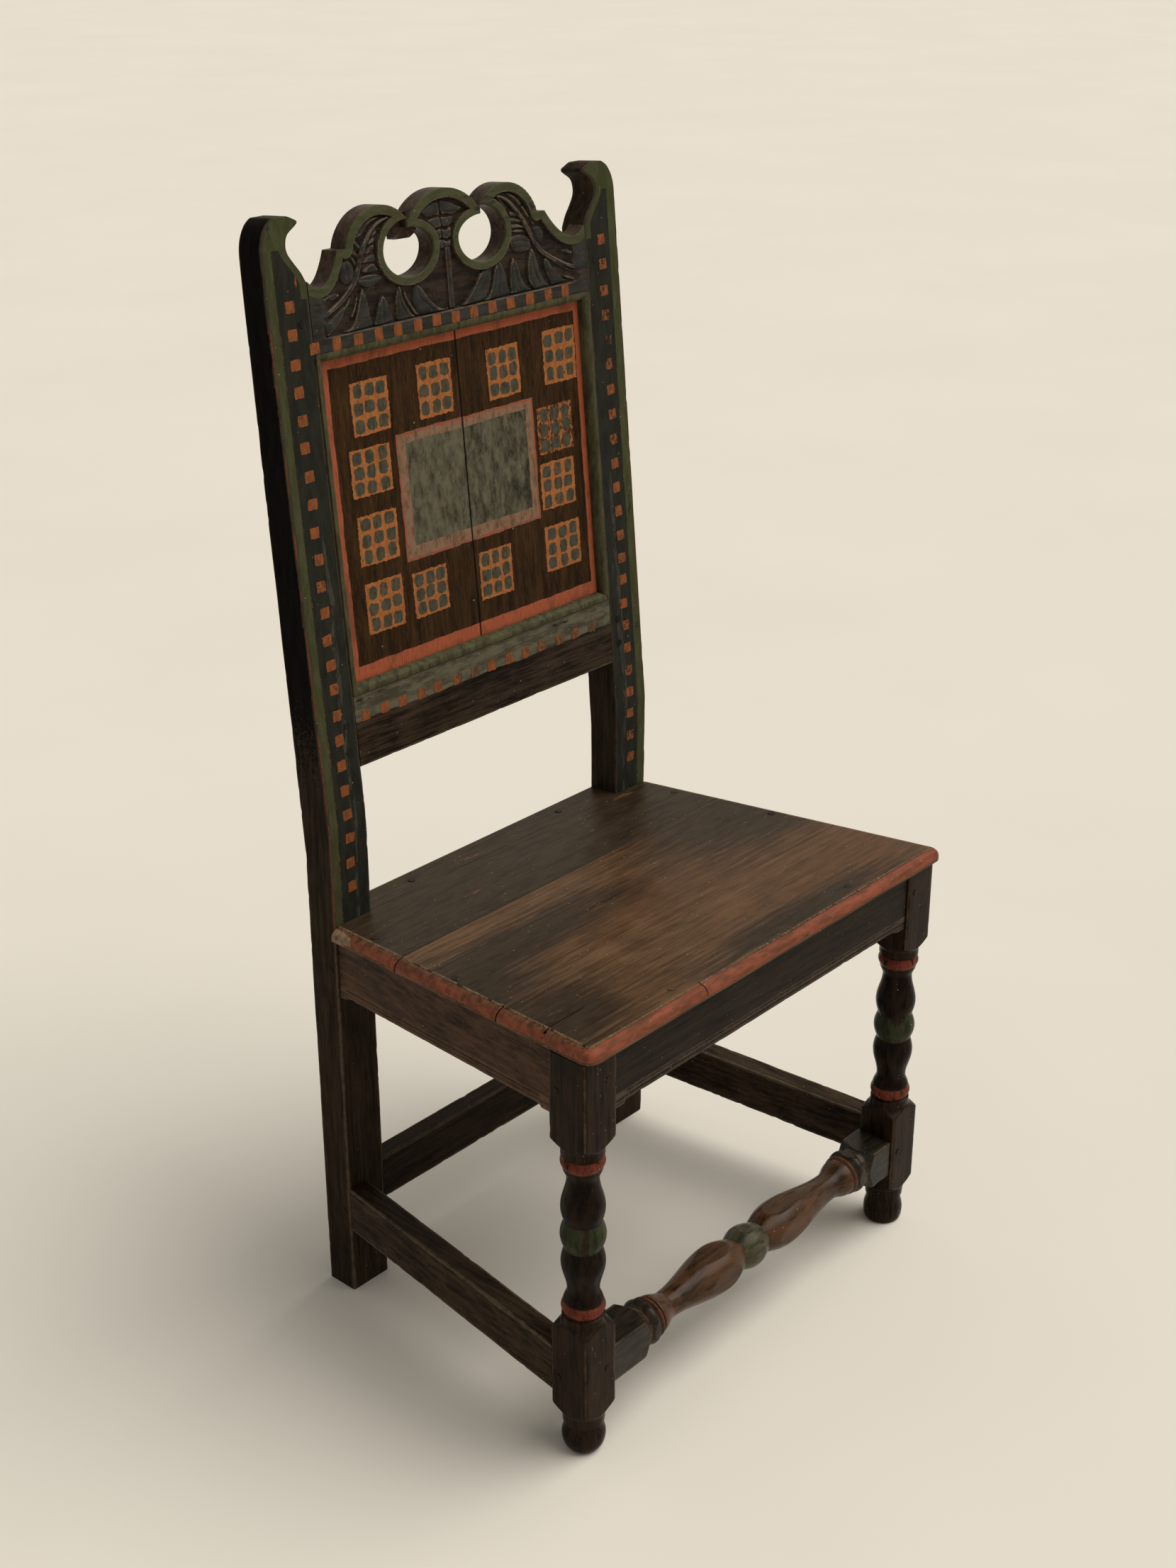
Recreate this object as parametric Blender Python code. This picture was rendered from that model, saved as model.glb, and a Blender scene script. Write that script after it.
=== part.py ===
"""Carved and painted oak side chair of joined construction.

Two raked back posts, a pierced crest rail and a lower rail hold a two-board panel behind mitred mouldings.
Turned front legs, moulded seat rails and four stretchers carry a three-board seat. Every joint is a pegged
mortise and tenon. Metres, +Z up, the front of the chair faces -Y, left is -X, and the origin is on the floor
below the middle of the chair.
"""

import math

import bmesh
import bpy
from mathutils import Vector

# Overall frame
SEAT_FRONT_HEIGHT = 0.462
SEAT_REAR_HEIGHT = 0.440
FRONT_WIDTH = 0.549
REAR_WIDTH = 0.474
FRAME_DEPTH = 0.403
FIT = 0.0003

# Back posts, bent above the seat
POST_WIDTH = 0.0495
POST_DEPTH = 0.0375
POST_TOP_DEPTH = 0.031
BEND_HEIGHT = 0.544
REAR_BEND_HEIGHT = 0.513
RAKE = math.radians(5.0)
BACK_LENGTH = 0.5815
HORN_HEIGHT = 0.062
HORN_THROAT = 0.0195

# Front legs
LEG_SIDE = 0.044
TURNING_MIDDLE = 0.2485
BLOCK_DISTANCE = 0.1085
POMMEL = 0.0125
BEAD_RADIUS = 0.022
BEAD_HALF = 0.0148
PINCH_RADIUS = 0.0180
BULB_RADIUS = 0.0213
BULB_DISTANCE = 0.0305
NECK_RADIUS = 0.0156
NECK_DISTANCE = 0.062
RING_RADIUS = 0.0214
RING_START = 0.0755
RING_END = 0.0865
COLLAR_RADIUS = 0.0208
QUIRK = 0.002
FOOT_BLOCK = 0.0575
FOOT_RADIUS = 0.0216
FOOT_WIDEST = 0.023
FOOT_NECK = 0.0203
FOOT_SHOULDER = 0.0155
FOOT_COLLAR_RADIUS = 0.0211
FOOT_COLLAR_WIDTH = 0.004
FOOT_PAD = 0.0130
TURNED_SIDES = 18

# Seat rails and side and rear stretchers
SEAT_RAIL_HEIGHT = 0.067
SEAT_RAIL_THICKNESS = 0.022
SEAT_RAIL_SETBACK = 0.003
FRONT_RAIL_DROP = 0.0015
MOULDED_EDGE = 0.0135
EDGE_GROOVE = 0.0022
EDGE_CHAMFER = 0.0045
MOULDING_STOP = 0.014
STRETCHER_FRONT_LEVEL = 0.0945
STRETCHER_REAR_LEVEL = 0.104
STRETCHER_DIFFERENCE = 0.002
STRETCHER_HEIGHT = 0.051
STRETCHER_THICKNESS = 0.025
STRETCHER_SETBACK = 0.0012
REAR_STRETCHER_LEVEL = 0.111
REAR_RAIL_THICKNESS = 0.022
REAR_RAIL_SETBACK = 0.008

# Turned front stretcher, whose two halves stretch one pattern to reach their blocks
FRONT_STRETCHER_LEVEL = 0.0925
FRONT_STRETCHER_DEPTH = 0.0245
FRONT_STRETCHER_BLOCK = 0.044
FRONT_BLOCK_LEFT = 0.057
FRONT_BLOCK_RIGHT = 0.03965
TURNED_HALF = 0.1735
BALL_RADIUS = 0.0232
BALL_HALF = 0.0185
BALL_PINCH = 0.0172
VASE_RADIUS = 0.0252
VASE_DISTANCE = 0.050
VASE_NECK = 0.0147
VASE_NECK_DISTANCE = 0.129
FLARE_RADIUS = 0.0207
FLARE_END = 0.1505
FINE_RING_RADIUS = 0.0222
FINE_RING_END = 0.1575
WIDE_RING_RADIUS = 0.0243

# Joints
TENON_THICKNESS = 0.008
TENON_SHOULDER = 0.006
LONG_TENON = 0.024
SHORT_TENON = 0.018
PEG_RADIUS = 0.0035
PEG_PROUD = 0.0006
PEG_LENGTH = 0.030
PEG_STAGGER = 0.005
PEG_TIP = 0.85
PEG_SIDES = 10

# Crest rail, its foot measured down from the top of the posts and its own heights up from its foot
RAIL_THICKNESS = 0.021
CREST_DROP = 0.1275
CREST_BAND = 0.0125
CREST_SHOULDER = 0.0665
COVE_LOW_OFFSET = 0.172
COVE_LOW_HEIGHT = 0.058
STEP_HEIGHT = 0.088
STEP_INNER = 0.131
STEP_OUTER = 0.139
SIDE_ARCH_OFFSET = 0.0843
SIDE_ARCH_HEIGHT = 0.0755
SIDE_ARCH_RADIUS = 0.046
CENTRE_ARCH_RADIUS = 0.059
CENTRE_ARCH_HEIGHT = 0.1265
ORNAMENT_SHIFT = -0.0085
EYE_OFFSET = 0.0495
EYE_HEIGHT = 0.077
EYE_HALF_WIDTH = 0.0325
EYE_DROP = 0.0257
EYE_INNER_RISE = 0.0195
EYE_OUTER_RISE = 0.0275
EYE_BORDER = 0.008
EDGE_BORDER = 0.009
GROUND_DEPTH = 0.003
GROUND_END = 0.168
CREST_TENON_FOOT = 0.010
CREST_TENON_TOP = 0.057
CREST_PEG_SHARES = (0.42,)

# Lower back rail, panel and mouldings
LOWER_RAIL_FOOT = 0.052
LOWER_RAIL_HEIGHT = 0.0725
LOWER_RAIL_PEG_SHARES = (0.25, 0.75)
PANEL_RECESS = 0.009
PANEL_EDGE = 0.0065
PANEL_THICKNESS = 0.009
PANEL_FEATHER = 0.025
PANEL_TONGUE_MARGIN = 0.001
GROOVE_DEPTH = 0.006
STRIP_WIDTH = 0.009
STRIP_PROUD = 0.0012
STRIP_FLAT = 0.0032
STRIP_EDGE = 0.0017

# Seat boards
SEAT_THICKNESS = 0.0135
SEAT_FRONT_OVERHANG = 0.0095
SEAT_SIDE_OVERHANG = 0.0036
SEAT_REAR_OVERHANG = 0.0055
SEAT_BACK_MARGIN = 0.001
SEAT_CORNER = 0.014
THUMB_WIDTH = 0.0095
THUMB_EDGE = 0.004
THUMB_STEP = 0.0012
FRONT_BOARD_END = 0.116
MIDDLE_BOARD_END = 0.264
SEAT_PEG_RADIUS = 0.004
SEAT_PEG_LENGTH = 0.040
SEAT_PEG_SHARE = 0.6

# Values worked out from the dimensions above
POST_FRONT = FRAME_DEPTH - POST_DEPTH
INNER_FACE = REAR_WIDTH / 2 - POST_WIDTH
OUTER_FACE = REAR_WIDTH / 2
LEG_INNER = FRONT_WIDTH / 2 - LEG_SIDE
LOWER_RAIL_TOP = LOWER_RAIL_FOOT + LOWER_RAIL_HEIGHT
CREST_FOOT = BACK_LENGTH - CREST_DROP
COVE_LOW_LEVEL = CREST_FOOT + COVE_LOW_HEIGHT
STEP_LEVEL = CREST_FOOT + STEP_HEIGHT
SIDE_ARCH_LEVEL = CREST_FOOT + SIDE_ARCH_HEIGHT
CENTRE_ARCH_LEVEL = CREST_FOOT + CENTRE_ARCH_HEIGHT - CENTRE_ARCH_RADIUS
EYE_LEVEL = CREST_FOOT + EYE_HEIGHT
FRONT_RAIL_FOOT = SEAT_FRONT_HEIGHT - SEAT_THICKNESS - FIT - SEAT_RAIL_HEIGHT - FRONT_RAIL_DROP
REAR_RAIL_FOOT = SEAT_REAR_HEIGHT - SEAT_THICKNESS - FIT - SEAT_RAIL_HEIGHT
REAR_STRETCHER_FOOT = REAR_STRETCHER_LEVEL - STRETCHER_HEIGHT / 2
REAR_STRETCHER_TOP = REAR_STRETCHER_LEVEL + STRETCHER_HEIGHT / 2
BACK_TOP_REAR = POST_FRONT + BACK_LENGTH * math.sin(RAKE) + POST_TOP_DEPTH * math.cos(RAKE)
BACK_TOP_HEIGHT = BEND_HEIGHT + BACK_LENGTH * math.cos(RAKE)
MIDDLE_OF_DEPTH = (BACK_TOP_REAR - SEAT_FRONT_OVERHANG) / 2
FRONT_BLOCKS = {-1: FRONT_BLOCK_LEFT, 1: FRONT_BLOCK_RIGHT}
SIDES = (("left", -1), ("right", 1))

# How far a cutter runs past the piece, and a turning or a tenon past the face that it joins
CUTTER_MARGIN = 0.01
OVERCUT = 0.001


# Materials

def make_material(name, colour, roughness):
    """Principled material with a plain colour."""
    material = bpy.data.materials.new(name)
    material.use_nodes = True
    shader = material.node_tree.nodes["Principled BSDF"]
    shader.inputs["Base Color"].default_value = (*colour, 1.0)
    shader.inputs["Roughness"].default_value = roughness
    shader.inputs["Metallic"].default_value = 0.0
    return material


# Meshes

def loft(rings):
    """Closed mesh through rings of points, with a face on both ends."""
    mesh = bmesh.new()
    loops = [[mesh.verts.new(point) for point in ring] for ring in rings]
    for lower, upper in zip(loops, loops[1:]):
        for i in range(len(lower)):
            j = (i + 1) % len(lower)
            mesh.faces.new((lower[i], lower[j], upper[j], upper[i]))
    mesh.faces.new(reversed(loops[0]))
    mesh.faces.new(loops[-1])
    bmesh.ops.recalc_face_normals(mesh, faces=mesh.faces[:])
    return mesh


def block(low, high):
    """Box between two corners."""
    (x0, y0, z0), (x1, y1, z1) = low, high
    return loft([[(x0, y0, z), (x1, y0, z), (x1, y1, z), (x0, y1, z)] for z in (z0, z1)])


def prism(outline, axis, start, end):
    """Outline of two coordinates carried along the third axis from start to end."""
    rings = []
    for at in (start, end):
        ring = []
        for point in outline:
            coordinates = list(point)
            coordinates.insert(axis, at)
            ring.append(coordinates)
        rings.append(ring)
    return loft(rings)


def rod(foot, direction, length, radius, sides, tip=1.0):
    """Round rod from a point along a direction, tapered to a share of its radius at the far end."""
    direction = Vector(direction).normalized()
    across = direction.orthogonal().normalized()
    other = direction.cross(across)
    rings = []
    for distance, size in ((0.0, radius), (length, radius * tip)):
        centre = Vector(foot) + direction * distance
        angles = [2 * math.pi * i / sides for i in range(sides)]
        rings.append([centre + (across * math.cos(a) + other * math.sin(a)) * size for a in angles])
    return loft(rings)


def tenoned_bar(ends):
    """Bar with a tenon on both ends.

    Each end has the four corners of the shoulder, of the tenon at the shoulder and of the tenon's tip.
    """
    mesh = bmesh.new()
    loops = [[[mesh.verts.new(corner) for corner in ring] for ring in end] for end in ends]
    chain = list(reversed(loops[0])) + loops[1]
    for first, second in zip(chain, chain[1:]):
        for i in range(4):
            j = (i + 1) % 4
            mesh.faces.new((first[i], first[j], second[j], second[i]))
    mesh.faces.new(reversed(chain[0]))
    mesh.faces.new(chain[-1])
    bmesh.ops.recalc_face_normals(mesh, faces=mesh.faces[:])
    return mesh


def rectangle(axis, at, first, second):
    """Four corners of a rectangle square to an axis, from its two ranges."""
    corners = [(first[0], second[0]), (first[1], second[0]), (first[1], second[1]), (first[0], second[1])]
    result = []
    for corner in corners:
        coordinates = list(corner)
        coordinates.insert(axis, at)
        result.append(Vector(coordinates))
    return result


def rounded(corners, steps):
    """Outline whose corners are (x, y, radius), with an arc at each corner that has a radius."""
    outline = []
    for i, (x, y, radius) in enumerate(corners):
        corner = Vector((x, y))
        if radius == 0:
            outline.append((x, y))
            continue
        before = (Vector(corners[i - 1][:2]) - corner).normalized()
        after = (Vector(corners[(i + 1) % len(corners)][:2]) - corner).normalized()
        half = before.angle(after) / 2
        centre = corner + (before + after).normalized() * radius / math.sin(half)
        start = corner + before * radius / math.tan(half) - centre
        end = corner + after * radius / math.tan(half) - centre
        turn = start.angle_signed(end)
        for step in range(steps + 1):
            angle = -turn * step / steps
            arm = Vector((start.x * math.cos(angle) - start.y * math.sin(angle),
                          start.x * math.sin(angle) + start.y * math.cos(angle)))
            outline.append(tuple(centre + arm))
    return outline


def smooth_path(points, steps):
    """Catmull-Rom curve through points, open at both ends."""
    padded = [points[0]] + list(points) + [points[-1]]
    path = []
    for a, b, c, d in zip(padded, padded[1:], padded[2:], padded[3:]):
        for step in range(steps):
            t = step / steps
            path.append(tuple(0.5 * (2 * q + (r - p) * t + (2 * p - 5 * q + 4 * r - s) * t ** 2
                                     + (3 * q - p - 3 * r + s) * t ** 3)
                              for p, q, r, s in zip(a, b, c, d)))
    path.append(tuple(points[-1]))
    return path


# Objects

def place(name, mesh, material, parent):
    """Object for one piece of the chair."""
    data = bpy.data.meshes.new(name)
    mesh.to_mesh(data)
    mesh.free()
    data.materials.append(material)
    piece = bpy.data.objects.new(name, data)
    piece.parent = parent
    bpy.context.scene.collection.objects.link(piece)
    return piece


def boolean(piece, mesh, parent, operation="DIFFERENCE"):
    """Cut a piece with a mesh, join the mesh to it or keep what both share."""
    data = bpy.data.meshes.new(piece.name + "_tool")
    mesh.to_mesh(data)
    mesh.free()
    tool = bpy.data.objects.new(piece.name + "_tool", data)
    tool.parent = parent
    tool.hide_render = True
    tool.display_type = "WIRE"
    bpy.context.scene.collection.objects.link(tool)
    modifier = piece.modifiers.new(operation.lower(), "BOOLEAN")
    modifier.operation = operation
    modifier.solver = "EXACT"
    modifier.object = tool


def mortise(piece, low, high, parent):
    """Pocket with clearance round a tenon that fills the box between two corners."""
    lows = [min(a, b) - FIT for a, b in zip(low, high)]
    highs = [max(a, b) + FIT for a, b in zip(low, high)]
    boolean(piece, block(lows, highs), parent)


def peg(name, head, direction, hosts, parent, radius=PEG_RADIUS, length=PEG_LENGTH):
    """Oak peg from a point on the surface into its hosts, each bored with clearance."""
    direction = Vector(direction).normalized()
    start = Vector(head) - direction * PEG_PROUD
    piece = place(name, rod(start, direction, length, radius, PEG_SIDES, PEG_TIP), OAK_PEG, parent)
    for host in hosts:
        foot = Vector(head) - direction * CUTTER_MARGIN
        bored = length + CUTTER_MARGIN - PEG_PROUD + FIT
        boolean(host, rod(foot, direction, bored, radius + FIT, PEG_SIDES), parent)
    return piece


def seat_top(y):
    """Height of the seat's upper side at a depth. The seat rises towards the front."""
    return SEAT_FRONT_HEIGHT + (SEAT_REAR_HEIGHT - SEAT_FRONT_HEIGHT) * y / POST_FRONT


def rail_top(y):
    """Height of the seat rails' upper side at a depth."""
    return seat_top(y) - SEAT_THICKNESS - FIT


def rail_level(y, side):
    """Height of a side seat rail's middle at a depth, the same on both sides."""
    return rail_top(y) - SEAT_RAIL_HEIGHT / 2


def stretcher_level(y, side):
    """Height of a side stretcher's middle at a depth. The left one sits a little lower than the right."""
    share = (y - LEG_SIDE) / (POST_FRONT - LEG_SIDE)
    level = STRETCHER_FRONT_LEVEL + (STRETCHER_REAR_LEVEL - STRETCHER_FRONT_LEVEL) * share
    return level + side * STRETCHER_DIFFERENCE


def side_face(y, inset):
    """Distance from the middle to the outer side of the base at a depth, less an inset."""
    share = (y - LEG_SIDE) / (POST_FRONT - LEG_SIDE)
    return (FRONT_WIDTH + (REAR_WIDTH - FRONT_WIDTH) * share) / 2 - inset


# Back posts

def horn_outline(side):
    """Front view of a post, from below the floor to the scrolled horn, up the raked back.

    The hook's points are shares of the throat's depth and the horn's height, and the crown's are shares of
    the post's width and the horn's height.
    """
    root = BACK_LENGTH - HORN_HEIGHT
    hook = ((0.0, 0.0), (0.282, 0.161), (0.641, 0.306), (0.949, 0.452), (1.0, 0.581), (0.82, 0.718),
            (0.18, 0.855))
    crown = ((0.172, 0.927), (0.374, 0.989), (0.525, 1.0), (0.677, 0.96), (0.828, 0.868), (0.939, 0.718),
             (0.988, 0.565), (1.0, 0.387))
    inner = [(INNER_FACE + across * HORN_THROAT, root + up * HORN_HEIGHT) for across, up in hook]
    outer = [(INNER_FACE + across * POST_WIDTH, root + up * HORN_HEIGHT) for across, up in crown]
    below = -2 * BEND_HEIGHT
    outline = [(OUTER_FACE, below), (INNER_FACE, below)]
    outline += smooth_path(inner, 3)[:-1] + smooth_path([inner[-1]] + outer, 3)
    return [(side * x, v) for x, v in outline]


def make_post(name, side):
    """Back leg and stile in one piece, sawn to a bend above the seat."""
    bend = (POST_FRONT, BEND_HEIGHT)
    over = CUTTER_MARGIN * math.cos(RAKE)
    lean = CUTTER_MARGIN * math.sin(RAKE)
    front_top = (POST_FRONT + BACK_LENGTH * math.sin(RAKE), BACK_TOP_HEIGHT)
    rear_top = (BACK_TOP_REAR, BACK_TOP_HEIGHT - POST_TOP_DEPTH * math.sin(RAKE))
    profile = [(POST_FRONT, 0.0), (FRAME_DEPTH, 0.0), (FRAME_DEPTH, REAR_BEND_HEIGHT),
               (rear_top[0] + lean, rear_top[1] + over), (front_top[0] + lean, front_top[1] + over), bend]
    inner, outer = side * (INNER_FACE - CUTTER_MARGIN), side * (OUTER_FACE + CUTTER_MARGIN)
    post = place(name, prism(profile, 0, inner, outer), DARK_OAK, chair)
    boolean(post, prism(horn_outline(side), 1, -FRAME_DEPTH / 2, FRAME_DEPTH / 2), back, "INTERSECT")
    groove_low = (side * (INNER_FACE - CUTTER_MARGIN), PANEL_RECESS, LOWER_RAIL_TOP - GROOVE_DEPTH)
    groove_high = (side * (INNER_FACE + GROOVE_DEPTH), PANEL_RECESS + PANEL_EDGE, CREST_FOOT + GROOVE_DEPTH)
    mortise(post, groove_low, groove_high, back)
    return post


# Crest rail

def eye_outline(side, grow=0.0, steps=6):
    """Outline of a pierced eye. The half towards the middle rises less, which leaves a scroll's end."""
    centre = ORNAMENT_SHIFT + side * EYE_OFFSET
    quarters = ((0.0, EYE_OUTER_RISE), (0.5, EYE_INNER_RISE), (1.0, EYE_DROP), (1.5, EYE_DROP))
    outline = []
    for start, height in quarters:
        for step in range(steps + 1):
            angle = math.pi * (start + 0.5 * step / steps)
            x = side * math.cos(angle) * (EYE_HALF_WIDTH + grow)
            outline.append((centre + x, EYE_LEVEL + math.sin(angle) * (height + grow)))
    distinct = [outline[0]]
    for point in outline[1:]:
        if math.dist(point, distinct[-1]) > 1e-6 and math.dist(point, outline[0]) > 1e-6:
            distinct.append(point)
    return distinct


def cove(x, border=0.0):
    """Level of the hollow between the step and the post."""
    step = abs(ORNAMENT_SHIFT + math.copysign(STEP_OUTER, x))
    far = INNER_FACE - COVE_LOW_OFFSET
    if abs(x) < COVE_LOW_OFFSET:
        rise = STEP_LEVEL - COVE_LOW_LEVEL
        share = (COVE_LOW_OFFSET - abs(x)) / (COVE_LOW_OFFSET - step)
    else:
        rise = CREST_FOOT + CREST_SHOULDER - COVE_LOW_LEVEL
        share = (abs(x) - COVE_LOW_OFFSET) / far
    return COVE_LOW_LEVEL - border + rise * share ** 2


def arch_cusp():
    """Distance from the ornament's middle to the cusp between the centre arch and a side arch."""
    rise = SIDE_ARCH_LEVEL - CENTRE_ARCH_LEVEL
    gap = math.hypot(SIDE_ARCH_OFFSET, rise)
    along = (CENTRE_ARCH_RADIUS ** 2 - SIDE_ARCH_RADIUS ** 2 + gap ** 2) / (2 * gap)
    up = math.sqrt(CENTRE_ARCH_RADIUS ** 2 - along ** 2)
    return (along * SIDE_ARCH_OFFSET - up * rise) / gap


def half_crest(side):
    """Top of the crest from its middle to one shoulder, as points (x, level)."""
    cusp = arch_cusp()
    points = []
    for step in range(6):
        x = cusp * step / 6
        points.append((x, CENTRE_ARCH_LEVEL + math.sqrt(CENTRE_ARCH_RADIUS ** 2 - x ** 2)))
    start = math.acos((cusp - SIDE_ARCH_OFFSET) / SIDE_ARCH_RADIUS)
    end = math.asin((STEP_LEVEL - SIDE_ARCH_LEVEL) / SIDE_ARCH_RADIUS)
    for step in range(11):
        angle = start + (end - start) * step / 10
        points.append((SIDE_ARCH_OFFSET + SIDE_ARCH_RADIUS * math.cos(angle),
                       SIDE_ARCH_LEVEL + SIDE_ARCH_RADIUS * math.sin(angle)))
    points.append((STEP_OUTER, STEP_LEVEL))
    top = [(ORNAMENT_SHIFT + side * x, level) for x, level in points]
    step_end = top[-1][0]
    for step in range(1, 7):
        x = step_end + (side * COVE_LOW_OFFSET - step_end) * step / 6
        top.append((x, cove(x)))
    for step in range(1, 5):
        x = side * (COVE_LOW_OFFSET + (INNER_FACE - FIT - COVE_LOW_OFFSET) * step / 4)
        top.append((x, cove(x)))
    return top


def ground_level(x):
    """Top of the sunk ground at a distance across the crest."""
    offset = abs(x - ORNAMENT_SHIFT)
    levels = []
    side_radius = SIDE_ARCH_RADIUS - EDGE_BORDER
    if abs(offset - SIDE_ARCH_OFFSET) < side_radius:
        levels.append(SIDE_ARCH_LEVEL + math.sqrt(side_radius ** 2 - (offset - SIDE_ARCH_OFFSET) ** 2))
    centre_radius = CENTRE_ARCH_RADIUS - EDGE_BORDER
    if offset < centre_radius:
        levels.append(CENTRE_ARCH_LEVEL + math.sqrt(centre_radius ** 2 - offset ** 2))
    if offset > STEP_INNER - EDGE_BORDER:
        levels.append(min(cove(x, EDGE_BORDER), STEP_LEVEL - EDGE_BORDER))
    return max(levels)


def make_crest():
    """Crest rail: scalloped top, two eyes, a sunk ground inside raised borders, a tenon at each end."""
    end = INNER_FACE - FIT
    top = half_crest(-1)[::-1] + half_crest(1)[1:]
    outline = [(-end, CREST_FOOT), (end, CREST_FOOT)] + top[::-1]
    crest = place("crest_rail", prism(outline, 1, 0.0, RAIL_THICKNESS), DARK_OAK, back)
    ground = [(-GROUND_END, CREST_FOOT + CREST_BAND), (GROUND_END, CREST_FOOT + CREST_BAND)]
    steps = 56
    for step in range(steps + 1):
        x = GROUND_END - 2 * GROUND_END * step / steps
        ground.append((x, ground_level(x)))
    sunk = place("crest_ground_tool", prism(ground, 1, -CUTTER_MARGIN, GROUND_DEPTH), DARK_OAK, back)
    sunk.hide_render = True
    sunk.display_type = "WIRE"
    for name, side in SIDES:
        ring = eye_outline(side, EYE_BORDER)
        boolean(sunk, prism(ring, 1, -2 * CUTTER_MARGIN, 2 * GROUND_DEPTH), back)
    modifier = crest.modifiers.new("sunk ground", "BOOLEAN")
    modifier.operation = "DIFFERENCE"
    modifier.solver = "EXACT"
    modifier.object = sunk
    for name, side in SIDES:
        eye = eye_outline(side)
        boolean(crest, prism(eye, 1, -CUTTER_MARGIN, RAIL_THICKNESS + CUTTER_MARGIN), back)
        tip = side * (INNER_FACE + LONG_TENON)
        root = side * (end - OVERCUT)
        low = (min(root, tip), tenon_front(), CREST_FOOT + CREST_TENON_FOOT)
        high = (max(root, tip), tenon_front() + TENON_THICKNESS, CREST_FOOT + CREST_TENON_TOP)
        boolean(crest, block(low, high), back, "UNION")
    groove = ((-2 * end, PANEL_RECESS, CREST_FOOT - CUTTER_MARGIN),
              (2 * end, PANEL_RECESS + PANEL_EDGE, CREST_FOOT + GROOVE_DEPTH))
    mortise(crest, *groove, back)
    return crest


def tenon_front():
    """Depth of the front of the back rails' tenons."""
    return (RAIL_THICKNESS - TENON_THICKNESS) / 2


# Lower back rail, panel and mouldings

def make_lower_rail():
    """Plain rail below the panel, grooved along its top for the panel."""
    ends = []
    front = tenon_front()
    thickness = (front, front + TENON_THICKNESS)
    height = (LOWER_RAIL_FOOT + TENON_SHOULDER, LOWER_RAIL_TOP - GROOVE_DEPTH - TENON_SHOULDER)
    for name, side in SIDES:
        shoulder = side * (INNER_FACE - FIT)
        ends.append([rectangle(0, shoulder, (0.0, RAIL_THICKNESS), (LOWER_RAIL_FOOT, LOWER_RAIL_TOP)),
                     rectangle(0, shoulder, thickness, height),
                     rectangle(0, side * (INNER_FACE + LONG_TENON), thickness, height)])
    rail = place("lower_back_rail", tenoned_bar(ends), DARK_OAK, back)
    groove = ((-2 * INNER_FACE, PANEL_RECESS, LOWER_RAIL_TOP - GROOVE_DEPTH),
              (2 * INNER_FACE, PANEL_RECESS + PANEL_EDGE, LOWER_RAIL_TOP + CUTTER_MARGIN))
    mortise(rail, *groove, back)
    return rail


def make_panel_board(name, side):
    """One of the panel's two boards, thinned at the back where it enters the grooves."""
    low, high = LOWER_RAIL_TOP - GROOVE_DEPTH, CREST_FOOT + GROOVE_DEPTH
    tongue = GROOVE_DEPTH + PANEL_TONGUE_MARGIN
    steps = ((0.0, 0.0), (PANEL_EDGE, 0.0), (PANEL_EDGE, tongue), (PANEL_THICKNESS, PANEL_FEATHER))
    rings = []
    for depth, inset in steps:
        joint, edge = side * FIT / 2, side * (INNER_FACE + GROOVE_DEPTH - inset)
        y = PANEL_RECESS + depth
        rings.append([(joint, y, low + inset), (edge, y, low + inset),
                      (edge, y, high - inset), (joint, y, high - inset)])
    return place(name, loft(rings), PAINTED_PANEL, back)


def make_mouldings():
    """Four mitred strips in front of the panel's edges."""
    depth = PANEL_RECESS - FIT
    fall = depth - STRIP_EDGE + STRIP_PROUD
    profile = [(FIT, -STRIP_PROUD)]
    for across, down in ((0.0, 0.0), (0.276, 0.146), (0.707, 0.512), (1.0, 1.0)):
        profile.append((STRIP_FLAT + (STRIP_WIDTH - STRIP_FLAT) * across, fall * down - STRIP_PROUD))
    profile += [(STRIP_WIDTH, depth), (FIT, depth)]
    corners = {"bottom_left": Vector((-INNER_FACE, LOWER_RAIL_TOP)),
               "bottom_right": Vector((INNER_FACE, LOWER_RAIL_TOP)),
               "top_left": Vector((-INNER_FACE, CREST_FOOT)),
               "top_right": Vector((INNER_FACE, CREST_FOOT))}
    strips = (("bottom", "bottom_left", "bottom_right", Vector((0, 1))),
              ("top", "top_left", "top_right", Vector((0, -1))),
              ("left", "bottom_left", "top_left", Vector((1, 0))),
              ("right", "bottom_right", "top_right", Vector((-1, 0))))
    for name, start, end, inward in strips:
        along = (corners[end] - corners[start]).normalized()
        rings = []
        for corner, way in ((corners[start], along), (corners[end], -along)):
            ring = []
            for width, back_depth in profile:
                at = corner + inward * width + way * (width + FIT)
                ring.append((at.x, back_depth, at.y))
            rings.append(ring)
        place("panel_moulding_" + name, loft(rings), GREEN_PAINT, back)


# Turned pieces

def swell(start, end, first, last, steps):
    """Points of an S-curve between two radii, without the last."""
    points = []
    for step in range(steps):
        share = step / steps
        ease = (1 - math.cos(math.pi * share)) / 2
        points.append((start + (end - start) * share, first + (last - first) * ease))
    return points


def bead(start, end, foot, crown, steps):
    """Points of a round bead between two pinches, without the last."""
    points = []
    for step in range(steps):
        share = step / steps
        points.append((start + (end - start) * share, foot + (crown - foot) * math.sin(math.pi * share)))
    return points


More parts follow.
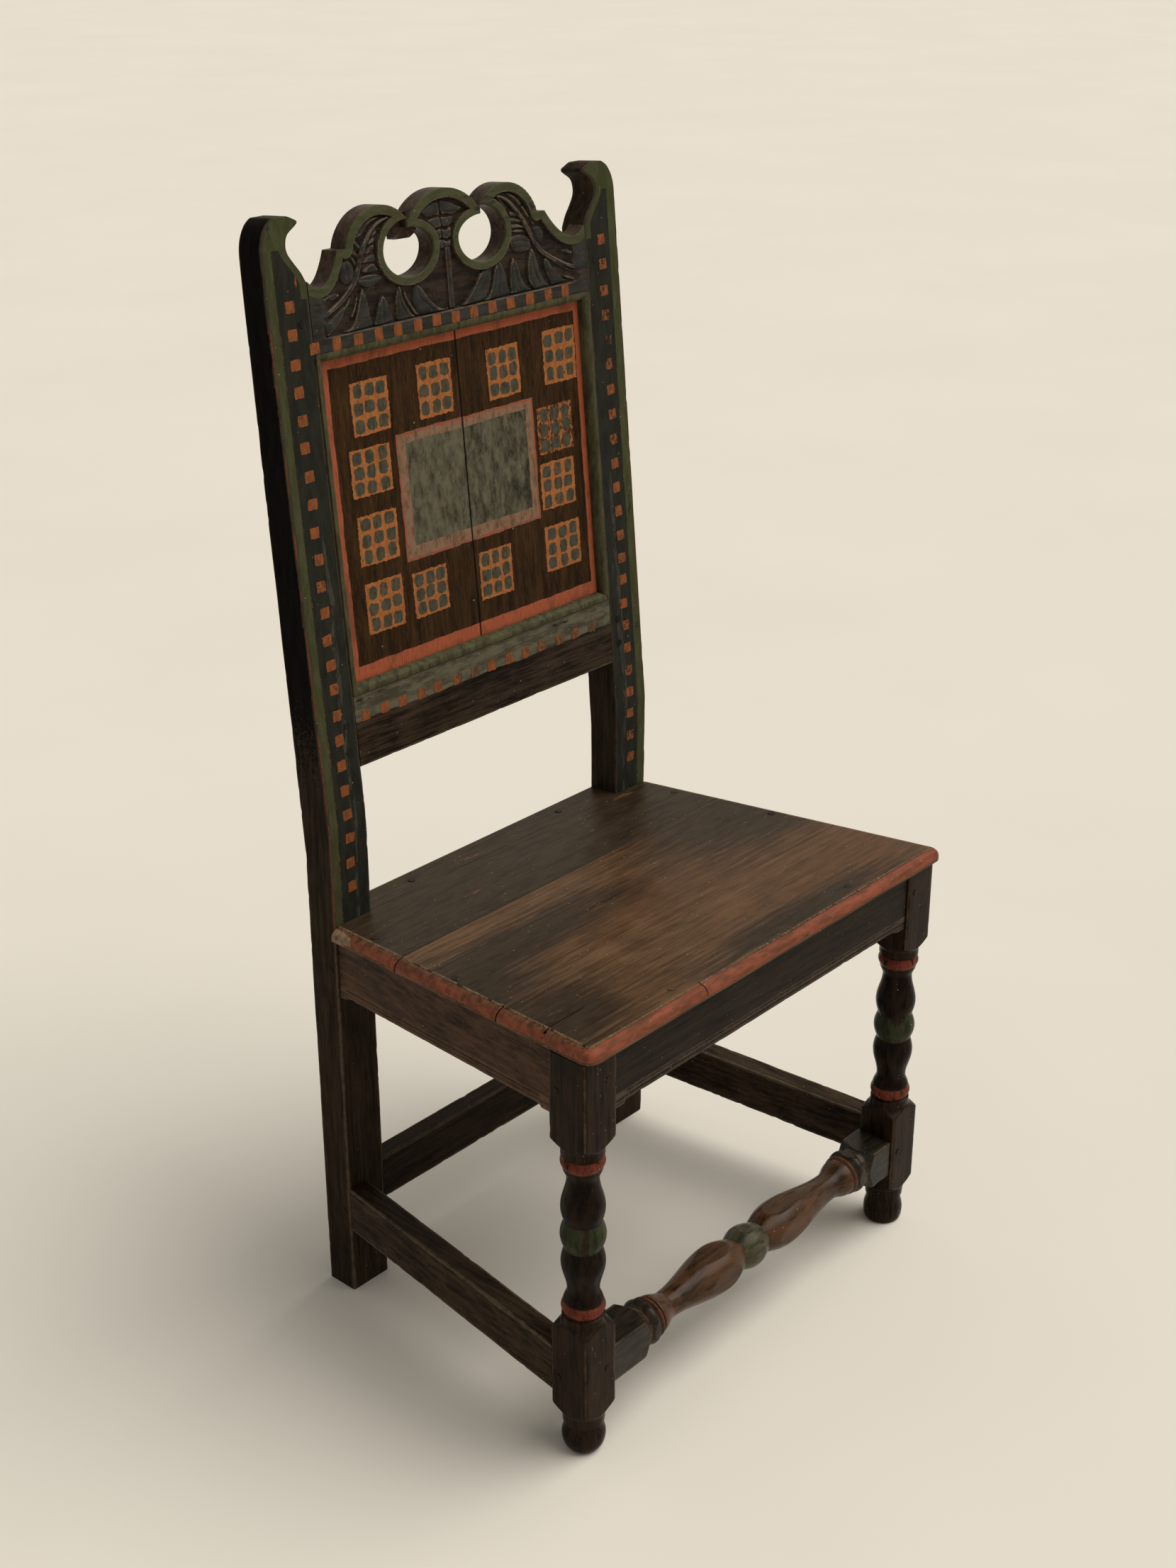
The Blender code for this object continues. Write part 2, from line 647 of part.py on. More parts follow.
def leg_half():
    """Half of the leg's turning, from its middle bead out to the corner of the block: (distance, radius)."""
    points = bead(0.0, 2 * BEAD_HALF, PINCH_RADIUS, BEAD_RADIUS, 6)
    half = [(distance - BEAD_HALF, radius) for distance, radius in points if distance >= BEAD_HALF]
    bulb_rise = BULB_DISTANCE - BEAD_HALF
    half += bead(BEAD_HALF, BEAD_HALF + 2 * bulb_rise, PINCH_RADIUS, BULB_RADIUS, 6)[:3]
    half += swell(BULB_DISTANCE, NECK_DISTANCE, BULB_RADIUS, NECK_RADIUS, 5)
    half += swell(NECK_DISTANCE, RING_START, NECK_RADIUS, RING_RADIUS - QUIRK, 3)
    half += bead(RING_START, RING_END, RING_RADIUS - QUIRK, RING_RADIUS, 3)
    half += [(RING_END, RING_RADIUS - QUIRK), (RING_END + QUIRK, RING_RADIUS - QUIRK),
             (RING_END + 1.5 * QUIRK, COLLAR_RADIUS), (BLOCK_DISTANCE - POMMEL, COLLAR_RADIUS)]
    corner = LEG_SIDE / math.sqrt(2) + OVERCUT
    half += swell(BLOCK_DISTANCE - POMMEL, BLOCK_DISTANCE + OVERCUT, COLLAR_RADIUS, corner, 3)[1:]
    return half + [(BLOCK_DISTANCE + OVERCUT, corner)]


def turned(profile):
    """Profile of (height, radius), top to bottom, as a line of edges beside the turning's axis."""
    mesh = bmesh.new()
    verts = [mesh.verts.new((radius, 0.0, height)) for height, radius in profile]
    for first, second in zip(verts, verts[1:]):
        mesh.edges.new((first, second))
    return mesh


def turn_on_lathe(piece):
    """Spin a profile into a closed solid."""
    screw = piece.modifiers.new("lathe", "SCREW")
    screw.steps = TURNED_SIDES
    screw.render_steps = TURNED_SIDES
    screw.use_merge_vertices = True
    screw.merge_threshold = 0.00001
    screw.use_smooth_shade = True


def make_leg(name, side):
    """Front leg turned from a square billet."""
    half = leg_half()
    corner = LEG_SIDE / math.sqrt(2) + 2 * OVERCUT
    billet_top = seat_top(0.0)
    profile = [(billet_top, 0.0), (billet_top, corner),
               (TURNING_MIDDLE + BLOCK_DISTANCE + 2 * OVERCUT, corner)]
    profile += [(TURNING_MIDDLE + distance, radius) for distance, radius in reversed(half)]
    profile += [(TURNING_MIDDLE - distance, radius) for distance, radius in half[1:]]
    profile += [(TURNING_MIDDLE - BLOCK_DISTANCE - 2 * OVERCUT, corner), (FOOT_BLOCK + OVERCUT, corner)]
    collar = FOOT_BLOCK - FOOT_SHOULDER
    profile += swell(FOOT_BLOCK, collar, corner - OVERCUT, FOOT_COLLAR_RADIUS, 4)
    profile += [(collar, FOOT_COLLAR_RADIUS)]
    profile += swell(collar - FOOT_COLLAR_WIDTH, FOOT_WIDEST, FOOT_NECK, FOOT_RADIUS, 3)
    for step in range(4):
        angle = math.pi / 2 * step / 4
        height = FOOT_WIDEST * (1 - math.sin(angle))
        profile.append((height, FOOT_PAD + (FOOT_RADIUS - FOOT_PAD) * math.cos(angle)))
    profile += [(0.0, FOOT_PAD), (0.0, 0.0)]
    leg = place(name, turned(profile), DARK_OAK, chair)
    leg.location = (side * (FRONT_WIDTH - LEG_SIDE) / 2, LEG_SIDE / 2, 0.0)
    turn_on_lathe(leg)
    billet = [(0.0, -CUTTER_MARGIN), (LEG_SIDE, -CUTTER_MARGIN),
              (LEG_SIDE, rail_top(LEG_SIDE)), (0.0, rail_top(0.0))]
    boolean(leg, prism(billet, 0, side * LEG_INNER, side * FRONT_WIDTH / 2), chair, "INTERSECT")
    return leg


def stretcher_half(side):
    """Half of the front stretcher's turning, from its middle ball out to the leg: (distance, radius)."""
    points = bead(0.0, 2 * BALL_HALF, BALL_PINCH, BALL_RADIUS, 6)
    half = [(distance - BALL_HALF, radius) for distance, radius in points if distance >= BALL_HALF]
    vase_rise = VASE_DISTANCE - BALL_HALF
    half += bead(BALL_HALF, BALL_HALF + 2 * vase_rise, BALL_PINCH, VASE_RADIUS, 8)[:4]
    half += swell(VASE_DISTANCE, VASE_NECK_DISTANCE, VASE_RADIUS, VASE_NECK, 6)
    half += swell(VASE_NECK_DISTANCE, FLARE_END, VASE_NECK, FLARE_RADIUS, 4)
    half += [(FLARE_END, FLARE_RADIUS)]
    half += bead(FLARE_END + QUIRK / 2, FINE_RING_END, FLARE_RADIUS - QUIRK, FINE_RING_RADIUS, 3)
    half += bead(FINE_RING_END, TURNED_HALF - 1.5 * QUIRK, FINE_RING_RADIUS - QUIRK, WIDE_RING_RADIUS, 4)
    collar = FRONT_STRETCHER_BLOCK / 2 - QUIRK / 2
    corner = FRONT_STRETCHER_BLOCK / math.sqrt(2) + OVERCUT
    half += [(TURNED_HALF - 1.5 * QUIRK, collar)]
    half += swell(TURNED_HALF, TURNED_HALF + POMMEL, collar, corner, 3)
    half += [(TURNED_HALF + POMMEL, corner + OVERCUT)]
    stretch = (LEG_INNER - FRONT_BLOCKS[side]) / TURNED_HALF
    reach = LEG_INNER - FIT
    end = [(reach, corner + OVERCUT), (reach, 0.0)]
    return [(distance * stretch, radius) for distance, radius in half] + end


def make_front_stretcher():
    """Turned stretcher between square blocks, tenoned into both legs."""
    profile = stretcher_half(1)[::-1] + [(-distance, radius) for distance, radius in stretcher_half(-1)[1:]]
    stretcher = place("stretcher_front", turned(profile), POLISHED_OAK, chair)
    stretcher.location = (0.0, FRONT_STRETCHER_DEPTH, FRONT_STRETCHER_LEVEL)
    stretcher.rotation_euler = (0.0, math.pi / 2, 0.0)
    turn_on_lathe(stretcher)
    front = FRONT_STRETCHER_DEPTH - FRONT_STRETCHER_BLOCK / 2
    foot = FRONT_STRETCHER_LEVEL - FRONT_STRETCHER_BLOCK / 2
    billet = block((-LEG_INNER, front, foot),
                   (LEG_INNER, front + FRONT_STRETCHER_BLOCK, foot + FRONT_STRETCHER_BLOCK))
    boolean(stretcher, billet, chair, "INTERSECT")
    for name, side in SIDES:
        low, high = leg_tenon(side, foot, foot + FRONT_STRETCHER_BLOCK)
        root = side * (LEG_INNER - FIT - OVERCUT)
        low, high = (min(low[0], root), *low[1:]), (max(high[0], root), *high[1:])
        boolean(stretcher, block(low, high), chair, "UNION")
    return stretcher


# Rails, stretchers and the boxes that their tenons fill

def leg_tenon(side, foot, top):
    """Box of a tenon that enters a front leg from the side, between the heights of its rail."""
    rail_middle = SEAT_RAIL_SETBACK + SEAT_RAIL_THICKNESS / 2
    tip = side * (LEG_INNER + LONG_TENON)
    root = side * LEG_INNER
    return ((min(root, tip), rail_middle - TENON_THICKNESS / 2, foot + TENON_SHOULDER),
            (max(root, tip), rail_middle + TENON_THICKNESS / 2, top - TENON_SHOULDER))


def side_tenon(side, at_leg, level, height, middle):
    """Box of a side rail's tenon in the leg or in the post."""
    half = height / 2 - TENON_SHOULDER
    start, end = (LEG_SIDE - SHORT_TENON, LEG_SIDE) if at_leg else (POST_FRONT, POST_FRONT + SHORT_TENON)
    inner, outer = sorted((side * (middle - TENON_THICKNESS / 2), side * (middle + TENON_THICKNESS / 2)))
    return (inner, start, level - half), (outer, end, level + half)


def rear_tenon(side, foot, top):
    """Box of a rear rail's tenon in a post, between the heights of its rail."""
    middle = POST_FRONT + REAR_RAIL_SETBACK + REAR_RAIL_THICKNESS / 2
    root, tip = sorted((side * INNER_FACE, side * (INNER_FACE + LONG_TENON)))
    return ((root, middle - TENON_THICKNESS / 2, foot + TENON_SHOULDER),
            (tip, middle + TENON_THICKNESS / 2, top - TENON_SHOULDER))


def cross_rail(name, shoulder, depth, foot, top, tenon):
    """Rail along X between two shoulders, whose top follows a function of depth, with a tenon on each end."""
    ends = []
    for side_name, side in SIDES:
        low, high = tenon(side, foot, top(depth[1]))
        tip = low[0] if side < 0 else high[0]
        root = side * (shoulder - FIT)
        span, rise = (low[1], high[1]), (low[2], high[2])
        body = [Vector((root, depth[0], foot)), Vector((root, depth[1], foot)),
                Vector((root, depth[1], top(depth[1]))), Vector((root, depth[0], top(depth[0])))]
        ends.append([body, rectangle(0, root, span, rise), rectangle(0, tip, span, rise)])
    return place(name, tenoned_bar(ends), DARK_OAK, chair)


def side_rail(name, side, inset, thickness, level, height):
    """Rail from a front leg back to a post, skewed because the seat is wider in front."""
    ends = []
    for at_leg, shoulder in ((True, LEG_SIDE + FIT), (False, POST_FRONT - FIT)):
        face = side_face(shoulder, inset)
        middle = level(shoulder, side)
        low, high = side_tenon(side, at_leg, middle, height, face - thickness / 2)
        tip = low[1] if at_leg else high[1]
        across = sorted((side * face, side * (face - thickness)))
        span, rise = (low[0], high[0]), (low[2], high[2])
        ends.append([rectangle(1, shoulder, across, (middle - height / 2, middle + height / 2)),
                     rectangle(1, shoulder, span, rise), rectangle(1, tip, span, rise)])
    return place(name, tenoned_bar(ends), DARK_OAK, chair)


def moulded_edge_profile():
    """Section cut from a seat rail's lower edge, a groove over a flat bead: (depth from the face, height)."""
    groove = MOULDED_EDGE - EDGE_GROOVE / 2
    bead_face = EDGE_GROOVE / 4
    return [(-EDGE_CHAMFER, MOULDED_EDGE), (0.0, MOULDED_EDGE), (EDGE_GROOVE, groove),
            (EDGE_GROOVE, groove - EDGE_GROOVE / 2), (bead_face, groove - 1.3 * EDGE_GROOVE),
            (bead_face, EDGE_CHAMFER), (EDGE_CHAMFER / 2, EDGE_CHAMFER / 3),
            (EDGE_CHAMFER, -EDGE_CHAMFER / 9), (EDGE_CHAMFER, -EDGE_CHAMFER), (-EDGE_CHAMFER, -EDGE_CHAMFER)]


def mould_front_rail(rail):
    """Scratch-moulded lower edge, stopped before the legs."""
    end = LEG_INNER - MOULDING_STOP
    outline = [(SEAT_RAIL_SETBACK + depth, FRONT_RAIL_FOOT + height)
               for depth, height in moulded_edge_profile()]
    boolean(rail, prism(outline, 0, -end, end), chair)


def mould_side_rail(rail, side):
    """The same edge on a side rail, along its skewed face."""
    rings = []
    for y in (LEG_SIDE + MOULDING_STOP, POST_FRONT - FIT - MOULDING_STOP / 2):
        face = side_face(y, SEAT_RAIL_SETBACK)
        foot = rail_top(y) - SEAT_RAIL_HEIGHT
        rings.append([(side * (face - depth), y, foot + height) for depth, height in moulded_edge_profile()])
    boolean(rail, loft(rings), chair)


# Seat

def seat_edge(y):
    """Distance from the middle to the seat's side edge at a depth."""
    front = FRONT_WIDTH / 2 + SEAT_SIDE_OVERHANG
    rear = REAR_WIDTH / 2 + SEAT_REAR_OVERHANG
    share = (y + SEAT_FRONT_OVERHANG) / (POST_FRONT + SEAT_FRONT_OVERHANG)
    return front + (rear - front) * share


def thumbnail():
    """Steps of the seat's edge: (inset, height above the underside)."""
    steps = [(0.0, 0.0), (0.0, THUMB_EDGE)]
    rise = SEAT_THICKNESS - THUMB_STEP - THUMB_EDGE
    for step in range(1, 5):
        angle = math.pi / 2 * step / 4
        steps.append((THUMB_WIDTH * (1 - math.cos(angle)), THUMB_EDGE + rise * math.sin(angle)))
    return steps + [(THUMB_WIDTH + THUMB_STEP / 2, SEAT_THICKNESS)]


def seat_outline(board, inset):
    """Plan of one seat board with its moulded edges drawn in."""
    if board == "front":
        start, end = -SEAT_FRONT_OVERHANG + inset, FRONT_BOARD_END - FIT / 2
        radius = max(SEAT_CORNER - inset, THUMB_STEP)
        corners = [(-seat_edge(start) + inset, start, radius), (seat_edge(start) - inset, start, radius),
                   (seat_edge(end) - inset, end, 0), (-seat_edge(end) + inset, end, 0)]
        return rounded(corners, 5)
    if board == "middle":
        start, end = FRONT_BOARD_END + FIT / 2, MIDDLE_BOARD_END - FIT / 2
        return [(-seat_edge(start) + inset, start), (seat_edge(start) - inset, start),
                (seat_edge(end) - inset, end), (-seat_edge(end) + inset, end)]
    start, notch, end = MIDDLE_BOARD_END + FIT / 2, POST_FRONT - FIT, FRAME_DEPTH - SEAT_BACK_MARGIN
    tongue = INNER_FACE - FIT
    half = [(seat_edge(start) - inset, start), (seat_edge(notch) - inset, notch),
            (tongue, notch), (tongue, end)]
    return [(-x, y) for x, y in half[::-1]] + half


def make_seat_board(board):
    """One board across the seat."""
    rings = [[(x, y, seat_top(y) - SEAT_THICKNESS + height) for x, y in seat_outline(board, inset)]
             for inset, height in thumbnail()]
    return place("seat_board_" + board, loft(rings), WORN_OAK, chair)


# The chair

for old in list(bpy.data.objects):
    bpy.data.objects.remove(old, do_unlink=True)

DARK_OAK = make_material("dark oak", (0.060, 0.042, 0.032), 0.55)
WORN_OAK = make_material("worn seat oak", (0.120, 0.072, 0.045), 0.45)
POLISHED_OAK = make_material("polished oak", (0.110, 0.055, 0.030), 0.35)
PAINTED_PANEL = make_material("painted panel", (0.150, 0.060, 0.035), 0.60)
GREEN_PAINT = make_material("olive green paint", (0.070, 0.075, 0.045), 0.60)
OAK_PEG = make_material("oak peg", (0.090, 0.065, 0.045), 0.60)

chair = bpy.data.objects.new("chair", None)
chair.location = (0.0, -MIDDLE_OF_DEPTH, 0.0)
bpy.context.scene.collection.objects.link(chair)
back = bpy.data.objects.new("raked_back", None)
back.parent = chair
back.location = (0.0, POST_FRONT, BEND_HEIGHT)
back.rotation_euler = (-RAKE, 0.0, 0.0)
bpy.context.scene.collection.objects.link(back)

posts = {name: make_post("rear_post_" + name, side) for name, side in SIDES}
legs = {name: make_leg("front_leg_" + name, side) for name, side in SIDES}
crest_rail = make_crest()
lower_rail = make_lower_rail()
for name, side in SIDES:
    make_panel_board("panel_board_" + name, side)
make_mouldings()

front_depth = (SEAT_RAIL_SETBACK, SEAT_RAIL_SETBACK + SEAT_RAIL_THICKNESS)
rear_depth = (POST_FRONT + REAR_RAIL_SETBACK, POST_FRONT + REAR_RAIL_SETBACK + REAR_RAIL_THICKNESS)
rail_front = cross_rail("seat_rail_front", LEG_INNER, front_depth, FRONT_RAIL_FOOT, rail_top, leg_tenon)
rail_rear = cross_rail("seat_rail_rear", INNER_FACE, rear_depth, REAR_RAIL_FOOT, rail_top, rear_tenon)
stretcher_front = make_front_stretcher()
stretcher_rear = cross_rail("stretcher_rear", INNER_FACE, rear_depth, REAR_STRETCHER_FOOT,
                            lambda y: REAR_STRETCHER_TOP, rear_tenon)
mould_front_rail(rail_front)

boards = {board: make_seat_board(board) for board in ("front", "middle", "rear")}
tenon_peg_x = LEG_INNER + LONG_TENON / 2
back_peg_x = INNER_FACE + LONG_TENON / 2
middle_board_depth = (FRONT_BOARD_END + MIDDLE_BOARD_END) / 2
rear_board_depth = (MIDDLE_BOARD_END + POST_FRONT) / 2
front_block_foot = FRONT_STRETCHER_LEVEL - FRONT_STRETCHER_BLOCK / 2
front_block_top = FRONT_STRETCHER_LEVEL + FRONT_STRETCHER_BLOCK / 2

for name, side in SIDES:
    leg, post = legs[name], posts[name]
    rail = side_rail("seat_rail_" + name, side, SEAT_RAIL_SETBACK, SEAT_RAIL_THICKNESS, rail_level,
                     SEAT_RAIL_HEIGHT)
    mould_side_rail(rail, side)
    stretcher = side_rail("stretcher_" + name, side, STRETCHER_SETBACK, STRETCHER_THICKNESS, stretcher_level,
                          STRETCHER_HEIGHT)

    # Tenons of the front and rear rails and stretchers
    for label, host, bar, foot, top, tenon in (
            ("seat_rail_front", leg, rail_front, FRONT_RAIL_FOOT, rail_top(front_depth[1]), leg_tenon),
            ("stretcher_front", leg, stretcher_front, front_block_foot, front_block_top, leg_tenon),
            ("seat_rail_rear", post, rail_rear, REAR_RAIL_FOOT, rail_top(rear_depth[1]), rear_tenon),
            ("stretcher_rear", post, stretcher_rear, REAR_STRETCHER_FOOT, REAR_STRETCHER_TOP, rear_tenon)):
        mortise(host, *tenon(side, foot, top), chair)
        level = (foot + top) / 2 + PEG_STAGGER
        if host is leg:
            head = (side * tenon_peg_x, 0.0, level)
            peg(f"peg_{label}_{name}", head, (0, 1, 0), (leg, bar), chair)
        else:
            head = (side * back_peg_x, FRAME_DEPTH, level)
            peg(f"peg_{label}_{name}", head, (0, -1, 0), (post, bar), chair)

    # Tenons of the side rail and stretcher
    for label, bar, inset, thickness, level, height in (
            ("seat_rail", rail, SEAT_RAIL_SETBACK, SEAT_RAIL_THICKNESS, rail_level, SEAT_RAIL_HEIGHT),
            ("stretcher", stretcher, STRETCHER_SETBACK, STRETCHER_THICKNESS, stretcher_level,
             STRETCHER_HEIGHT)):
        for place_name, host, at_leg, shoulder, outer in (
                ("leg", leg, True, LEG_SIDE + FIT, FRONT_WIDTH / 2),
                ("post", post, False, POST_FRONT - FIT, OUTER_FACE)):
            middle = side_face(shoulder, inset) - thickness / 2
            low, high = side_tenon(side, at_leg, level(shoulder, side), height, middle)
            mortise(host, low, high, chair)
            head = (side * outer, (low[1] + high[1]) / 2, level(shoulder, side) - PEG_STAGGER)
            peg(f"peg_{label}_{name}_{place_name}", head, (-side, 0, 0), (host, bar), chair)

    # Tenons of the two back rails, pegged from the front
    crest_root = (side * INNER_FACE, tenon_front(), CREST_FOOT + CREST_TENON_FOOT)
    crest_tip = (side * (INNER_FACE + LONG_TENON), tenon_front() + TENON_THICKNESS,
                 CREST_FOOT + CREST_TENON_TOP)
    rail_root = (side * INNER_FACE, tenon_front(), LOWER_RAIL_FOOT + TENON_SHOULDER)
    rail_tip = (side * (INNER_FACE + LONG_TENON), tenon_front() + TENON_THICKNESS,
                LOWER_RAIL_TOP - GROOVE_DEPTH - TENON_SHOULDER)
    for label, bar, root, tip, shares in (
            ("crest", crest_rail, crest_root, crest_tip, CREST_PEG_SHARES),
            ("lower_rail", lower_rail, rail_root, rail_tip, LOWER_RAIL_PEG_SHARES)):
        mortise(post, root, tip, back)
        for number, share in enumerate(shares, 1):
            level = root[2] + (tip[2] - root[2]) * share
            peg(f"peg_{label}_{name}_{number}", (side * back_peg_x, 0.0, level), (0, 1, 0), (post, bar), back,
                length=RAIL_THICKNESS)

    # Pegs that hold the seat boards down
    for label, board, bar, x, y in (
            ("front", "front", rail_front, side * LEG_INNER * SEAT_PEG_SHARE, sum(front_depth) / 2),
            ("middle", "middle", rail, None, middle_board_depth),
            ("rear", "rear", rail, None, rear_board_depth),
            ("back", "rear", rail_rear, side * INNER_FACE * SEAT_PEG_SHARE, sum(rear_depth) / 2)):
        if x is None:
            x = side * (side_face(y, SEAT_RAIL_SETBACK) - SEAT_RAIL_THICKNESS / 2)
        peg(f"peg_seat_{label}_{name}", (x, y, seat_top(y)), (0, 0, -1), (boards[board], bar), chair,
            SEAT_PEG_RADIUS, SEAT_PEG_LENGTH)
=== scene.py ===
"""Looks of a carved and painted oak side chair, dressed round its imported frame.

Metres, +Z up, the chair faces -Y and its left is -X. On the leaning back a place is given by x, by its
level up the slope from the bend of the posts and by its depth square to the slope.
"""

import logging
import math
from dataclasses import dataclass, field, replace
from enum import Enum

import bmesh
import bpy
import numpy as np
from mathutils import Matrix, Vector
from mathutils.geometry import delaunay_2d_cdt
from mathutils.kdtree import KDTree


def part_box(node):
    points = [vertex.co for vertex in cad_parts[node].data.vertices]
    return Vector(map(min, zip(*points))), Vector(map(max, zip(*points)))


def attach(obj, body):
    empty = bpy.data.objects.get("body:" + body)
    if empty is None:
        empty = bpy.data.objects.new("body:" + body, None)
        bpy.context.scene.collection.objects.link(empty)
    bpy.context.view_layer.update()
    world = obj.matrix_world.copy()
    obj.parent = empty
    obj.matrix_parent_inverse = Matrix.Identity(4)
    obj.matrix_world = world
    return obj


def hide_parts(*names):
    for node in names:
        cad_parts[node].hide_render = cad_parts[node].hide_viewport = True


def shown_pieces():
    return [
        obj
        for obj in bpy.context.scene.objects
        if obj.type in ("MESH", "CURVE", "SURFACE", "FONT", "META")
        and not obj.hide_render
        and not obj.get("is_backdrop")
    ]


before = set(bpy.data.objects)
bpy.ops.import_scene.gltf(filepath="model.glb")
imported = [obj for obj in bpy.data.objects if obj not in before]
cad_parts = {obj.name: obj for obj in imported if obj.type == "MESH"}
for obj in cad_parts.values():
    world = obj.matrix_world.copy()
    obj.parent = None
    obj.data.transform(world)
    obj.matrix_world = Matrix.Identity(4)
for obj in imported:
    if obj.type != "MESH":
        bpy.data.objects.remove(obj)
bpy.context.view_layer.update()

Array = np.ndarray
Colour = tuple[float, float, float]
Box = tuple[float, float, float, float]
Path = tuple[tuple[float, float], ...]
Profile = list[tuple[float, float]]
Faces = list[tuple[int, ...]]
Piece = bpy.types.Object
Socket = bpy.types.NodeSocket
Texture = tuple[float, Colour, float, float, float]

LOG = logging.getLogger("chair")
MM = 0.001
UNPAINTED = -20.0
SIDES = (("left", -1), ("right", 1))

# Places shared by the sub-assemblies, read from the frame
LEG_LOW, LEG_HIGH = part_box("front_leg_left")
POST_LOW, POST_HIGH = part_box("rear_post_right")
FRONT_Y = LEG_LOW.y
LEG_SIDE = LEG_HIGH.y - LEG_LOW.y
LEG_OUTER = -LEG_LOW.x
LEG_INNER = -LEG_HIGH.x
POST_FRONT = POST_LOW.y
INNER_FACE = POST_LOW.x
OUTER_FACE = POST_HIGH.x

# Sizes of the joined frame
RAKE = math.radians(5.0)
BEND_HEIGHT = 0.544
BACK_LENGTH = 0.5815
POST_DEPTH = 0.0375
SEAT_FRONT_HEIGHT = 0.462
SEAT_REAR_HEIGHT = 0.440
SEAT_THICKNESS = 0.0135
RAIL_HEIGHT = 0.067
RAIL_THICKNESS = 0.022
RAIL_SETBACK = 0.003
CREST_FOOT = 0.454
LOWER_RAIL_FOOT = 0.052
LOWER_RAIL_TOP = 0.1245
BACK_RAIL_THICKNESS = 0.021
PANEL_RECESS = 0.009
FIT = 0.0003

# Colours, linear
INK = (0.0175, 0.0178, 0.0138)
INK_GREY = (0.055, 0.055, 0.046)
OLIVE = (0.048, 0.051, 0.0215)
OLIVE_PALE = (0.066, 0.068, 0.032)
RED = (0.36, 0.093, 0.044)
RED_BROWN = (0.17, 0.050, 0.022)
RING_RED = (0.17, 0.038, 0.022)
ORANGE = (0.38, 0.138, 0.042)
ORANGE_DULL = (0.27, 0.094, 0.029)
BRICK = (0.26, 0.080, 0.026)
BRICK_DULL = (0.15, 0.056, 0.022)
DOT_GREY = (0.076, 0.073, 0.051)
DOT_DARK = (0.040, 0.037, 0.026)
BLACK = (0.004, 0.0035, 0.003)
DUST = (0.42, 0.40, 0.34)

# Noise that isn't drawn out along any axis
EVEN = (1.0, 1.0, 1.0)


# Places on the back and on the seat

def on_back(x: Array, depth: Array, level: Array) -> Array:
    """Points of the leaning back.

    Args:
        x: distances across.
        depth: distances behind the front of the back.
        level: distances up the slope.

    Returns:
        Points in the frame's own axes.
    """
    x, depth, level = np.broadcast_arrays(x, depth, level)
    y = POST_FRONT + level * math.sin(RAKE) + depth * math.cos(RAKE)
    z = BEND_HEIGHT + level * math.cos(RAKE) - depth * math.sin(RAKE)
    return np.stack((x, y, z), axis=-1)


def back_places(points: Array) -> tuple[Array, Array, Array]:
    """Places on the leaning back.

    Args:
        points: points in the frame's own axes.

    Returns:
        Distance across, depth and level of each.
    """
    y = points[:, 1] - POST_FRONT
    z = points[:, 2] - BEND_HEIGHT
    depth = y * math.cos(RAKE) - z * math.sin(RAKE)
    level = y * math.sin(RAKE) + z * math.cos(RAKE)
    return points[:, 0], depth, level


def seat_top(y: Array) -> Array:
    """Height of the seat's upper side at depths from the front of the legs."""
    return SEAT_FRONT_HEIGHT + (SEAT_REAR_HEIGHT - SEAT_FRONT_HEIGHT) * y / (POST_FRONT - FRONT_Y)


def rail_top(y: Array) -> Array:
    """Height of the seat rails' upper side at depths from the front of the legs."""
    return seat_top(y) - SEAT_THICKNESS - FIT


def side_face(y: Array, inset: float) -> Array:
    """Distance from the middle to the outer side of the base at depths, less an inset."""
    share = (y - LEG_SIDE) / (POST_FRONT - FRONT_Y - LEG_SIDE)
    return LEG_OUTER + (OUTER_FACE - LEG_OUTER) * share - inset


# Noise and curves

def lattice(cells: Array, seed: int) -> Array:
    """Numbers from 0 to 1 that look random, one for each whole cell."""
    wave = np.sin(cells @ np.array((127.1, 311.7, 74.7)) + 19.19 * seed) * 43758.5453
    return wave - np.floor(wave)


def ripple(points: Array, size: float | Colour, seed: int, octaves: int = 2) -> Array:
    """Smooth noise.

    Args:
        points: where it is wanted.
        size: length of its waves, one for all axes or one for each.
        seed: which noise.
        octaves: how many finer waves are added, each half as strong.

    Returns:
        Values from -1 to 1.
    """
    total = np.zeros(len(points))
    reach = 0.0
    for octave in range(octaves):
        scaled = points / np.asarray(size) * 2 ** octave + 17.3 * octave + 5.7 * seed
        cell = np.floor(scaled)
        part = scaled - cell
        part = part * part * (3 - 2 * part)
        value = np.zeros(len(points))
        for corner in np.ndindex(2, 2, 2):
            weight = np.prod(np.where(corner, part, 1 - part), axis=1)
            value += weight * lattice(cell + corner, seed + octave)
        total += (2 * value - 1) * 0.5 ** octave
        reach += 0.5 ** octave
    return total / reach


def ease(value: Array, low: float, high: float) -> Array:
    """Smooth step from 0 at low to 1 at high."""
    share = np.clip((value - low) / (high - low), 0.0, 1.0)
    return share * share * (3 - 2 * share)


def curve_spans(corners: Array, steps: int) -> list[Array]:
    """Catmull-Rom spans.

    Args:
        corners: points of the curve, with one more at each end that only gives its direction.
        steps: points of a span, without its last.

    Returns:
        The points of each span.
    """
    t = (np.arange(steps) / steps)[:, None]
    parts = []
    for p, q, r, s in zip(corners, corners[1:], corners[2:], corners[3:]):
        parts.append(0.5 * (2 * q + (r - p) * t + (2 * p - 5 * q + 4 * r - s) * t ** 2
                            + (3 * q - p - 3 * r + s) * t ** 3))
    return parts


def smooth_path(points: Array, steps: int) -> Array:
    """Smooth curve through points, open at both ends.

    Args:
        points: what it passes through.
        steps: points of each span.

    Returns:
        The curve's points.
    """
    points = np.asarray(points, float)
    padded = np.concatenate((points[:1], points, points[-1:]))
    return np.concatenate(curve_spans(padded, steps) + [points[-1:]])


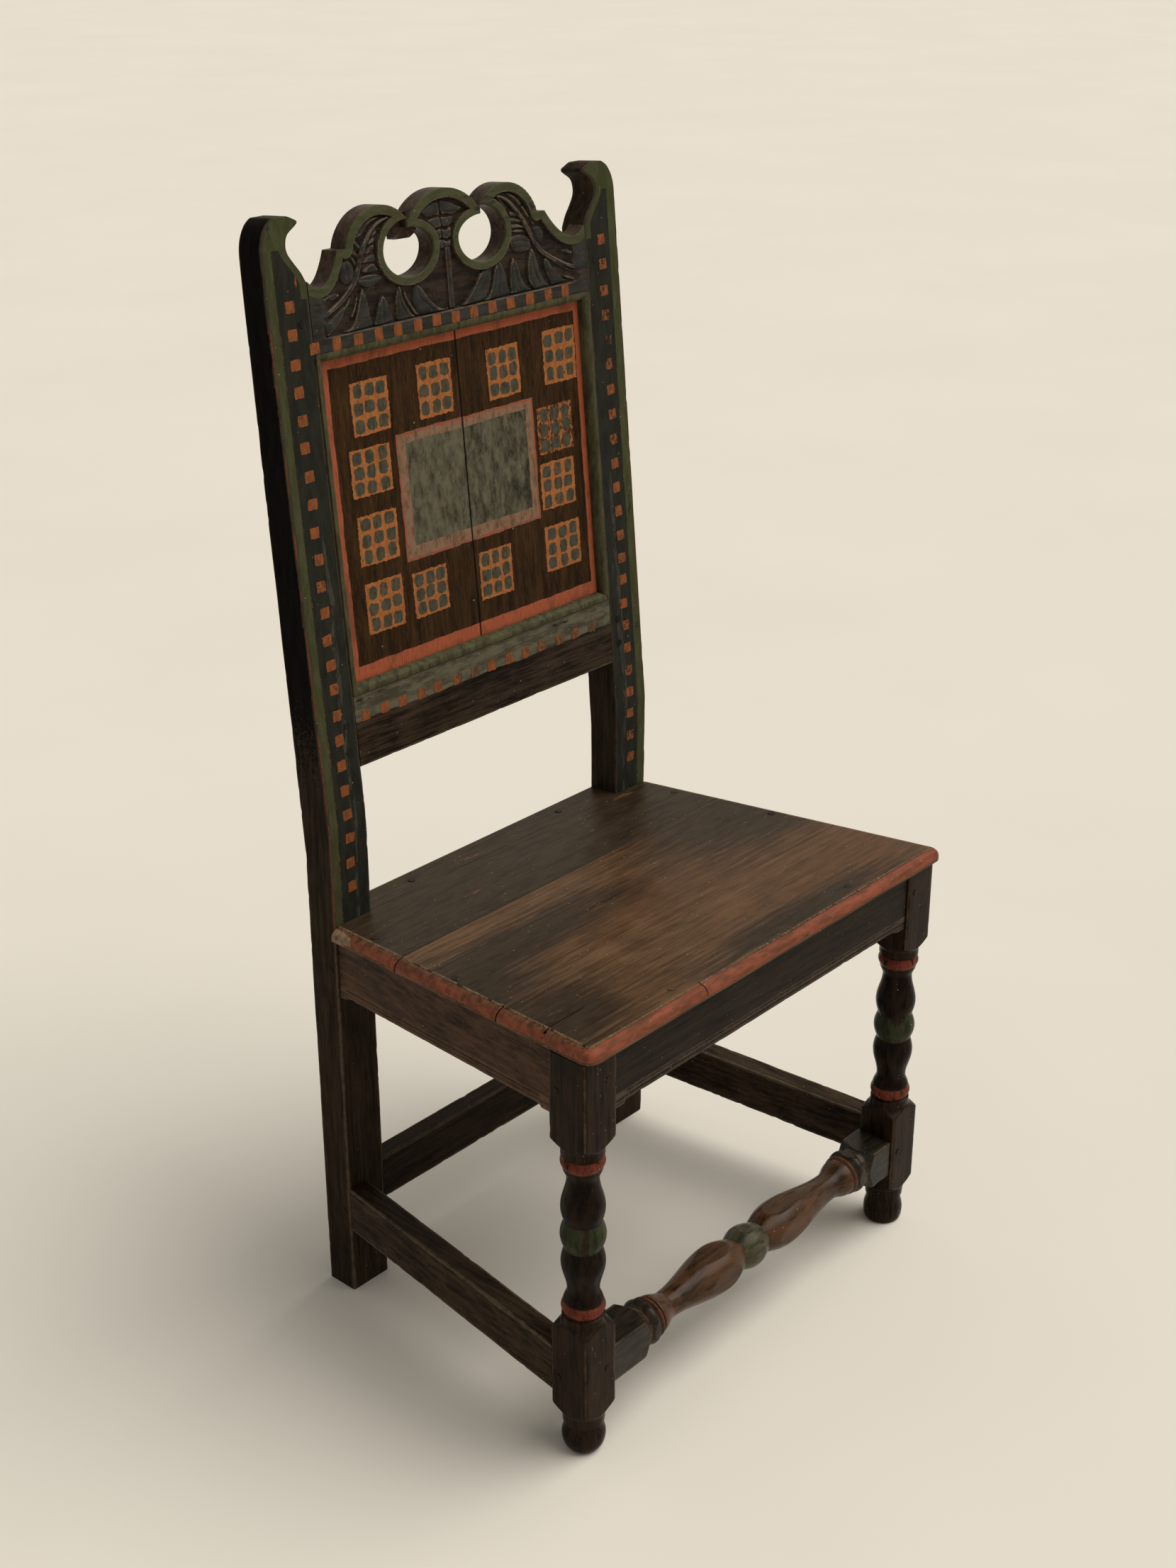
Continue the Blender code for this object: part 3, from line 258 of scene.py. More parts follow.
def closed_path(points: Path, steps: int) -> Array:
    """Smooth closed loop through points.

    Args:
        points: what it passes through.
        steps: points of each span, 1 for straight sides.

    Returns:
        The loop's points.
    """
    loop = np.array(points, float)
    if steps == 1:
        return loop
    return np.concatenate(curve_spans(np.concatenate((loop[-1:], loop, loop[:2])), steps))


def resample(loop: Array, spacing: float) -> Array:
    """Closed loop with its points spread evenly.

    Args:
        loop: flat points of the loop.
        spacing: about how far apart the new points are.

    Returns:
        The new points.
    """
    closed = np.concatenate((loop, loop[:1]))
    lengths = np.concatenate(((0.0,), np.cumsum(np.linalg.norm(np.diff(closed, axis=0), axis=1))))
    count = max(8, int(round(lengths[-1] / spacing)))
    at = np.arange(count) * lengths[-1] / count
    return np.stack([np.interp(at, lengths, closed[:, axis]) for axis in range(2)], axis=1)


def swell(start: float, end: float, first: float, last: float, steps: int) -> Profile:
    """S-curve of a turning between two radii.

    Args:
        start: distance along the axis where it starts.
        end: distance where it ends.
        first: radius at its start.
        last: radius at its end.
        steps: count of points.

    Returns:
        Its points (distance, radius), without the last.
    """
    shares = [step / steps for step in range(steps)]
    return [(start + (end - start) * share, first + (last - first) * (1 - math.cos(math.pi * share)) / 2)
            for share in shares]


def bead(start: float, end: float, foot: float, crown: float, steps: int) -> Profile:
    """Round bead of a turning between two pinches.

    Args:
        start: distance along the axis where it starts.
        end: distance where it ends.
        foot: radius at both pinches.
        crown: radius at its middle.
        steps: count of points.

    Returns:
        Its points (distance, radius), without the last.
    """
    shares = [step / steps for step in range(steps)]
    return [(start + (end - start) * share, foot + (crown - foot) * math.sin(math.pi * share))
            for share in shares]


def half_bead(half: float, pinch: float, crown: float, steps: int) -> Profile:
    """Outer half of a bead about the middle of a turning, with its points counted over the whole bead."""
    points = bead(0.0, 2 * half, pinch, crown, steps)
    return [(distance - half, radius) for distance, radius in points if distance >= half]


def segment_distance(points: Array, path: Array) -> tuple[Array, Array, Array]:
    """How points lie beside an open path.

    Args:
        points: flat points.
        path: flat points of the path.

    Returns:
        The distance, the share of the path's length and the side, -1 or 1, of each point.
    """
    start = path[:-1]
    step = np.diff(path, axis=0)
    length = np.linalg.norm(step, axis=1)
    run = np.concatenate(((0.0,), np.cumsum(length)))
    offset = points[:, None, :] - start[None]
    along = np.clip((offset * step).sum(axis=2) / length ** 2, 0.0, 1.0)
    gap = offset - along[..., None] * step[None]
    distance = np.linalg.norm(gap, axis=2)
    nearest = distance.argmin(axis=1)
    rows = np.arange(len(points))
    share = (run[nearest] + along[rows, nearest] * length[nearest]) / run[-1]
    chosen = step[nearest]
    cross = chosen[:, 0] * gap[rows, nearest, 1] - chosen[:, 1] * gap[rows, nearest, 0]
    return distance[rows, nearest], share, np.where(cross < 0, -1.0, 1.0)


def loop_distance(places: Array, loop: Array) -> tuple[Array, Array]:
    """How flat places lie to a closed loop.

    Args:
        places: where it is wanted.
        loop: the loop's points.

    Returns:
        The distance to the loop, and whether the place is inside it.
    """
    after = np.roll(loop, -1, axis=0)
    step = after - loop
    offset = places[:, None, :] - loop[None]
    along = np.clip((offset * step).sum(axis=2) / np.maximum((step ** 2).sum(axis=1), 1e-12), 0.0, 1.0)
    distance = np.linalg.norm(offset - along[..., None] * step[None], axis=2).min(axis=1)
    low, high = np.minimum(loop[:, 1], after[:, 1]), np.maximum(loop[:, 1], after[:, 1])
    level = places[:, 1][:, None]
    rise = np.where(step[:, 1] == 0.0, 1.0, step[:, 1])
    at = loop[:, 0] + (level - loop[:, 1]) * step[:, 0] / rise
    crosses = (level > low) & (level <= high) & (places[:, 0][:, None] < at)
    return distance, crosses.sum(axis=1) % 2 == 1


def nearest(places: Array, line: Array) -> Array:
    """Distances from flat places to the nearest point of a line.

    Args:
        places: where they are wanted.
        line: the line's points.

    Returns:
        One distance for each place.
    """
    tree = KDTree(len(line))
    for i, point in enumerate(line):
        tree.insert((*point, 0.0), i)
    tree.balance()
    return np.array([tree.find((*point, 0.0))[2] for point in places])


# Meshes

@dataclass
class Draft:
    """Points, faces and measured zones of a piece before it becomes an object."""

    points: Array
    faces: Faces
    values: dict[str, Array] = field(default_factory=dict)

    def joined(self, other: "Draft") -> "Draft":
        """Two drafts as one.

        Args:
            other: the draft that is added.

        Returns:
            The whole, unpainted where only one of the two has a zone.
        """
        shift = len(self.points)
        faces = self.faces + [tuple(i + shift for i in face) for face in other.faces]
        values = {}
        for key in sorted(set(self.values) | set(other.values)):
            mine = self.values.get(key, np.full(shift, UNPAINTED))
            theirs = other.values.get(key, np.full(len(other.points), UNPAINTED))
            values[key] = np.concatenate((mine, theirs))
        return Draft(np.concatenate((self.points, other.points)), faces, values)


def loft(rings: Array, values: dict[str, Array]) -> Draft:
    """Closed skin through rings of points.

    Args:
        rings: stations by points by three coordinates.
        values: measured zones, stations by points.

    Returns:
        The skin with a fan of faces on both ends.
    """
    count, size = rings.shape[:2]
    centres = np.stack((rings[0].mean(axis=0), rings[-1].mean(axis=0)))
    points = np.concatenate((rings.reshape(-1, 3), centres))
    first = np.arange(size)
    second = np.roll(first, -1)
    base = (np.arange(count - 1) * size)[:, None]
    quads = np.stack((first + base, second + base, second + base + size, first + base + size), axis=2)
    faces = [tuple(quad) for quad in quads.reshape(-1, 4).tolist()]
    start = count * size
    last = start - size
    faces += [(start, b, a) for a, b in zip(first.tolist(), second.tolist())]
    faces += [(start + 1, a + last, b + last) for a, b in zip(first.tolist(), second.tolist())]
    flat = {}
    for key, value in values.items():
        ends = (value[0].mean(), value[-1].mean())
        flat[key] = np.concatenate((value.reshape(-1), ends))
    return Draft(points, faces, flat)


def worn_bar(corners: Array, radii: Array, spans: tuple[int, ...], arcs: int = 3) -> Draft:
    """Bar whose section is a polygon with worn, rounded corners.

    Args:
        corners: stations by corners by three coordinates.
        radii: how far each corner is worn back, stations by corners.
        spans: faces across each side of the section.
        arcs: faces round each corner.

    Returns:
        The bar, with its arrises measured as "wear".
    """
    count = corners.shape[1]
    before = np.roll(corners, 1, axis=1) - corners
    after = np.roll(corners, -1, axis=1) - corners
    back = np.linalg.norm(before, axis=2)
    ahead = np.linalg.norm(after, axis=2)
    size = np.minimum(radii, 0.45 * np.minimum(back, ahead))[..., None]
    start = corners + before / back[..., None] * size
    end = corners + after / ahead[..., None] * size
    columns = []
    wear = []
    for i in range(count):
        for step in range(arcs + 1):
            t = step / arcs
            columns.append((1 - t) ** 2 * start[:, i] + 2 * t * (1 - t) * corners[:, i] + t * t * end[:, i])
            wear.append(np.ones(len(corners)))
        target = start[:, (i + 1) % count]
        width = np.linalg.norm(target - end[:, i], axis=1)
        for step in range(1, spans[i]):
            t = step / spans[i]
            columns.append(end[:, i] * (1 - t) + target * t)
            wear.append(np.exp(-width * min(t, 1 - t) / (2.5 * MM)))
    return loft(np.stack(columns, axis=1), {"wear": np.stack(wear, axis=1)})


@dataclass(frozen=True)
class Weather:
    """How far surfaces wave and how deep arrises are chipped."""

    wave: float = 0.12 * MM
    size: Colour = (0.05, 0.05, 0.05)
    chip: float = 0.5 * MM
    seed: int = 1

    def apply(self, mesh: bpy.types.Mesh, wear: Array) -> None:
        """Move a mesh's points along their normals.

        Args:
            mesh: what is weathered.
            wear: how exposed each point is, from 0 to 1.
        """
        places = np.empty(len(mesh.vertices) * 3)
        normals = np.empty_like(places)
        mesh.vertices.foreach_get("co", places)
        mesh.vertices.foreach_get("normal", normals)
        points = places.reshape(-1, 3)
        shift = self.wave * ripple(points, self.size, self.seed, 3)
        if self.chip:
            bite = ease(ripple(points, 0.011, self.seed + 7, 3), 0.05, 0.7)
            shift -= self.chip * np.clip(wear, 0.0, 1.0) ** 2 * bite
        mesh.vertices.foreach_set("co", (points + normals.reshape(-1, 3) * shift[:, None]).reshape(-1))


def uneven(corners: Array, size: float | Colour, seed: int) -> Array:
    """Noise from -1 to 1 for the corners of a bar at its stations."""
    return ripple(corners.reshape(-1, 3), size, seed, 3).reshape(corners.shape[:2])


def bar_corners(*corners: tuple[object, object, object]) -> Array:
    """Stations by corners by three coordinates, from x, y and z of each corner."""
    return np.stack([np.column_stack(np.broadcast_arrays(*corner)) for corner in corners], axis=1)


def put(name: str, data: object) -> Piece:
    """New object in the scene.

    Args:
        name: its name.
        data: its mesh, light or camera.

    Returns:
        The object.
    """
    made = bpy.data.objects.new(name, data)
    bpy.context.scene.collection.objects.link(made)
    return made


def build_object(draft: Draft, name: str, sharp: float) -> Piece:
    """Object with outward faces and the draft's zones as attributes.

    Args:
        draft: its shape.
        name: its name.
        sharp: angle in degrees over which an edge shows as sharp.

    Returns:
        The object.
    """
    mesh = bpy.data.meshes.new(name)
    mesh.from_pydata(draft.points.tolist(), [], draft.faces)
    work = bmesh.new()
    work.from_mesh(mesh)
    bmesh.ops.recalc_face_normals(work, faces=work.faces[:])
    work.to_mesh(mesh)
    work.free()
    mesh.polygons.foreach_set("use_smooth", np.ones(len(mesh.polygons), bool))
    mesh.set_sharp_from_angle(angle=math.radians(sharp))
    for key, value in draft.values.items():
        mesh.attributes.new(key, "FLOAT", "POINT").data.foreach_set("value", value.astype(np.float32))
    return put(name, mesh)


def make_piece(draft: Draft, name: str, finish: "Finish", nodes: tuple[str, ...],
               weather: Weather, sharp: float = 38.0) -> None:
    """Make a finished piece that rides with the chair.

    Args:
        draft: its shape.
        name: its name.
        finish: what it is dressed with.
        nodes: the CAD nodes that it stands for.
        weather: how its surfaces are worn.
        sharp: angle in degrees over which an edge shows as sharp.
    """
    for zone in finish.zones():
        draft.values.setdefault(zone, np.full(len(draft.points), UNPAINTED))
    draft.values.setdefault("wear", np.zeros(len(draft.points)))
    piece = build_object(draft, name, sharp)
    weather.apply(piece.data, draft.values["wear"])
    piece.data.materials.append(finish.material())
    if nodes:
        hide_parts(*nodes)
    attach(piece, "root")
    LOG.info("%s: %d faces", name, len(piece.data.polygons))


# Finishes

class NodeTree:
    """Nodes and links of one tree."""

    def __init__(self, tree: bpy.types.NodeTree) -> None:
        """Keep the tree's nodes and links."""
        self.nodes = tree.nodes
        self.links = tree.links

    def add(self, kind: str, sockets: dict | None = None, **settings: object) -> bpy.types.Node:
        """Add a node.

        Args:
            kind: its type.
            sockets: what its inputs are fed with, by name or by number.
            settings: its own settings.

        Returns:
            The node.
        """
        node = self.nodes.new(kind)
        for key, value in settings.items():
            setattr(node, key, value)
        for key, value in (sockets or {}).items():
            self.feed(node.inputs[key], value)
        return node

    def out(self, kind: str, sockets: dict | None = None, **settings: object) -> Socket:
        """First output of a new node."""
        return self.add(kind, sockets, **settings).outputs[0]

    def feed(self, socket: Socket, value: object) -> None:
        """Feed an input.

        Args:
            socket: the input.
            value: the output to link to it, or its constant.
        """
        if isinstance(value, Socket):
            self.links.new(value, socket)
        elif socket.type == "RGBA":
            socket.default_value = (*value, 1.0)
        else:
            socket.default_value = value

    def math(self, operation: str, first: object, second: object = 0.0) -> Socket:
        """Result of an operation on two values."""
        return self.out("ShaderNodeMath", {0: first, 1: second}, operation=operation)

    def times(self, first: object, second: object) -> Socket:
        """Product of two values."""
        return self.math("MULTIPLY", first, second)


class Graph(NodeTree):
    """Node tree of one material, with a method for each step that the finishes use."""

    def __init__(self, name: str) -> None:
        """Start a material with its shader and the object's own coordinates.

        Args:
            name: the material's name.
        """
        self.material = bpy.data.materials.new(name)
        self.material.use_nodes = True
        super().__init__(self.material.node_tree)
        self.shader = self.nodes["Principled BSDF"]
        self.place = self.add("ShaderNodeTexCoord").outputs["Object"]

    def noise(self, scale: float, stretch: Colour = EVEN, detail: float = 4.0, rough: float = 0.6,
              shift: float = 0.0) -> Socket:
        """Noise in the object's coordinates.

        Args:
            scale: how fine it is.
            stretch: how it is drawn out along each axis, most where the number is small.
            detail: how many finer layers it has.
            rough: how strong those are.
            shift: which part of the noise is used.

        Returns:
            Its value, from 0 to 1.
        """
        place = self.out("ShaderNodeMapping", {"Vector": self.place, "Scale": stretch,
                                               "Location": (shift, 2 * shift, 3 * shift)})
        return self.out("ShaderNodeTexNoise", {"Vector": place, "Scale": scale, "Detail": detail,
                                               "Roughness": rough})

    def step(self, value: object, low: object, high: object, start: float = 0.0,
             end: float = 1.0) -> Socket:
        """Smooth step of a value between two levels."""
        levels = {"Value": value, "From Min": low, "From Max": high, "To Min": start, "To Max": end}
        return self.out("ShaderNodeMapRange", levels, interpolation_type="SMOOTHSTEP")

    def mix(self, share: object, first: object, second: object) -> Socket:
        """Colour between two colours."""
        return self.add("ShaderNodeMix", {0: share, 6: first, 7: second}, data_type="RGBA").outputs[2]

    def tint(self, colour: Socket, mask: object, strength: object, over: object) -> Socket:
        """Colour covered by another as far as a mask times a strength says."""
        return self.mix(self.times(mask, strength), colour, over)

    def weighted(self, *terms: tuple[Socket, float]) -> Socket:
        """Weighted sum.

        Args:
            terms: each value and its weight.

        Returns:
            The sum of the values times their weights.
        """
        total, *rest = [self.times(value, weight) for value, weight in terms]
        for part in rest:
            total = self.math("ADD", total, part)
        return total

    def attribute(self, name: str) -> Socket:
        """One of the mesh's measured zones."""
        return self.add("ShaderNodeAttribute", attribute_name=name).outputs["Fac"]

    def specks(self, scale: float, share: float, size: float) -> Socket:
        """Small round specks.

        Args:
            scale: cells in a metre.
            share: share of the cells that have a speck.
            size: the largest speck's radius as a share of its cell.

        Returns:
            Their mask.
        """
        cells = self.add("ShaderNodeTexVoronoi", {"Vector": self.place, "Scale": scale})
        parts = self.add("ShaderNodeSeparateColor", {0: cells.outputs["Color"]})
        chosen = self.step(parts.outputs[0], 1 - share, 1 - share + 0.01)
        radius = self.times(parts.outputs[1], size)
        return self.times(chosen, self.math("LESS_THAN", cells.outputs["Distance"], radius))

    def band(self, value: object, low: float, high: float, soft: float) -> Socket:
        """Mask that is 1 between two levels, with soft edges."""
        rise = self.step(value, low - soft, low + soft)
        return self.times(rise, self.step(value, high - soft, high + soft, 1.0, 0.0))

    def close(self, colour: object, roughness: object, height: object, relief: float,
              shine: float = 0.4) -> bpy.types.Material:
        """Feed the shader.

        Args:
            colour: base colour.
            roughness: how dull it is.
            height: height of the fine relief, from 0 to 1.
            relief: depth of the fine relief.
            shine: specular level.

        Returns:
            The material.
        """
        self.feed(self.shader.inputs["Base Color"], colour)
        self.feed(self.shader.inputs["Roughness"], roughness)
        self.feed(self.shader.inputs["Specular IOR Level"], shine)
        bump = self.out("ShaderNodeBump", {"Height": height, "Strength": 0.6, "Distance": relief})
        self.feed(self.shader.inputs["Normal"], bump)
        return self.material


class Grain(Enum):
    """Direction of the oak's grain, as how its figure is drawn out along each axis."""

    ACROSS = (0.06, 1.0, 1.0)
    DEEP = (1.0, 0.06, 1.0)
    UPRIGHT = (1.0, 1.0, 0.06)


@dataclass(frozen=True)
class Finish:
    """What every finish has: a name and a material that is made once."""

    name: str

    def zones(self) -> tuple[str, ...]:
        """Measured zones that the finish reads."""
        return ()

    def material(self) -> bpy.types.Material:
        """The finish's material."""
        return bpy.data.materials.get(self.name) or self.draw(Graph(self.name))

    def draw(self, graph: Graph) -> bpy.types.Material:
        """Draw the nodes."""
        raise NotImplementedError


@dataclass(frozen=True)
class Coat:
    """Old paint over a zone that is measured in millimetres from its edge, positive inside.

    The coat is gone where a noise is above holds, and on arrises as far as rubbed says.
    """

    zone: str
    colour: Colour
    tint: Colour
    ragged: float = 0.5
    holds: float = 0.62
    rubbed: float = 0.6
    patch: float = 60.0
    streaked: bool = False
    soft: float = 0.3
    strength: float = 1.0


@dataclass(frozen=True)
class OakFinish(Finish):
    """Aged oak, with its figure, pale worn arrises, coats of paint and specks."""

    dark: Colour = (0.016, 0.011, 0.008)
    light: Colour = (0.075, 0.045, 0.028)
    worn: Colour = (0.16, 0.115, 0.080)
    grain: Grain = Grain.UPRIGHT
    gloss: float = 0.42
    relief: float = 0.35 * MM
    shine: float = 0.045
    contrast: float = 0.16
    wear: float = 0.5
    speck: float = 0.06
    coats: tuple[Coat, ...] = ()

    def zones(self) -> tuple[str, ...]:
        """Zones of the coats."""
        return tuple(coat.zone for coat in self.coats)

    def draw(self, graph: Graph) -> bpy.types.Material:
        """Figure, wear, coats and specks.

        Args:
            graph: the material's nodes.

        Returns:
            The material.
        """
        stretch = self.grain.value
        fibre = graph.noise(620.0, stretch, 5.0, 0.72)
        streak = graph.noise(190.0, stretch, 5.0, 0.66, 0.3)
        patina = graph.noise(22.0, shift=0.7)
        tone = graph.weighted((fibre, 0.45), (streak, 0.55), (patina, 0.3))
        figure = graph.step(tone, 0.65 - self.contrast, 0.65 + self.contrast)
        colour = graph.mix(figure, self.dark, self.light)
        pores = graph.step(fibre, 0.62, 0.72)
        colour = graph.tint(colour, pores, 0.55, BLACK)
        scuff = graph.noise(95.0, EVEN, 5.0, 0.7, 1.3)
        rub = graph.weighted((graph.attribute("wear"), 0.75), (scuff, 0.8))
        colour = graph.tint(colour, graph.step(rub, 0.86, 1.24), self.wear, self.worn)
        for number, coat in enumerate(self.coats):
            colour = self.lay(graph, coat, number, colour, rub)
        colour = graph.tint(colour, graph.specks(280.0, self.speck, 0.2), 0.5, DUST)
        gloss = graph.math("ADD", self.gloss - 0.12, graph.times(patina, 0.28))
        gloss = graph.math("ADD", gloss, graph.times(pores, 0.2))
        height = graph.weighted((fibre, 0.5), (streak, 0.5))
        return graph.close(colour, gloss, height, self.relief, self.shine)

    def lay(self, graph: Graph, coat: Coat, number: int, colour: Socket, rub: Socket) -> Socket:
        """One coat over a colour.

        Args:
            graph: the material's nodes.
            coat: what is laid.
            number: its place in the order of the coats.
            colour: what is under it.
            rub: how far each place is rubbed.

        Returns:
            The colour with the coat on it.
        """
        stretch = self.grain.value
        gentle = tuple(max(part, 0.25) for part in stretch)
        seed = 2.1 + number * 1.7
        fine = (230.0, stretch, 5.0) if coat.streaked else (420.0, EVEN, 3.0)
        edge = graph.math("SUBTRACT", graph.noise(*fine, 0.6, seed), 0.5)
        inside = graph.math("ADD", graph.attribute(coat.zone), graph.times(edge, 4.0 * coat.ragged))
        cover = graph.step(inside, -coat.soft, coat.soft, 0.0, coat.strength)
        patches = graph.noise(coat.patch, gentle, 6.0, 0.68, seed + 0.6)
        loss = graph.step(patches, coat.holds, coat.holds + 0.05)
        bare = graph.times(graph.step(rub, 0.88, 1.12), coat.rubbed)
        left = graph.math("SUBTRACT", 1.0, graph.math("MAXIMUM", loss, bare))
        mottle = graph.step(graph.noise(130.0, gentle, 5.0, 0.7, seed + 1.1), 0.38, 0.64)
        return graph.tint(colour, cover, left, graph.mix(mottle, coat.colour, coat.tint))


@dataclass(frozen=True)
class PanelFinish(Finish):
    """Streaked red-brown ground of the panel, with its red border and framed middle.

    A texture is what the noise is given: scale, stretch, detail, roughness and shift.
    """

    low: Colour = (0.013, 0.0060, 0.0024)
    high: Colour = (0.054, 0.0265, 0.0092)
    fleck: Colour = (0.13, 0.071, 0.028)
    border: Box = (-0.168, 0.171, 0.1475, 0.4362)
    frame_outer: Box = (-0.091, 0.101, 0.2335, 0.3595)
    frame_inner: Box = (-0.078, 0.090, 0.2475, 0.3495)
    rim_width: float = 2.6 * MM
    edge_soft: float = 0.5 * MM
    wander: float = 4.0 * MM
    red: Colour = RED
    red_stain: Colour = (0.15, 0.055, 0.03)
    pink: Colour = (0.235, 0.138, 0.084)
    pink_worn: Colour = (0.125, 0.064, 0.037)
    rim: Colour = (0.30, 0.075, 0.042)
    middle: Colour = (0.126, 0.116, 0.074)
    middle_dark: Colour = (0.026, 0.022, 0.0145)
    middle_worn: tuple[float, float] = (-0.01, 0.09)
    scratch: Colour = (0.010, 0.006, 0.004)
    plain: tuple[Colour, Colour] = ((0.012, 0.0075, 0.0045), (0.075, 0.046, 0.026))
    speck: Colour = (0.4, 0.36, 0.3)
    streaks: Texture = (150.0, (1.0, 1.0, 0.055), 6.0, 0.74, 0.0)
    flecks: Texture = (520.0, (1.0, 1.0, 0.13), 5.0, 0.72, 3.1)
    blotches: Texture = (28.0, (1.0, 1.0, 0.5), 5.0, 0.65, 0.9)
    rubbing: Texture = (150.0, (1.0, 1.0, 0.5), 6.0, 0.72, 4.2)
    strokes: Texture = (105.0, (1.0, 1.0, 0.42), 8.0, 0.76, 1.9)
    scratches: Texture = (700.0, (1.0, 1.0, 0.11), 4.0, 0.66, 2.4)
    relief: float = 0.25 * MM
    shine: float = 0.045

    def zones(self) -> tuple[str, ...]:
        """The painted face, and the joint between the boards as grime."""
        return ("face", "grime")

    def inside(self, graph: Graph, axes: tuple[Socket, Socket], box: Box, wobble: Socket) -> Socket:
        """Rectangle on the panel with slightly uneven edges.

        Args:
            graph: the material's nodes.
            axes: distance across and level.
            box: left, right, low and high side.
            wobble: how far the edges wander.

        Returns:
            Its mask.
        """
        across = graph.math("ADD", axes[0], wobble)
        up = graph.math("ADD", axes[1], wobble)
        return graph.times(graph.band(across, box[0], box[1], self.edge_soft),
                           graph.band(up, box[2], box[3], self.edge_soft))

    def shrunk(self, inset: float) -> Box:
        """The frame's outer rectangle drawn in."""
        left, right, low, high = self.frame_outer
        return left + inset, right - inset, low + inset, high - inset

    def ground(self, graph: Graph, tone: Socket) -> Socket:
        """Streaked ground with its flecks.

        Args:
            graph: the material's nodes.
            tone: how light the wood's figure is.

        Returns:
            Its colour.
        """
        ground = graph.mix(graph.step(tone, 0.36, 0.66), self.low, self.high)
        flecks = graph.step(graph.noise(*self.flecks), 0.58, 0.72)
        return graph.tint(ground, flecks, 0.55, self.fleck)

    def framed(self, graph: Graph, colour: Socket, axes: tuple[Socket, Socket], wobble: Socket,
               blotch: Socket) -> Socket:
        """Pink frame with its red rim, and the grey middle in it.

        Args:
            graph: the material's nodes.
            colour: what is under them.
            axes: distance across and level.
            wobble: how far the edges wander.
            blotch: noise of the large blotches.

        Returns:
            The colour with the frame on it.
        """
        rubbed = graph.noise(*self.rubbing)
        pink = graph.mix(graph.step(rubbed, 0.44, 0.68), self.pink, self.pink_worn)
        outer = self.inside(graph, axes, self.frame_outer, wobble)
        colour = graph.mix(outer, colour, pink)
        within = self.inside(graph, axes, self.shrunk(self.rim_width), wobble)
        rim = graph.math("SUBTRACT", outer, within)
        colour = graph.tint(colour, rim, graph.step(rubbed, 0.58, 0.46), self.rim)
        worn = graph.times(graph.step(axes[0], *self.middle_worn), graph.step(blotch, 0.38, 0.60))
        stroke = graph.math("ADD", graph.noise(*self.strokes), graph.times(worn, 0.10))
        grey = graph.mix(graph.step(stroke, 0.38, 0.70), self.middle, self.middle_dark)
        return graph.mix(self.inside(graph, axes, self.frame_inner, wobble), colour, grey)

    def draw(self, graph: Graph) -> bpy.types.Material:
        """Ground, border, frame and grime.

        Args:
            graph: the material's nodes.

        Returns:
            The material.
        """
        parts = graph.add("ShaderNodeSeparateXYZ", {0: graph.place})
        foot = BEND_HEIGHT - PANEL_RECESS * math.sin(RAKE)
        level = graph.math("DIVIDE", graph.math("SUBTRACT", parts.outputs[2], foot), math.cos(RAKE))
        axes = (parts.outputs[0], level)
        wobble = graph.times(graph.math("SUBTRACT", graph.noise(45.0, detail=3.0), 0.5), self.wander)
        fibre = graph.noise(900.0, Grain.UPRIGHT.value)
        tone = graph.weighted((graph.noise(*self.streaks), 0.7), (fibre, 0.3))
        blotch = graph.noise(*self.blotches)
        red = graph.mix(graph.step(fibre, 0.44, 0.80), self.red, RED_BROWN)
        red = graph.tint(red, graph.step(blotch, 0.52, 0.62), 0.65, self.red_stain)
        colour = graph.mix(self.inside(graph, axes, self.border, wobble), red, self.ground(graph, tone))
        colour = self.framed(graph, colour, axes, wobble, blotch)
        scratched = graph.step(graph.noise(*self.scratches), 0.60, 0.70)
        colour = graph.tint(colour, scratched, 0.6, self.scratch)
        plain = graph.mix(graph.step(tone, 0.30, 0.70), *self.plain)
        colour = graph.mix(graph.step(graph.attribute("face"), -1.0, 1.0), plain, colour)
        grime = graph.math("ADD", graph.attribute("grime"), graph.times(wobble, 300.0))
        colour = graph.tint(colour, graph.step(grime, -1.2, 0.4), 0.92, BLACK)
        colour = graph.tint(colour, graph.specks(170.0, 0.05, 0.15), 0.6, self.speck)
        gloss = graph.math("ADD", 0.42, graph.times(blotch, 0.25))
        return graph.close(colour, gloss, tone, self.relief, self.shine)


@dataclass(frozen=True)
class MarkFinish(Finish):
    """Paint of the small marks, rubbed through to what is under it as far as each mark has faded."""

    paint: Colour = ORANGE
    dull: Colour = ORANGE_DULL
    under: Colour = (0.050, 0.025, 0.011)

    def draw(self, graph: Graph) -> bpy.types.Material:
        """Paint and the places where it is gone.

        Args:
            graph: the material's nodes.

        Returns:
            The material.
        """
        mottle = graph.noise(240.0, (1.0, 1.0, 0.4), 5.0, 0.7)
        paint = graph.mix(graph.step(mottle, 0.38, 0.66), self.paint, self.dull)
        loss = graph.noise(330.0, (1.0, 1.0, 0.5), 5.0, 0.72, 1.4)
        level = graph.math("SUBTRACT", 0.66, graph.times(graph.attribute("fade"), 0.32))
        gone = graph.step(graph.math("SUBTRACT", loss, level), -0.03, 0.06)
        colour = graph.mix(gone, paint, self.under)
        return graph.close(colour, 0.58, mottle, 0.12 * MM, 0.045)


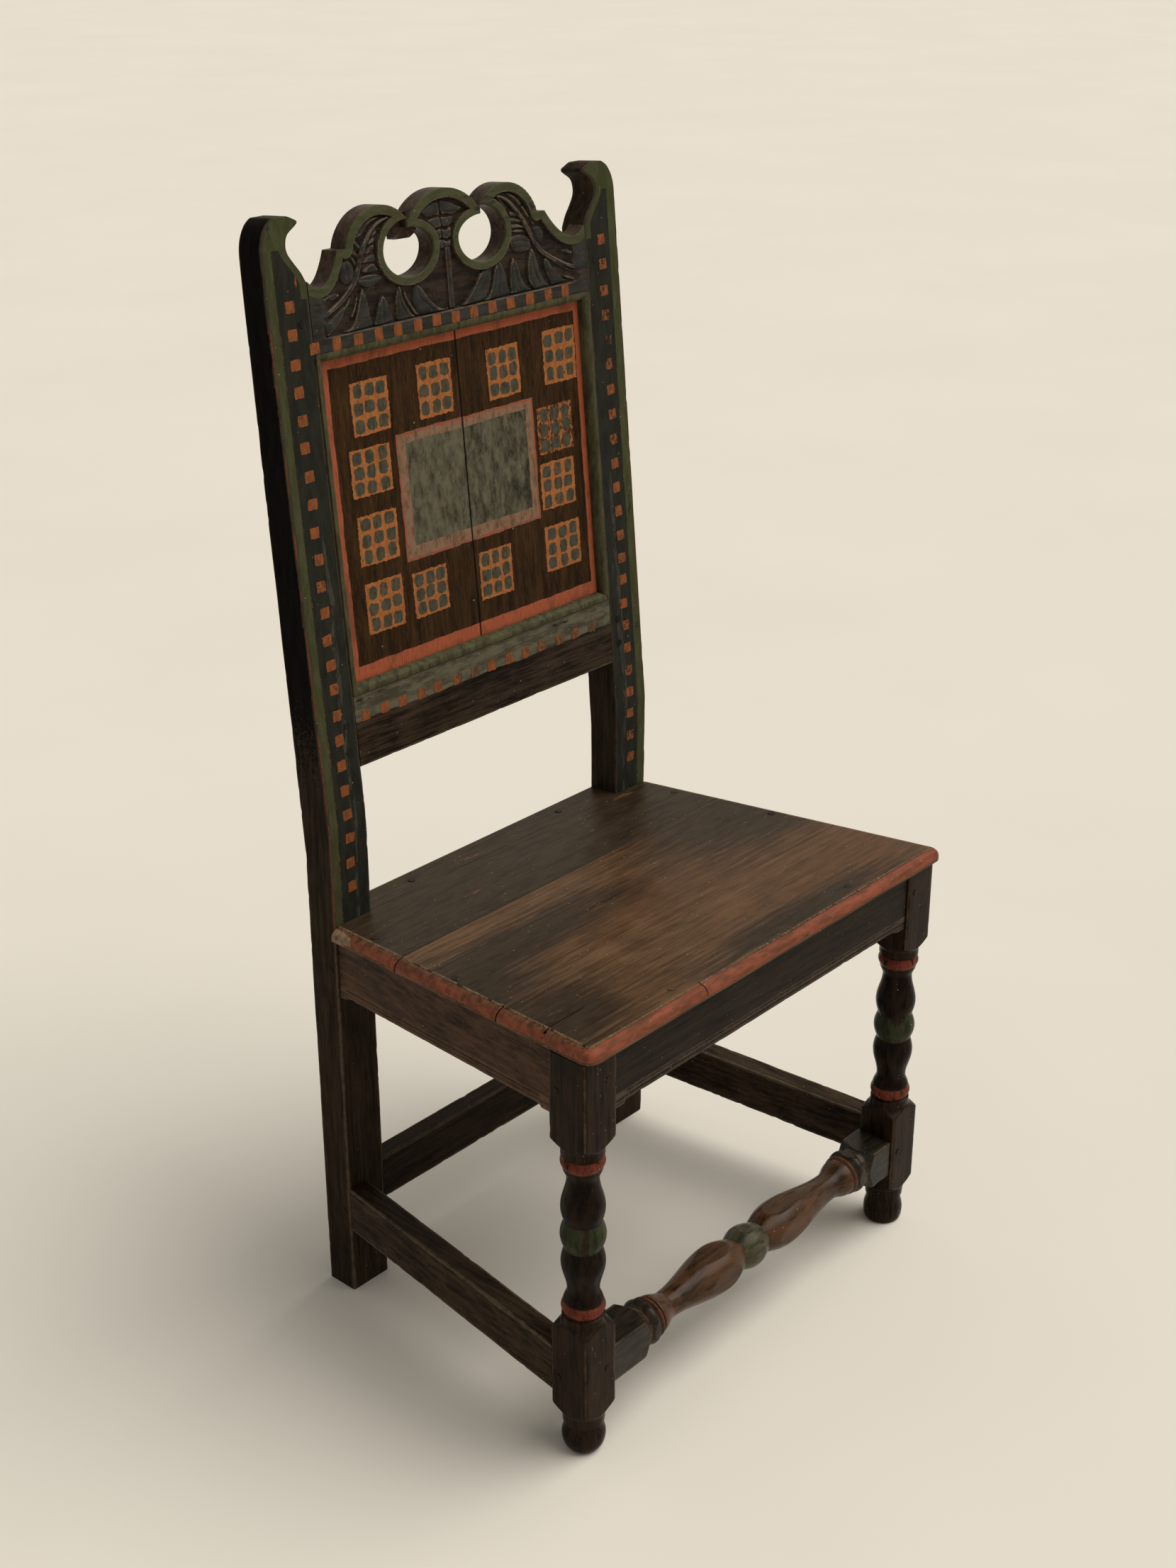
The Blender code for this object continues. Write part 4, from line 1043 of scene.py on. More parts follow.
OAK_STILE = OakFinish(
    "painted stile oak", dark=(0.009, 0.0063, 0.0042), light=(0.042, 0.0285, 0.0175), gloss=0.55,
    shine=0.02,
    coats=(Coat("black", (0.0016, 0.0011, 0.001), (0.004, 0.003, 0.0022), ragged=2.0, holds=0.74,
                rubbed=0.3, soft=1.2),
           Coat("ink", INK, (0.026, 0.0265, 0.020), holds=0.64, rubbed=0.5),
           Coat("streak", INK_GREY, (0.085, 0.079, 0.060), holds=0.52, patch=170.0, ragged=3.0,
                streaked=True, strength=0.55),
           Coat("green", OLIVE, OLIVE_PALE, holds=0.60, rubbed=0.9),
           Coat("red", RED_BROWN, (0.22, 0.062, 0.030), holds=0.50, rubbed=0.2, patch=120.0)))
OAK_CREST = OakFinish(
    "carved crest oak", dark=(0.009, 0.0058, 0.0038), light=(0.076, 0.045, 0.0275),
    worn=(0.17, 0.130, 0.086), gloss=0.40, shine=0.07, wear=0.8, grain=Grain.ACROSS,
    coats=(Coat("grime", (0.010, 0.0072, 0.0052), (0.036, 0.0235, 0.015), ragged=1.2, holds=0.62,
                patch=60.0),
           Coat("ink", (0.036, 0.0345, 0.030), (0.019, 0.018, 0.0152), holds=0.575, rubbed=0.85,
                patch=80.0),
           Coat("green", OLIVE, OLIVE_PALE, holds=0.60, rubbed=0.9)))
OAK_LOWER = OakFinish(
    "lower rail oak", dark=(0.005, 0.0032, 0.002), light=(0.050, 0.032, 0.0195), contrast=0.13,
    grain=Grain.ACROSS, relief=2.2 * MM, gloss=0.5,
    coats=(Coat("grey", (0.126, 0.114, 0.073), (0.054, 0.048, 0.031), holds=0.60, patch=70.0, ragged=2.4,
                streaked=True),))
OAK_LEG = OakFinish(
    "turned leg oak", dark=(0.0055, 0.0034, 0.0022), light=(0.032, 0.018, 0.0095),
    worn=(0.13, 0.078, 0.042), gloss=0.22, shine=0.05, wear=0.5,
    coats=(Coat("black", (0.0035, 0.0022, 0.0015), (0.018, 0.0095, 0.005), ragged=2.0, holds=0.64),
           Coat("green", (0.036, 0.042, 0.019), (0.014, 0.016, 0.008), holds=0.58, rubbed=0.3),
           Coat("red", RING_RED, (0.085, 0.021, 0.012), holds=0.56, rubbed=0.4, patch=110.0)))
OAK_STRETCHER = OakFinish(
    "polished stretcher oak", dark=(0.013, 0.0072, 0.0038), light=(0.082, 0.040, 0.0165),
    worn=(0.19, 0.115, 0.060), gloss=0.25, shine=0.14, grain=Grain.ACROSS,
    coats=(Coat("streak", (0.095, 0.038, 0.017), (0.062, 0.032, 0.0135), holds=0.46, ragged=2.5,
                patch=38.0),
           Coat("green", (0.072, 0.066, 0.033), (0.026, 0.026, 0.013), holds=0.58, rubbed=0.3),
           Coat("red", (0.12, 0.042, 0.022), (0.06, 0.026, 0.014), holds=0.54, rubbed=0.5),
           Coat("black", (0.011, 0.0095, 0.007), (0.030, 0.023, 0.014), ragged=1.0)))
OAK_RAIL = OakFinish(
    "seat rail oak", dark=(0.006, 0.0043, 0.0033), light=(0.030, 0.0205, 0.014),
    worn=(0.13, 0.092, 0.062), gloss=0.44, shine=0.055, grain=Grain.ACROSS)
OAK_SIDE_RAIL = OakFinish(
    "side rail oak", dark=(0.011, 0.0065, 0.0042), light=(0.086, 0.0435, 0.0250),
    worn=(0.15, 0.10, 0.064), gloss=0.44, shine=0.055, grain=Grain.DEEP)
OAK_LOW_BAR = OakFinish(
    "stretcher oak", dark=(0.0058, 0.0038, 0.0025), light=(0.060, 0.0375, 0.0215),
    worn=(0.18, 0.14, 0.092), gloss=0.46, grain=Grain.DEEP)
OAK_BACK_BAR = OakFinish(
    "rear rail oak", dark=(0.006, 0.004, 0.0027), light=(0.036, 0.023, 0.0135), gloss=0.5,
    grain=Grain.ACROSS)
OAK_SEAT = OakFinish(
    "worn seat oak", dark=(0.040, 0.0200, 0.0088), light=(0.156, 0.085, 0.042), contrast=0.195,
    worn=(0.22, 0.15, 0.088), gloss=0.36, shine=0.06, relief=0.5 * MM, grain=Grain.ACROSS, speck=0.13,
    coats=(Coat("russet", (0.112, 0.048, 0.0225), (0.060, 0.027, 0.013), ragged=9.0, holds=0.58,
                patch=50.0, streaked=True, soft=9.0, strength=0.42),
           # The seat's dark coat is partly painted shadow: the long band across the middle board.
           Coat("dark", (0.027, 0.020, 0.0125), (0.011, 0.008, 0.0052), ragged=7.0, holds=0.64,
                patch=48.0, streaked=True, soft=7.0, strength=0.86),
           Coat("brown", (0.150, 0.058, 0.031), (0.070, 0.029, 0.015), ragged=0.9, holds=0.60, rubbed=0.5,
                patch=110.0),
           Coat("red", (0.25, 0.070, 0.036), (0.130, 0.043, 0.022), ragged=0.9, holds=0.58, rubbed=0.6,
                soft=1.4),
           Coat("pale", (0.24, 0.168, 0.100), (0.145, 0.098, 0.056), ragged=0.7, holds=0.55, soft=0.6),
           Coat("gap", BLACK, BLACK, ragged=0.25, holds=0.9, rubbed=0.0)))
GREEN_STRIP = OakFinish(
    "olive moulding paint", dark=(0.012, 0.008, 0.0048), light=(0.056, 0.036, 0.020),
    worn=(0.16, 0.132, 0.078), gloss=0.48, wear=0.65,
    coats=(Coat("green", (0.082, 0.076, 0.036), (0.038, 0.036, 0.0185), holds=0.62, rubbed=0.6,
                patch=90.0),))
PEG_SEAT = replace(OAK_SEAT, name="seat peg oak", coats=())
PEG_DARK = replace(PEG_SEAT, name="dark seat peg oak", dark=(0.011, 0.008, 0.0052),
                   light=(0.034, 0.024, 0.0145))
PEG_LEG = replace(OAK_LEG, name="leg peg oak", coats=())
PEG_STILE = replace(OAK_STILE, name="post peg oak", coats=())
PEG_INK = replace(PEG_STILE, name="inked peg oak", dark=(0.009, 0.0086, 0.0072),
                  light=(0.026, 0.0245, 0.020))
PANEL = PanelFinish("painted panel boards")
ORANGE_MARK = MarkFinish("orange mark paint")
STILE_MARK = MarkFinish("orange mark paint on the stiles", paint=BRICK, dull=BRICK_DULL, under=INK)
LOWER_MARK = MarkFinish("orange mark paint on the lower rail", paint=BRICK, dull=BRICK_DULL,
                        under=(0.060, 0.055, 0.036))
DOT_MARK = MarkFinish("grey dot paint", paint=DOT_GREY, dull=DOT_DARK, under=(0.15, 0.075, 0.030))


# Back

@dataclass
class BackPost:
    """Back leg and stile in one piece, bent above the seat and scrolled into a horn."""

    name: str
    side: int
    top_depth: float = 0.031
    rear_bend: float = 0.513
    horn: float = 0.062
    throat: float = 0.0195
    band: float = 11.5
    arris: float = 1.6 * MM
    hook: Path = ((0.0, 0.0), (0.282, 0.161), (0.641, 0.306), (0.949, 0.452), (1.0, 0.581), (0.82, 0.718),
                  (0.18, 0.855))
    inner_crown: Path = ((0.172, 0.927), (0.374, 0.989), (0.525, 1.0))
    outer_crown: Path = ((1.0, 0.2), (1.0, 0.387), (0.988, 0.565), (0.939, 0.718), (0.828, 0.868),
                         (0.677, 0.96), (0.525, 1.0))
    paint_foot: float = -0.112
    crown_paint: float = 0.552
    red_end: tuple[float, float] = (0.47, 0.51)
    red_spot: tuple[float, float] = (0.2005, 0.522)
    streak: tuple[float, float] = (0.2025, 0.25)
    black_foot: float = 0.08

    def side_line(self, outline: Array, level: Array) -> Array:
        """Distance from the middle to one side of the post.

        Args:
            outline: the side's points, as distance from the inner face and height above the horn's root.
            level: where it is wanted.

        Returns:
            The distance at each level.
        """
        path = smooth_path(outline, 12)
        height = np.maximum.accumulate(path[:, 1])
        return INNER_FACE + np.interp(level - (BACK_LENGTH - self.horn), height, path[:, 0])

    def inner_edge(self, level: Array) -> Array:
        """Inner side of the post.

        Args:
            level: where it is wanted.

        Returns:
            Its distance from the middle at each level.
        """
        crown = np.array(self.inner_crown) * (OUTER_FACE - INNER_FACE, self.horn)
        hook = np.array(self.hook) * (self.throat, self.horn)
        return self.side_line(np.concatenate((hook, crown)), level)

    def outer_edge(self, level: Array) -> Array:
        """Distance from the middle to the post's outer side."""
        return self.side_line(np.array(self.outer_crown) * (OUTER_FACE - INNER_FACE, self.horn), level)

    def stations(self) -> tuple[Array, Array, Array]:
        """Lines that the post follows.

        Returns:
            Its front and its rear line as points (y, z), and the level of each station.
        """
        low = np.linspace(0.0, 1.0, 110, endpoint=False)
        root = (BACK_LENGTH - self.horn) / BACK_LENGTH
        high = np.concatenate((np.linspace(0.0, root, 120, endpoint=False), np.linspace(root, 0.997, 70)))
        straight = np.stack((np.full_like(low, POST_FRONT), BEND_HEIGHT * low), axis=1)
        leaning = on_back(0.0, 0.0, BACK_LENGTH * high)[:, 1:]
        rear_foot = np.stack((np.full_like(low, POST_FRONT + POST_DEPTH), self.rear_bend * low), axis=1)
        rear_top = on_back(np.zeros(1), self.top_depth, np.full(1, BACK_LENGTH))[0, 1:]
        bend = np.array((POST_FRONT + POST_DEPTH, self.rear_bend))
        rear = bend + (rear_top - bend) * high[:, None]
        level = np.concatenate((BEND_HEIGHT * (low - 1), BACK_LENGTH * high))
        return np.concatenate((straight, leaning)), np.concatenate((rear_foot, rear)), level

    def draft(self) -> Draft:
        """Shape of the worn post.

        Returns:
            The post with its painted zones.
        """
        front, rear, level = self.stations()
        inner = self.side * self.inner_edge(level)
        outer = self.side * self.outer_edge(level)
        corners = np.stack([np.column_stack((x, line)) for x, line in
                            ((outer, front), (inner, front), (inner, rear), (outer, rear))], axis=1)
        radii = self.arris * (1.0 + 0.7 * uneven(corners, (0.03, 0.03, 0.055), 11 + self.side))
        draft = worn_bar(corners, radii, (26, 14, 8, 14), 4)
        self.paint(draft)
        return draft

    def paint(self, draft: Draft) -> None:
        """Measure the painted zones.

        Args:
            draft: the post, which gets the zones.
        """
        x, depth, level = back_places(draft.points)
        reach = np.abs(x)
        ahead = np.where(draft.points[:, 2] < BEND_HEIGHT, draft.points[:, 1] - POST_FRONT, depth)
        front = (ahead < 1.5 * MM) & (level > self.paint_foot)
        edge = (self.outer_edge(level) - reach) / MM
        hook = (reach - self.inner_edge(level)) / MM
        horn = np.minimum(9.0 - hook, (level - BACK_LENGTH + self.horn + 0.014) / MM)
        green = np.maximum(self.band + 1.5 * (self.side > 0) - edge, horn)
        green = np.maximum(green, (level - self.crown_paint) / MM)
        red = np.maximum(0.6 - np.abs(edge - 0.9), 0.2 - np.abs(green + 0.6)) - ease(level, *self.red_end)
        if self.side < 0:
            spot_x, spot_level = self.red_spot
            red = np.maximum(red, 1.4 - np.hypot((reach - spot_x) / MM, (level - spot_level) / MM / 4.0))
        black = np.clip((level - self.black_foot) / MM * 0.03, -9.0, 3.0)
        streak_x, streak_top = self.streak
        fading = np.clip((level - streak_top) / MM * 0.05, 0.0, 9.0)
        streak = 0.6 - np.abs(reach - streak_x) / MM * 0.35 - fading
        draft.values["green"] = np.where(front, np.minimum(green, 6.0), UNPAINTED)
        draft.values["ink"] = np.where(front, 3.0, UNPAINTED)
        draft.values["red"] = np.where(front & (edge > -1), red, UNPAINTED)
        draft.values["black"] = np.where((edge < 1.2) & ~front, black, UNPAINTED)
        draft.values["streak"] = np.where(front, streak, UNPAINTED)

    def make(self) -> None:
        """Make the finished post."""
        make_piece(self.draft(), f"{self.name}_post", OAK_STILE, (f"rear_post_{self.name}",),
                   Weather(0.16 * MM, (0.03, 0.03, 0.16), 0.7 * MM, 21 + self.side))


@dataclass(frozen=True)
class Petal:
    """A carved leaf, in millimetres: its outline, its height, its middle's swell and its slope each way."""

    outline: Path
    height: float = 3.7
    crown: float = 1.3
    rise: tuple[float, float] = (0.0, 0.0)
    turns: int = 5

    def relief(self, places: Array) -> Array:
        """Height of the leaf.

        Args:
            places: flat places in millimetres.

        Returns:
            The height above the ground at each, 0 outside the leaf.
        """
        loop = closed_path(self.outline, self.turns)
        distance, inside = loop_distance(places, loop)
        slope = (places - loop.mean(axis=0)) @ np.array(self.rise)
        body = self.height - self.crown + self.crown * ease(distance, 0.0, 4.5) + np.clip(slope, -1.6, 0.5)
        return np.where(inside, body * ease(distance, 0.0, 1.0), 0.0)


@dataclass(frozen=True)
class Rib:
    """A carved stem: its path and its half widths in millimetres, and its height."""

    path: Path
    width: tuple[float, ...]
    height: float = 3.6

    def relief(self, places: Array) -> Array:
        """Height of the stem.

        Args:
            places: flat places in millimetres.

        Returns:
            The height above the ground at each, 0 outside the stem.
        """
        distance, share, _ = segment_distance(places, smooth_path(self.path, 8))
        width = np.interp(share, np.linspace(0.0, 1.0, len(self.width)), self.width)
        round_part = np.sqrt(np.clip(1 - (distance / width) ** 2, 0.0, 1.0))
        return self.height * (0.35 + 0.65 * round_part) * ease(width - distance, -0.05, 0.5)


LEFT_LEAVES = (
    Petal(((-57, 487), (-55, 495), (-52, 498), (-47, 495), (-43, 491), (-38, 484), (-31, 476.5),
           (-22, 470.5), (-12, 467.2), (-48, 467.2), (-54, 474), (-57, 481)), rise=(0.08, 0.03)),
    Petal(((-79, 467.2), (-80.5, 480), (-78.5, 492), (-75, 499), (-71.5, 497), (-70, 488), (-66, 479),
           (-60, 471), (-56, 467.2))),
    Petal(((-68, 495), (-65, 492), (-62, 485), (-57, 477), (-50, 469), (-49, 467.2), (-54.5, 467.2),
           (-60.5, 475), (-66, 484), (-68.5, 489)), 2.8),
    Petal(((-109, 467.2), (-106, 477), (-101.5, 487), (-96, 493.5), (-91, 489), (-87, 480),
           (-84.5, 467.2)), rise=(-0.09, 0.0)),
    Petal(((-149, 467.2), (-139, 471), (-132.5, 478), (-128, 487), (-124, 497), (-120, 504), (-117, 500),
           (-114, 490), (-112.5, 479), (-112, 467.2)), rise=(-0.06, 0.0)),
    Petal(((-169, 467.6), (-159, 471.5), (-151, 477), (-146, 484), (-142.5, 491), (-148, 489.5),
           (-156, 485), (-163, 481), (-172, 479.5), (-171, 474)), 2.7, 0.8, (0.06, -0.03)),
    Petal(((-172, 497), (-164, 499.5), (-155, 498), (-147, 502), (-153, 504), (-163, 503.5),
           (-171, 501.5)), 2.4, 0.6),
    Petal(((-151, 485.5), (-144, 490.5), (-138.5, 496.5), (-133, 501), (-135, 495.5), (-140, 489),
           (-146, 484.5)), 2.6, 0.6),
    Petal(((-138, 480.5), (-132.5, 488), (-128.5, 496.5), (-125.5, 500), (-127, 493), (-130.5, 485),
           (-134.5, 479.5)), 2.6, 0.6),
    Petal(((-87, 564.5), (-100, 565.5), (-108, 563.5), (-115, 558.5), (-121, 552), (-122, 549.5),
           (-116, 550), (-111, 553.5), (-104, 559.5), (-96, 562))),
    Petal(((-128, 549), (-122, 547.5), (-117, 542), (-115.5, 538), (-119, 538.5), (-124, 543)), 2.9),
    Petal(((-131, 541.5), (-126.5, 541), (-121, 535.5), (-119.5, 531), (-123.5, 531), (-128.5, 536)),
           2.9),
    Petal(((-131, 533), (-127, 533.5), (-123.5, 528), (-123.5, 523.5), (-127, 526.5)), 2.7),
    Petal(((-124, 512), (-118, 514.6), (-105, 514.8), (-97, 513), (-93.5, 510.5), (-99, 505.5),
           (-110, 502.8), (-118, 504.5), (-123, 508.5)), 3.3),
    Petal(((-119, 518.5), (-112, 522), (-104, 524.5), (-99.5, 521), (-97.5, 517), (-104, 515.8),
           (-113, 516.4)), 2.9, 0.9, (0.0, 0.09)),
    Petal(((-117, 526), (-110, 531), (-102, 532.5), (-98.5, 530), (-99.5, 526), (-108, 525.5)), 2.8, 0.9),
    Petal(((-112.5, 533.5), (-107, 538.5), (-101, 541.5), (-99.5, 537), (-103.5, 534), (-108, 533)), 2.7,
           0.9),
    Petal(((-108.5, 541), (-104, 546), (-99, 547.5), (-98.5, 543.5), (-103, 541.5)), 2.6, 0.8),
    Petal(((-104, 548), (-99, 552.5), (-94.5, 553.5), (-96, 549.5), (-100, 547.8)), 2.5, 0.8),
    Petal(((-146, 519), (-144, 527), (-139, 531), (-133, 530.5), (-128.5, 526), (-127, 519),
           (-129.5, 513), (-135, 510), (-141.5, 511)), 3.3, 1.5),
    Rib(((-79, 563), (-92, 560), (-101, 555), (-108, 548), (-114, 540), (-119, 531), (-123, 521),
         (-128, 512), (-135, 505), (-144, 498), (-155, 492), (-166, 488), (-174, 486)),
         (1.4, 2.3, 2.8, 3.0, 3.0, 2.8, 2.2)))
RIGHT_LEAVES = (
    Petal(((51, 498), (45, 499), (37, 495.5), (31, 490), (25, 482.5), (17, 475), (8, 469), (8, 467.2),
           (36, 467.2), (46, 474.5), (50, 483), (51.5, 491)), rise=(-0.07, 0.04)),
    Petal(((61, 503), (57, 499.5), (54, 493), (51.8, 485), (48.5, 477), (43.5, 471), (37.5, 467.2),
           (74.5, 467.2), (74.3, 476), (72.5, 485), (69.5, 493), (65.5, 499.5)), rise=(-0.06, 0.03)),
    Petal(((82.5, 502.5), (78.5, 498), (76.2, 490), (75.2, 481), (76, 472), (78, 467.2), (107.5, 467.2),
           (101, 472), (95, 479), (91, 487), (88, 495.5)), rise=(-0.05, 0.03)),
    Petal(((109.5, 508), (105, 502), (102.5, 494), (101.5, 484), (103, 476), (108.5, 468.8), (110, 467.2),
           (131.5, 467.2), (125, 476.5), (120.5, 485), (117.5, 494), (113.8, 502.5)), rise=(-0.07, 0.0)),
    Petal(((127.5, 496), (126, 489.5), (128.5, 481), (133, 473), (137, 467.2), (162, 467.2), (152, 473.5),
           (143.5, 480.5), (138, 487), (132.5, 493.5)), 3.3, 1.3, (-0.06, 0.0)),
    Petal(((136, 492.5), (144, 487), (154, 481.5), (166, 476.5), (168, 478.5), (158, 483), (147, 488.5),
           (139, 492.5)), 2.3, 0.5),
    Petal(((81.5, 522), (80.5, 516), (84, 509.5), (90, 506.5), (100, 505), (107.5, 507), (110, 512),
           (107, 518.5), (100, 522.5), (90, 523.5)), 3.3),
    Petal(((82, 527.5), (90, 529), (99, 527.4), (105.5, 523.5), (100, 524.6), (90, 525)), 2.8, 0.8),
    Petal(((83, 534), (92, 534), (102, 530.6), (103.5, 528.2), (94, 529.2), (85, 530)), 2.8, 0.8),
    Petal(((82, 540.6), (90, 540), (99.5, 536.6), (100, 534), (92, 535.2), (83, 536.4)), 2.7, 0.8),
    Petal(((82, 546.8), (88, 546.2), (95.5, 542.8), (96.5, 540), (89, 541.2), (83, 542.7)), 2.6, 0.8),
    Petal(((66, 562.5), (70, 561.5), (78, 553.5), (82.5, 547.5), (80, 547.8), (73, 554.5)), 2.5, 0.6),
    Petal(((74, 561.5), (79, 559.5), (87, 551.5), (93.5, 544), (89, 547.5), (80, 555.5)), 2.6, 0.6),
    Petal(((75, 565.8), (85, 564.5), (93, 560.5), (99, 554.5), (101, 551.5), (97, 550.5), (91, 556),
           (83, 561.5)), 3.1),
    Petal(((99, 549.5), (103, 550), (108, 543.5), (111, 538), (107.5, 537.5), (103, 543)), 3.0),
    Petal(((110.5, 537), (114, 538), (117.5, 533), (116, 528.5), (112, 531.5)), 2.8),
    Petal(((113, 522), (116, 527), (122, 528.5), (128, 525), (129.5, 519), (126, 513.5), (120, 512.5),
           (115, 516)), 3.0, 1.4),
    Petal(((150, 499.5), (158, 500.5), (167, 497), (166, 494), (158, 496)), 2.2, 0.5),
    Petal(((152, 474.5), (160, 474), (168, 470), (167, 468.2), (160, 470)), 2.2, 0.5),
    Rib(((63, 564.5), (72, 562), (80, 558), (88, 551), (95, 543), (102, 534), (107, 526), (112, 517),
         (118, 509), (125, 502), (135, 496), (147, 490), (158, 485), (168, 481)),
         (1.4, 2.1, 2.6, 2.8, 2.8, 2.6, 2.1)))
VEINS = (((84, 517), (95, 517.5), (107, 514)), ((84, 511.5), (95, 511), (106, 509.5)),
         ((-122, 511.5), (-110, 510.5), (-97, 511)), ((-75, 497), (-74, 484), (-67, 471)),
         ((83, 500), (84, 488), (89, 471)), ((-137, 529), (-137, 521), (-136, 512)),
         ((-119, 500), (-121, 487), (-130, 474)), ((-96, 490), (-97, 480), (-98, 470)),
         ((60, 499), (61, 487), (57, 472)), ((109, 504), (110, 488), (117, 472)),
         ((-51, 494), (-47, 483), (-33, 471)), ((46, 495), (39, 485), (25, 472)))
HUSK_LEAVES = (
    Petal(((-36, 562), (-30, 566), (-21, 569), (-13.5, 568), (-12.5, 561), (-14, 556), (-20, 556.5),
           (-27, 555.5), (-32, 557)), 3.2, 1.0, (0.0, -0.07)),
    Petal(((-11, 569), (0, 567.5), (9, 563.5), (17, 559.8), (12, 556), (4, 554.5), (-4, 556),
           (-10, 556.5)), 3.2, 1.0, (0.0, -0.07)),
    Petal(((-29, 553), (-21, 554.5), (-13, 554), (-12, 546), (-19, 544.5), (-26, 545.5)), 3.0, 0.7,
           (0.0, -0.09)),
    Petal(((-11.5, 554), (-4, 553.5), (4, 553), (2, 546.5), (-5, 544), (-11, 546)), 3.0, 0.7,
           (0.0, -0.09)),
    Petal(((-25, 543), (-19, 542.5), (-12.5, 543.5), (-12, 535.5), (-17, 534), (-22, 535.5)), 3.0, 0.7,
           (0.0, -0.09)),
    Petal(((-11.5, 543.5), (-6, 541.5), (1, 544), (0, 536), (-5, 533), (-11, 535)), 3.0, 0.7,
           (0.0, -0.09)),
    Petal(((-19, 532.5), (-12, 533), (-10, 526), (-14, 525), (-18, 527.5)), 2.8, 0.6),
    Petal(((-11, 533), (-5, 530.5), (-1, 533), (-1, 527), (-5, 525), (-10, 526)), 2.8, 0.6),
    Petal(((-9.8, 464), (-9.8, 526), (-2.2, 526), (-2.2, 464)), 2.9, 0.6, turns=1))


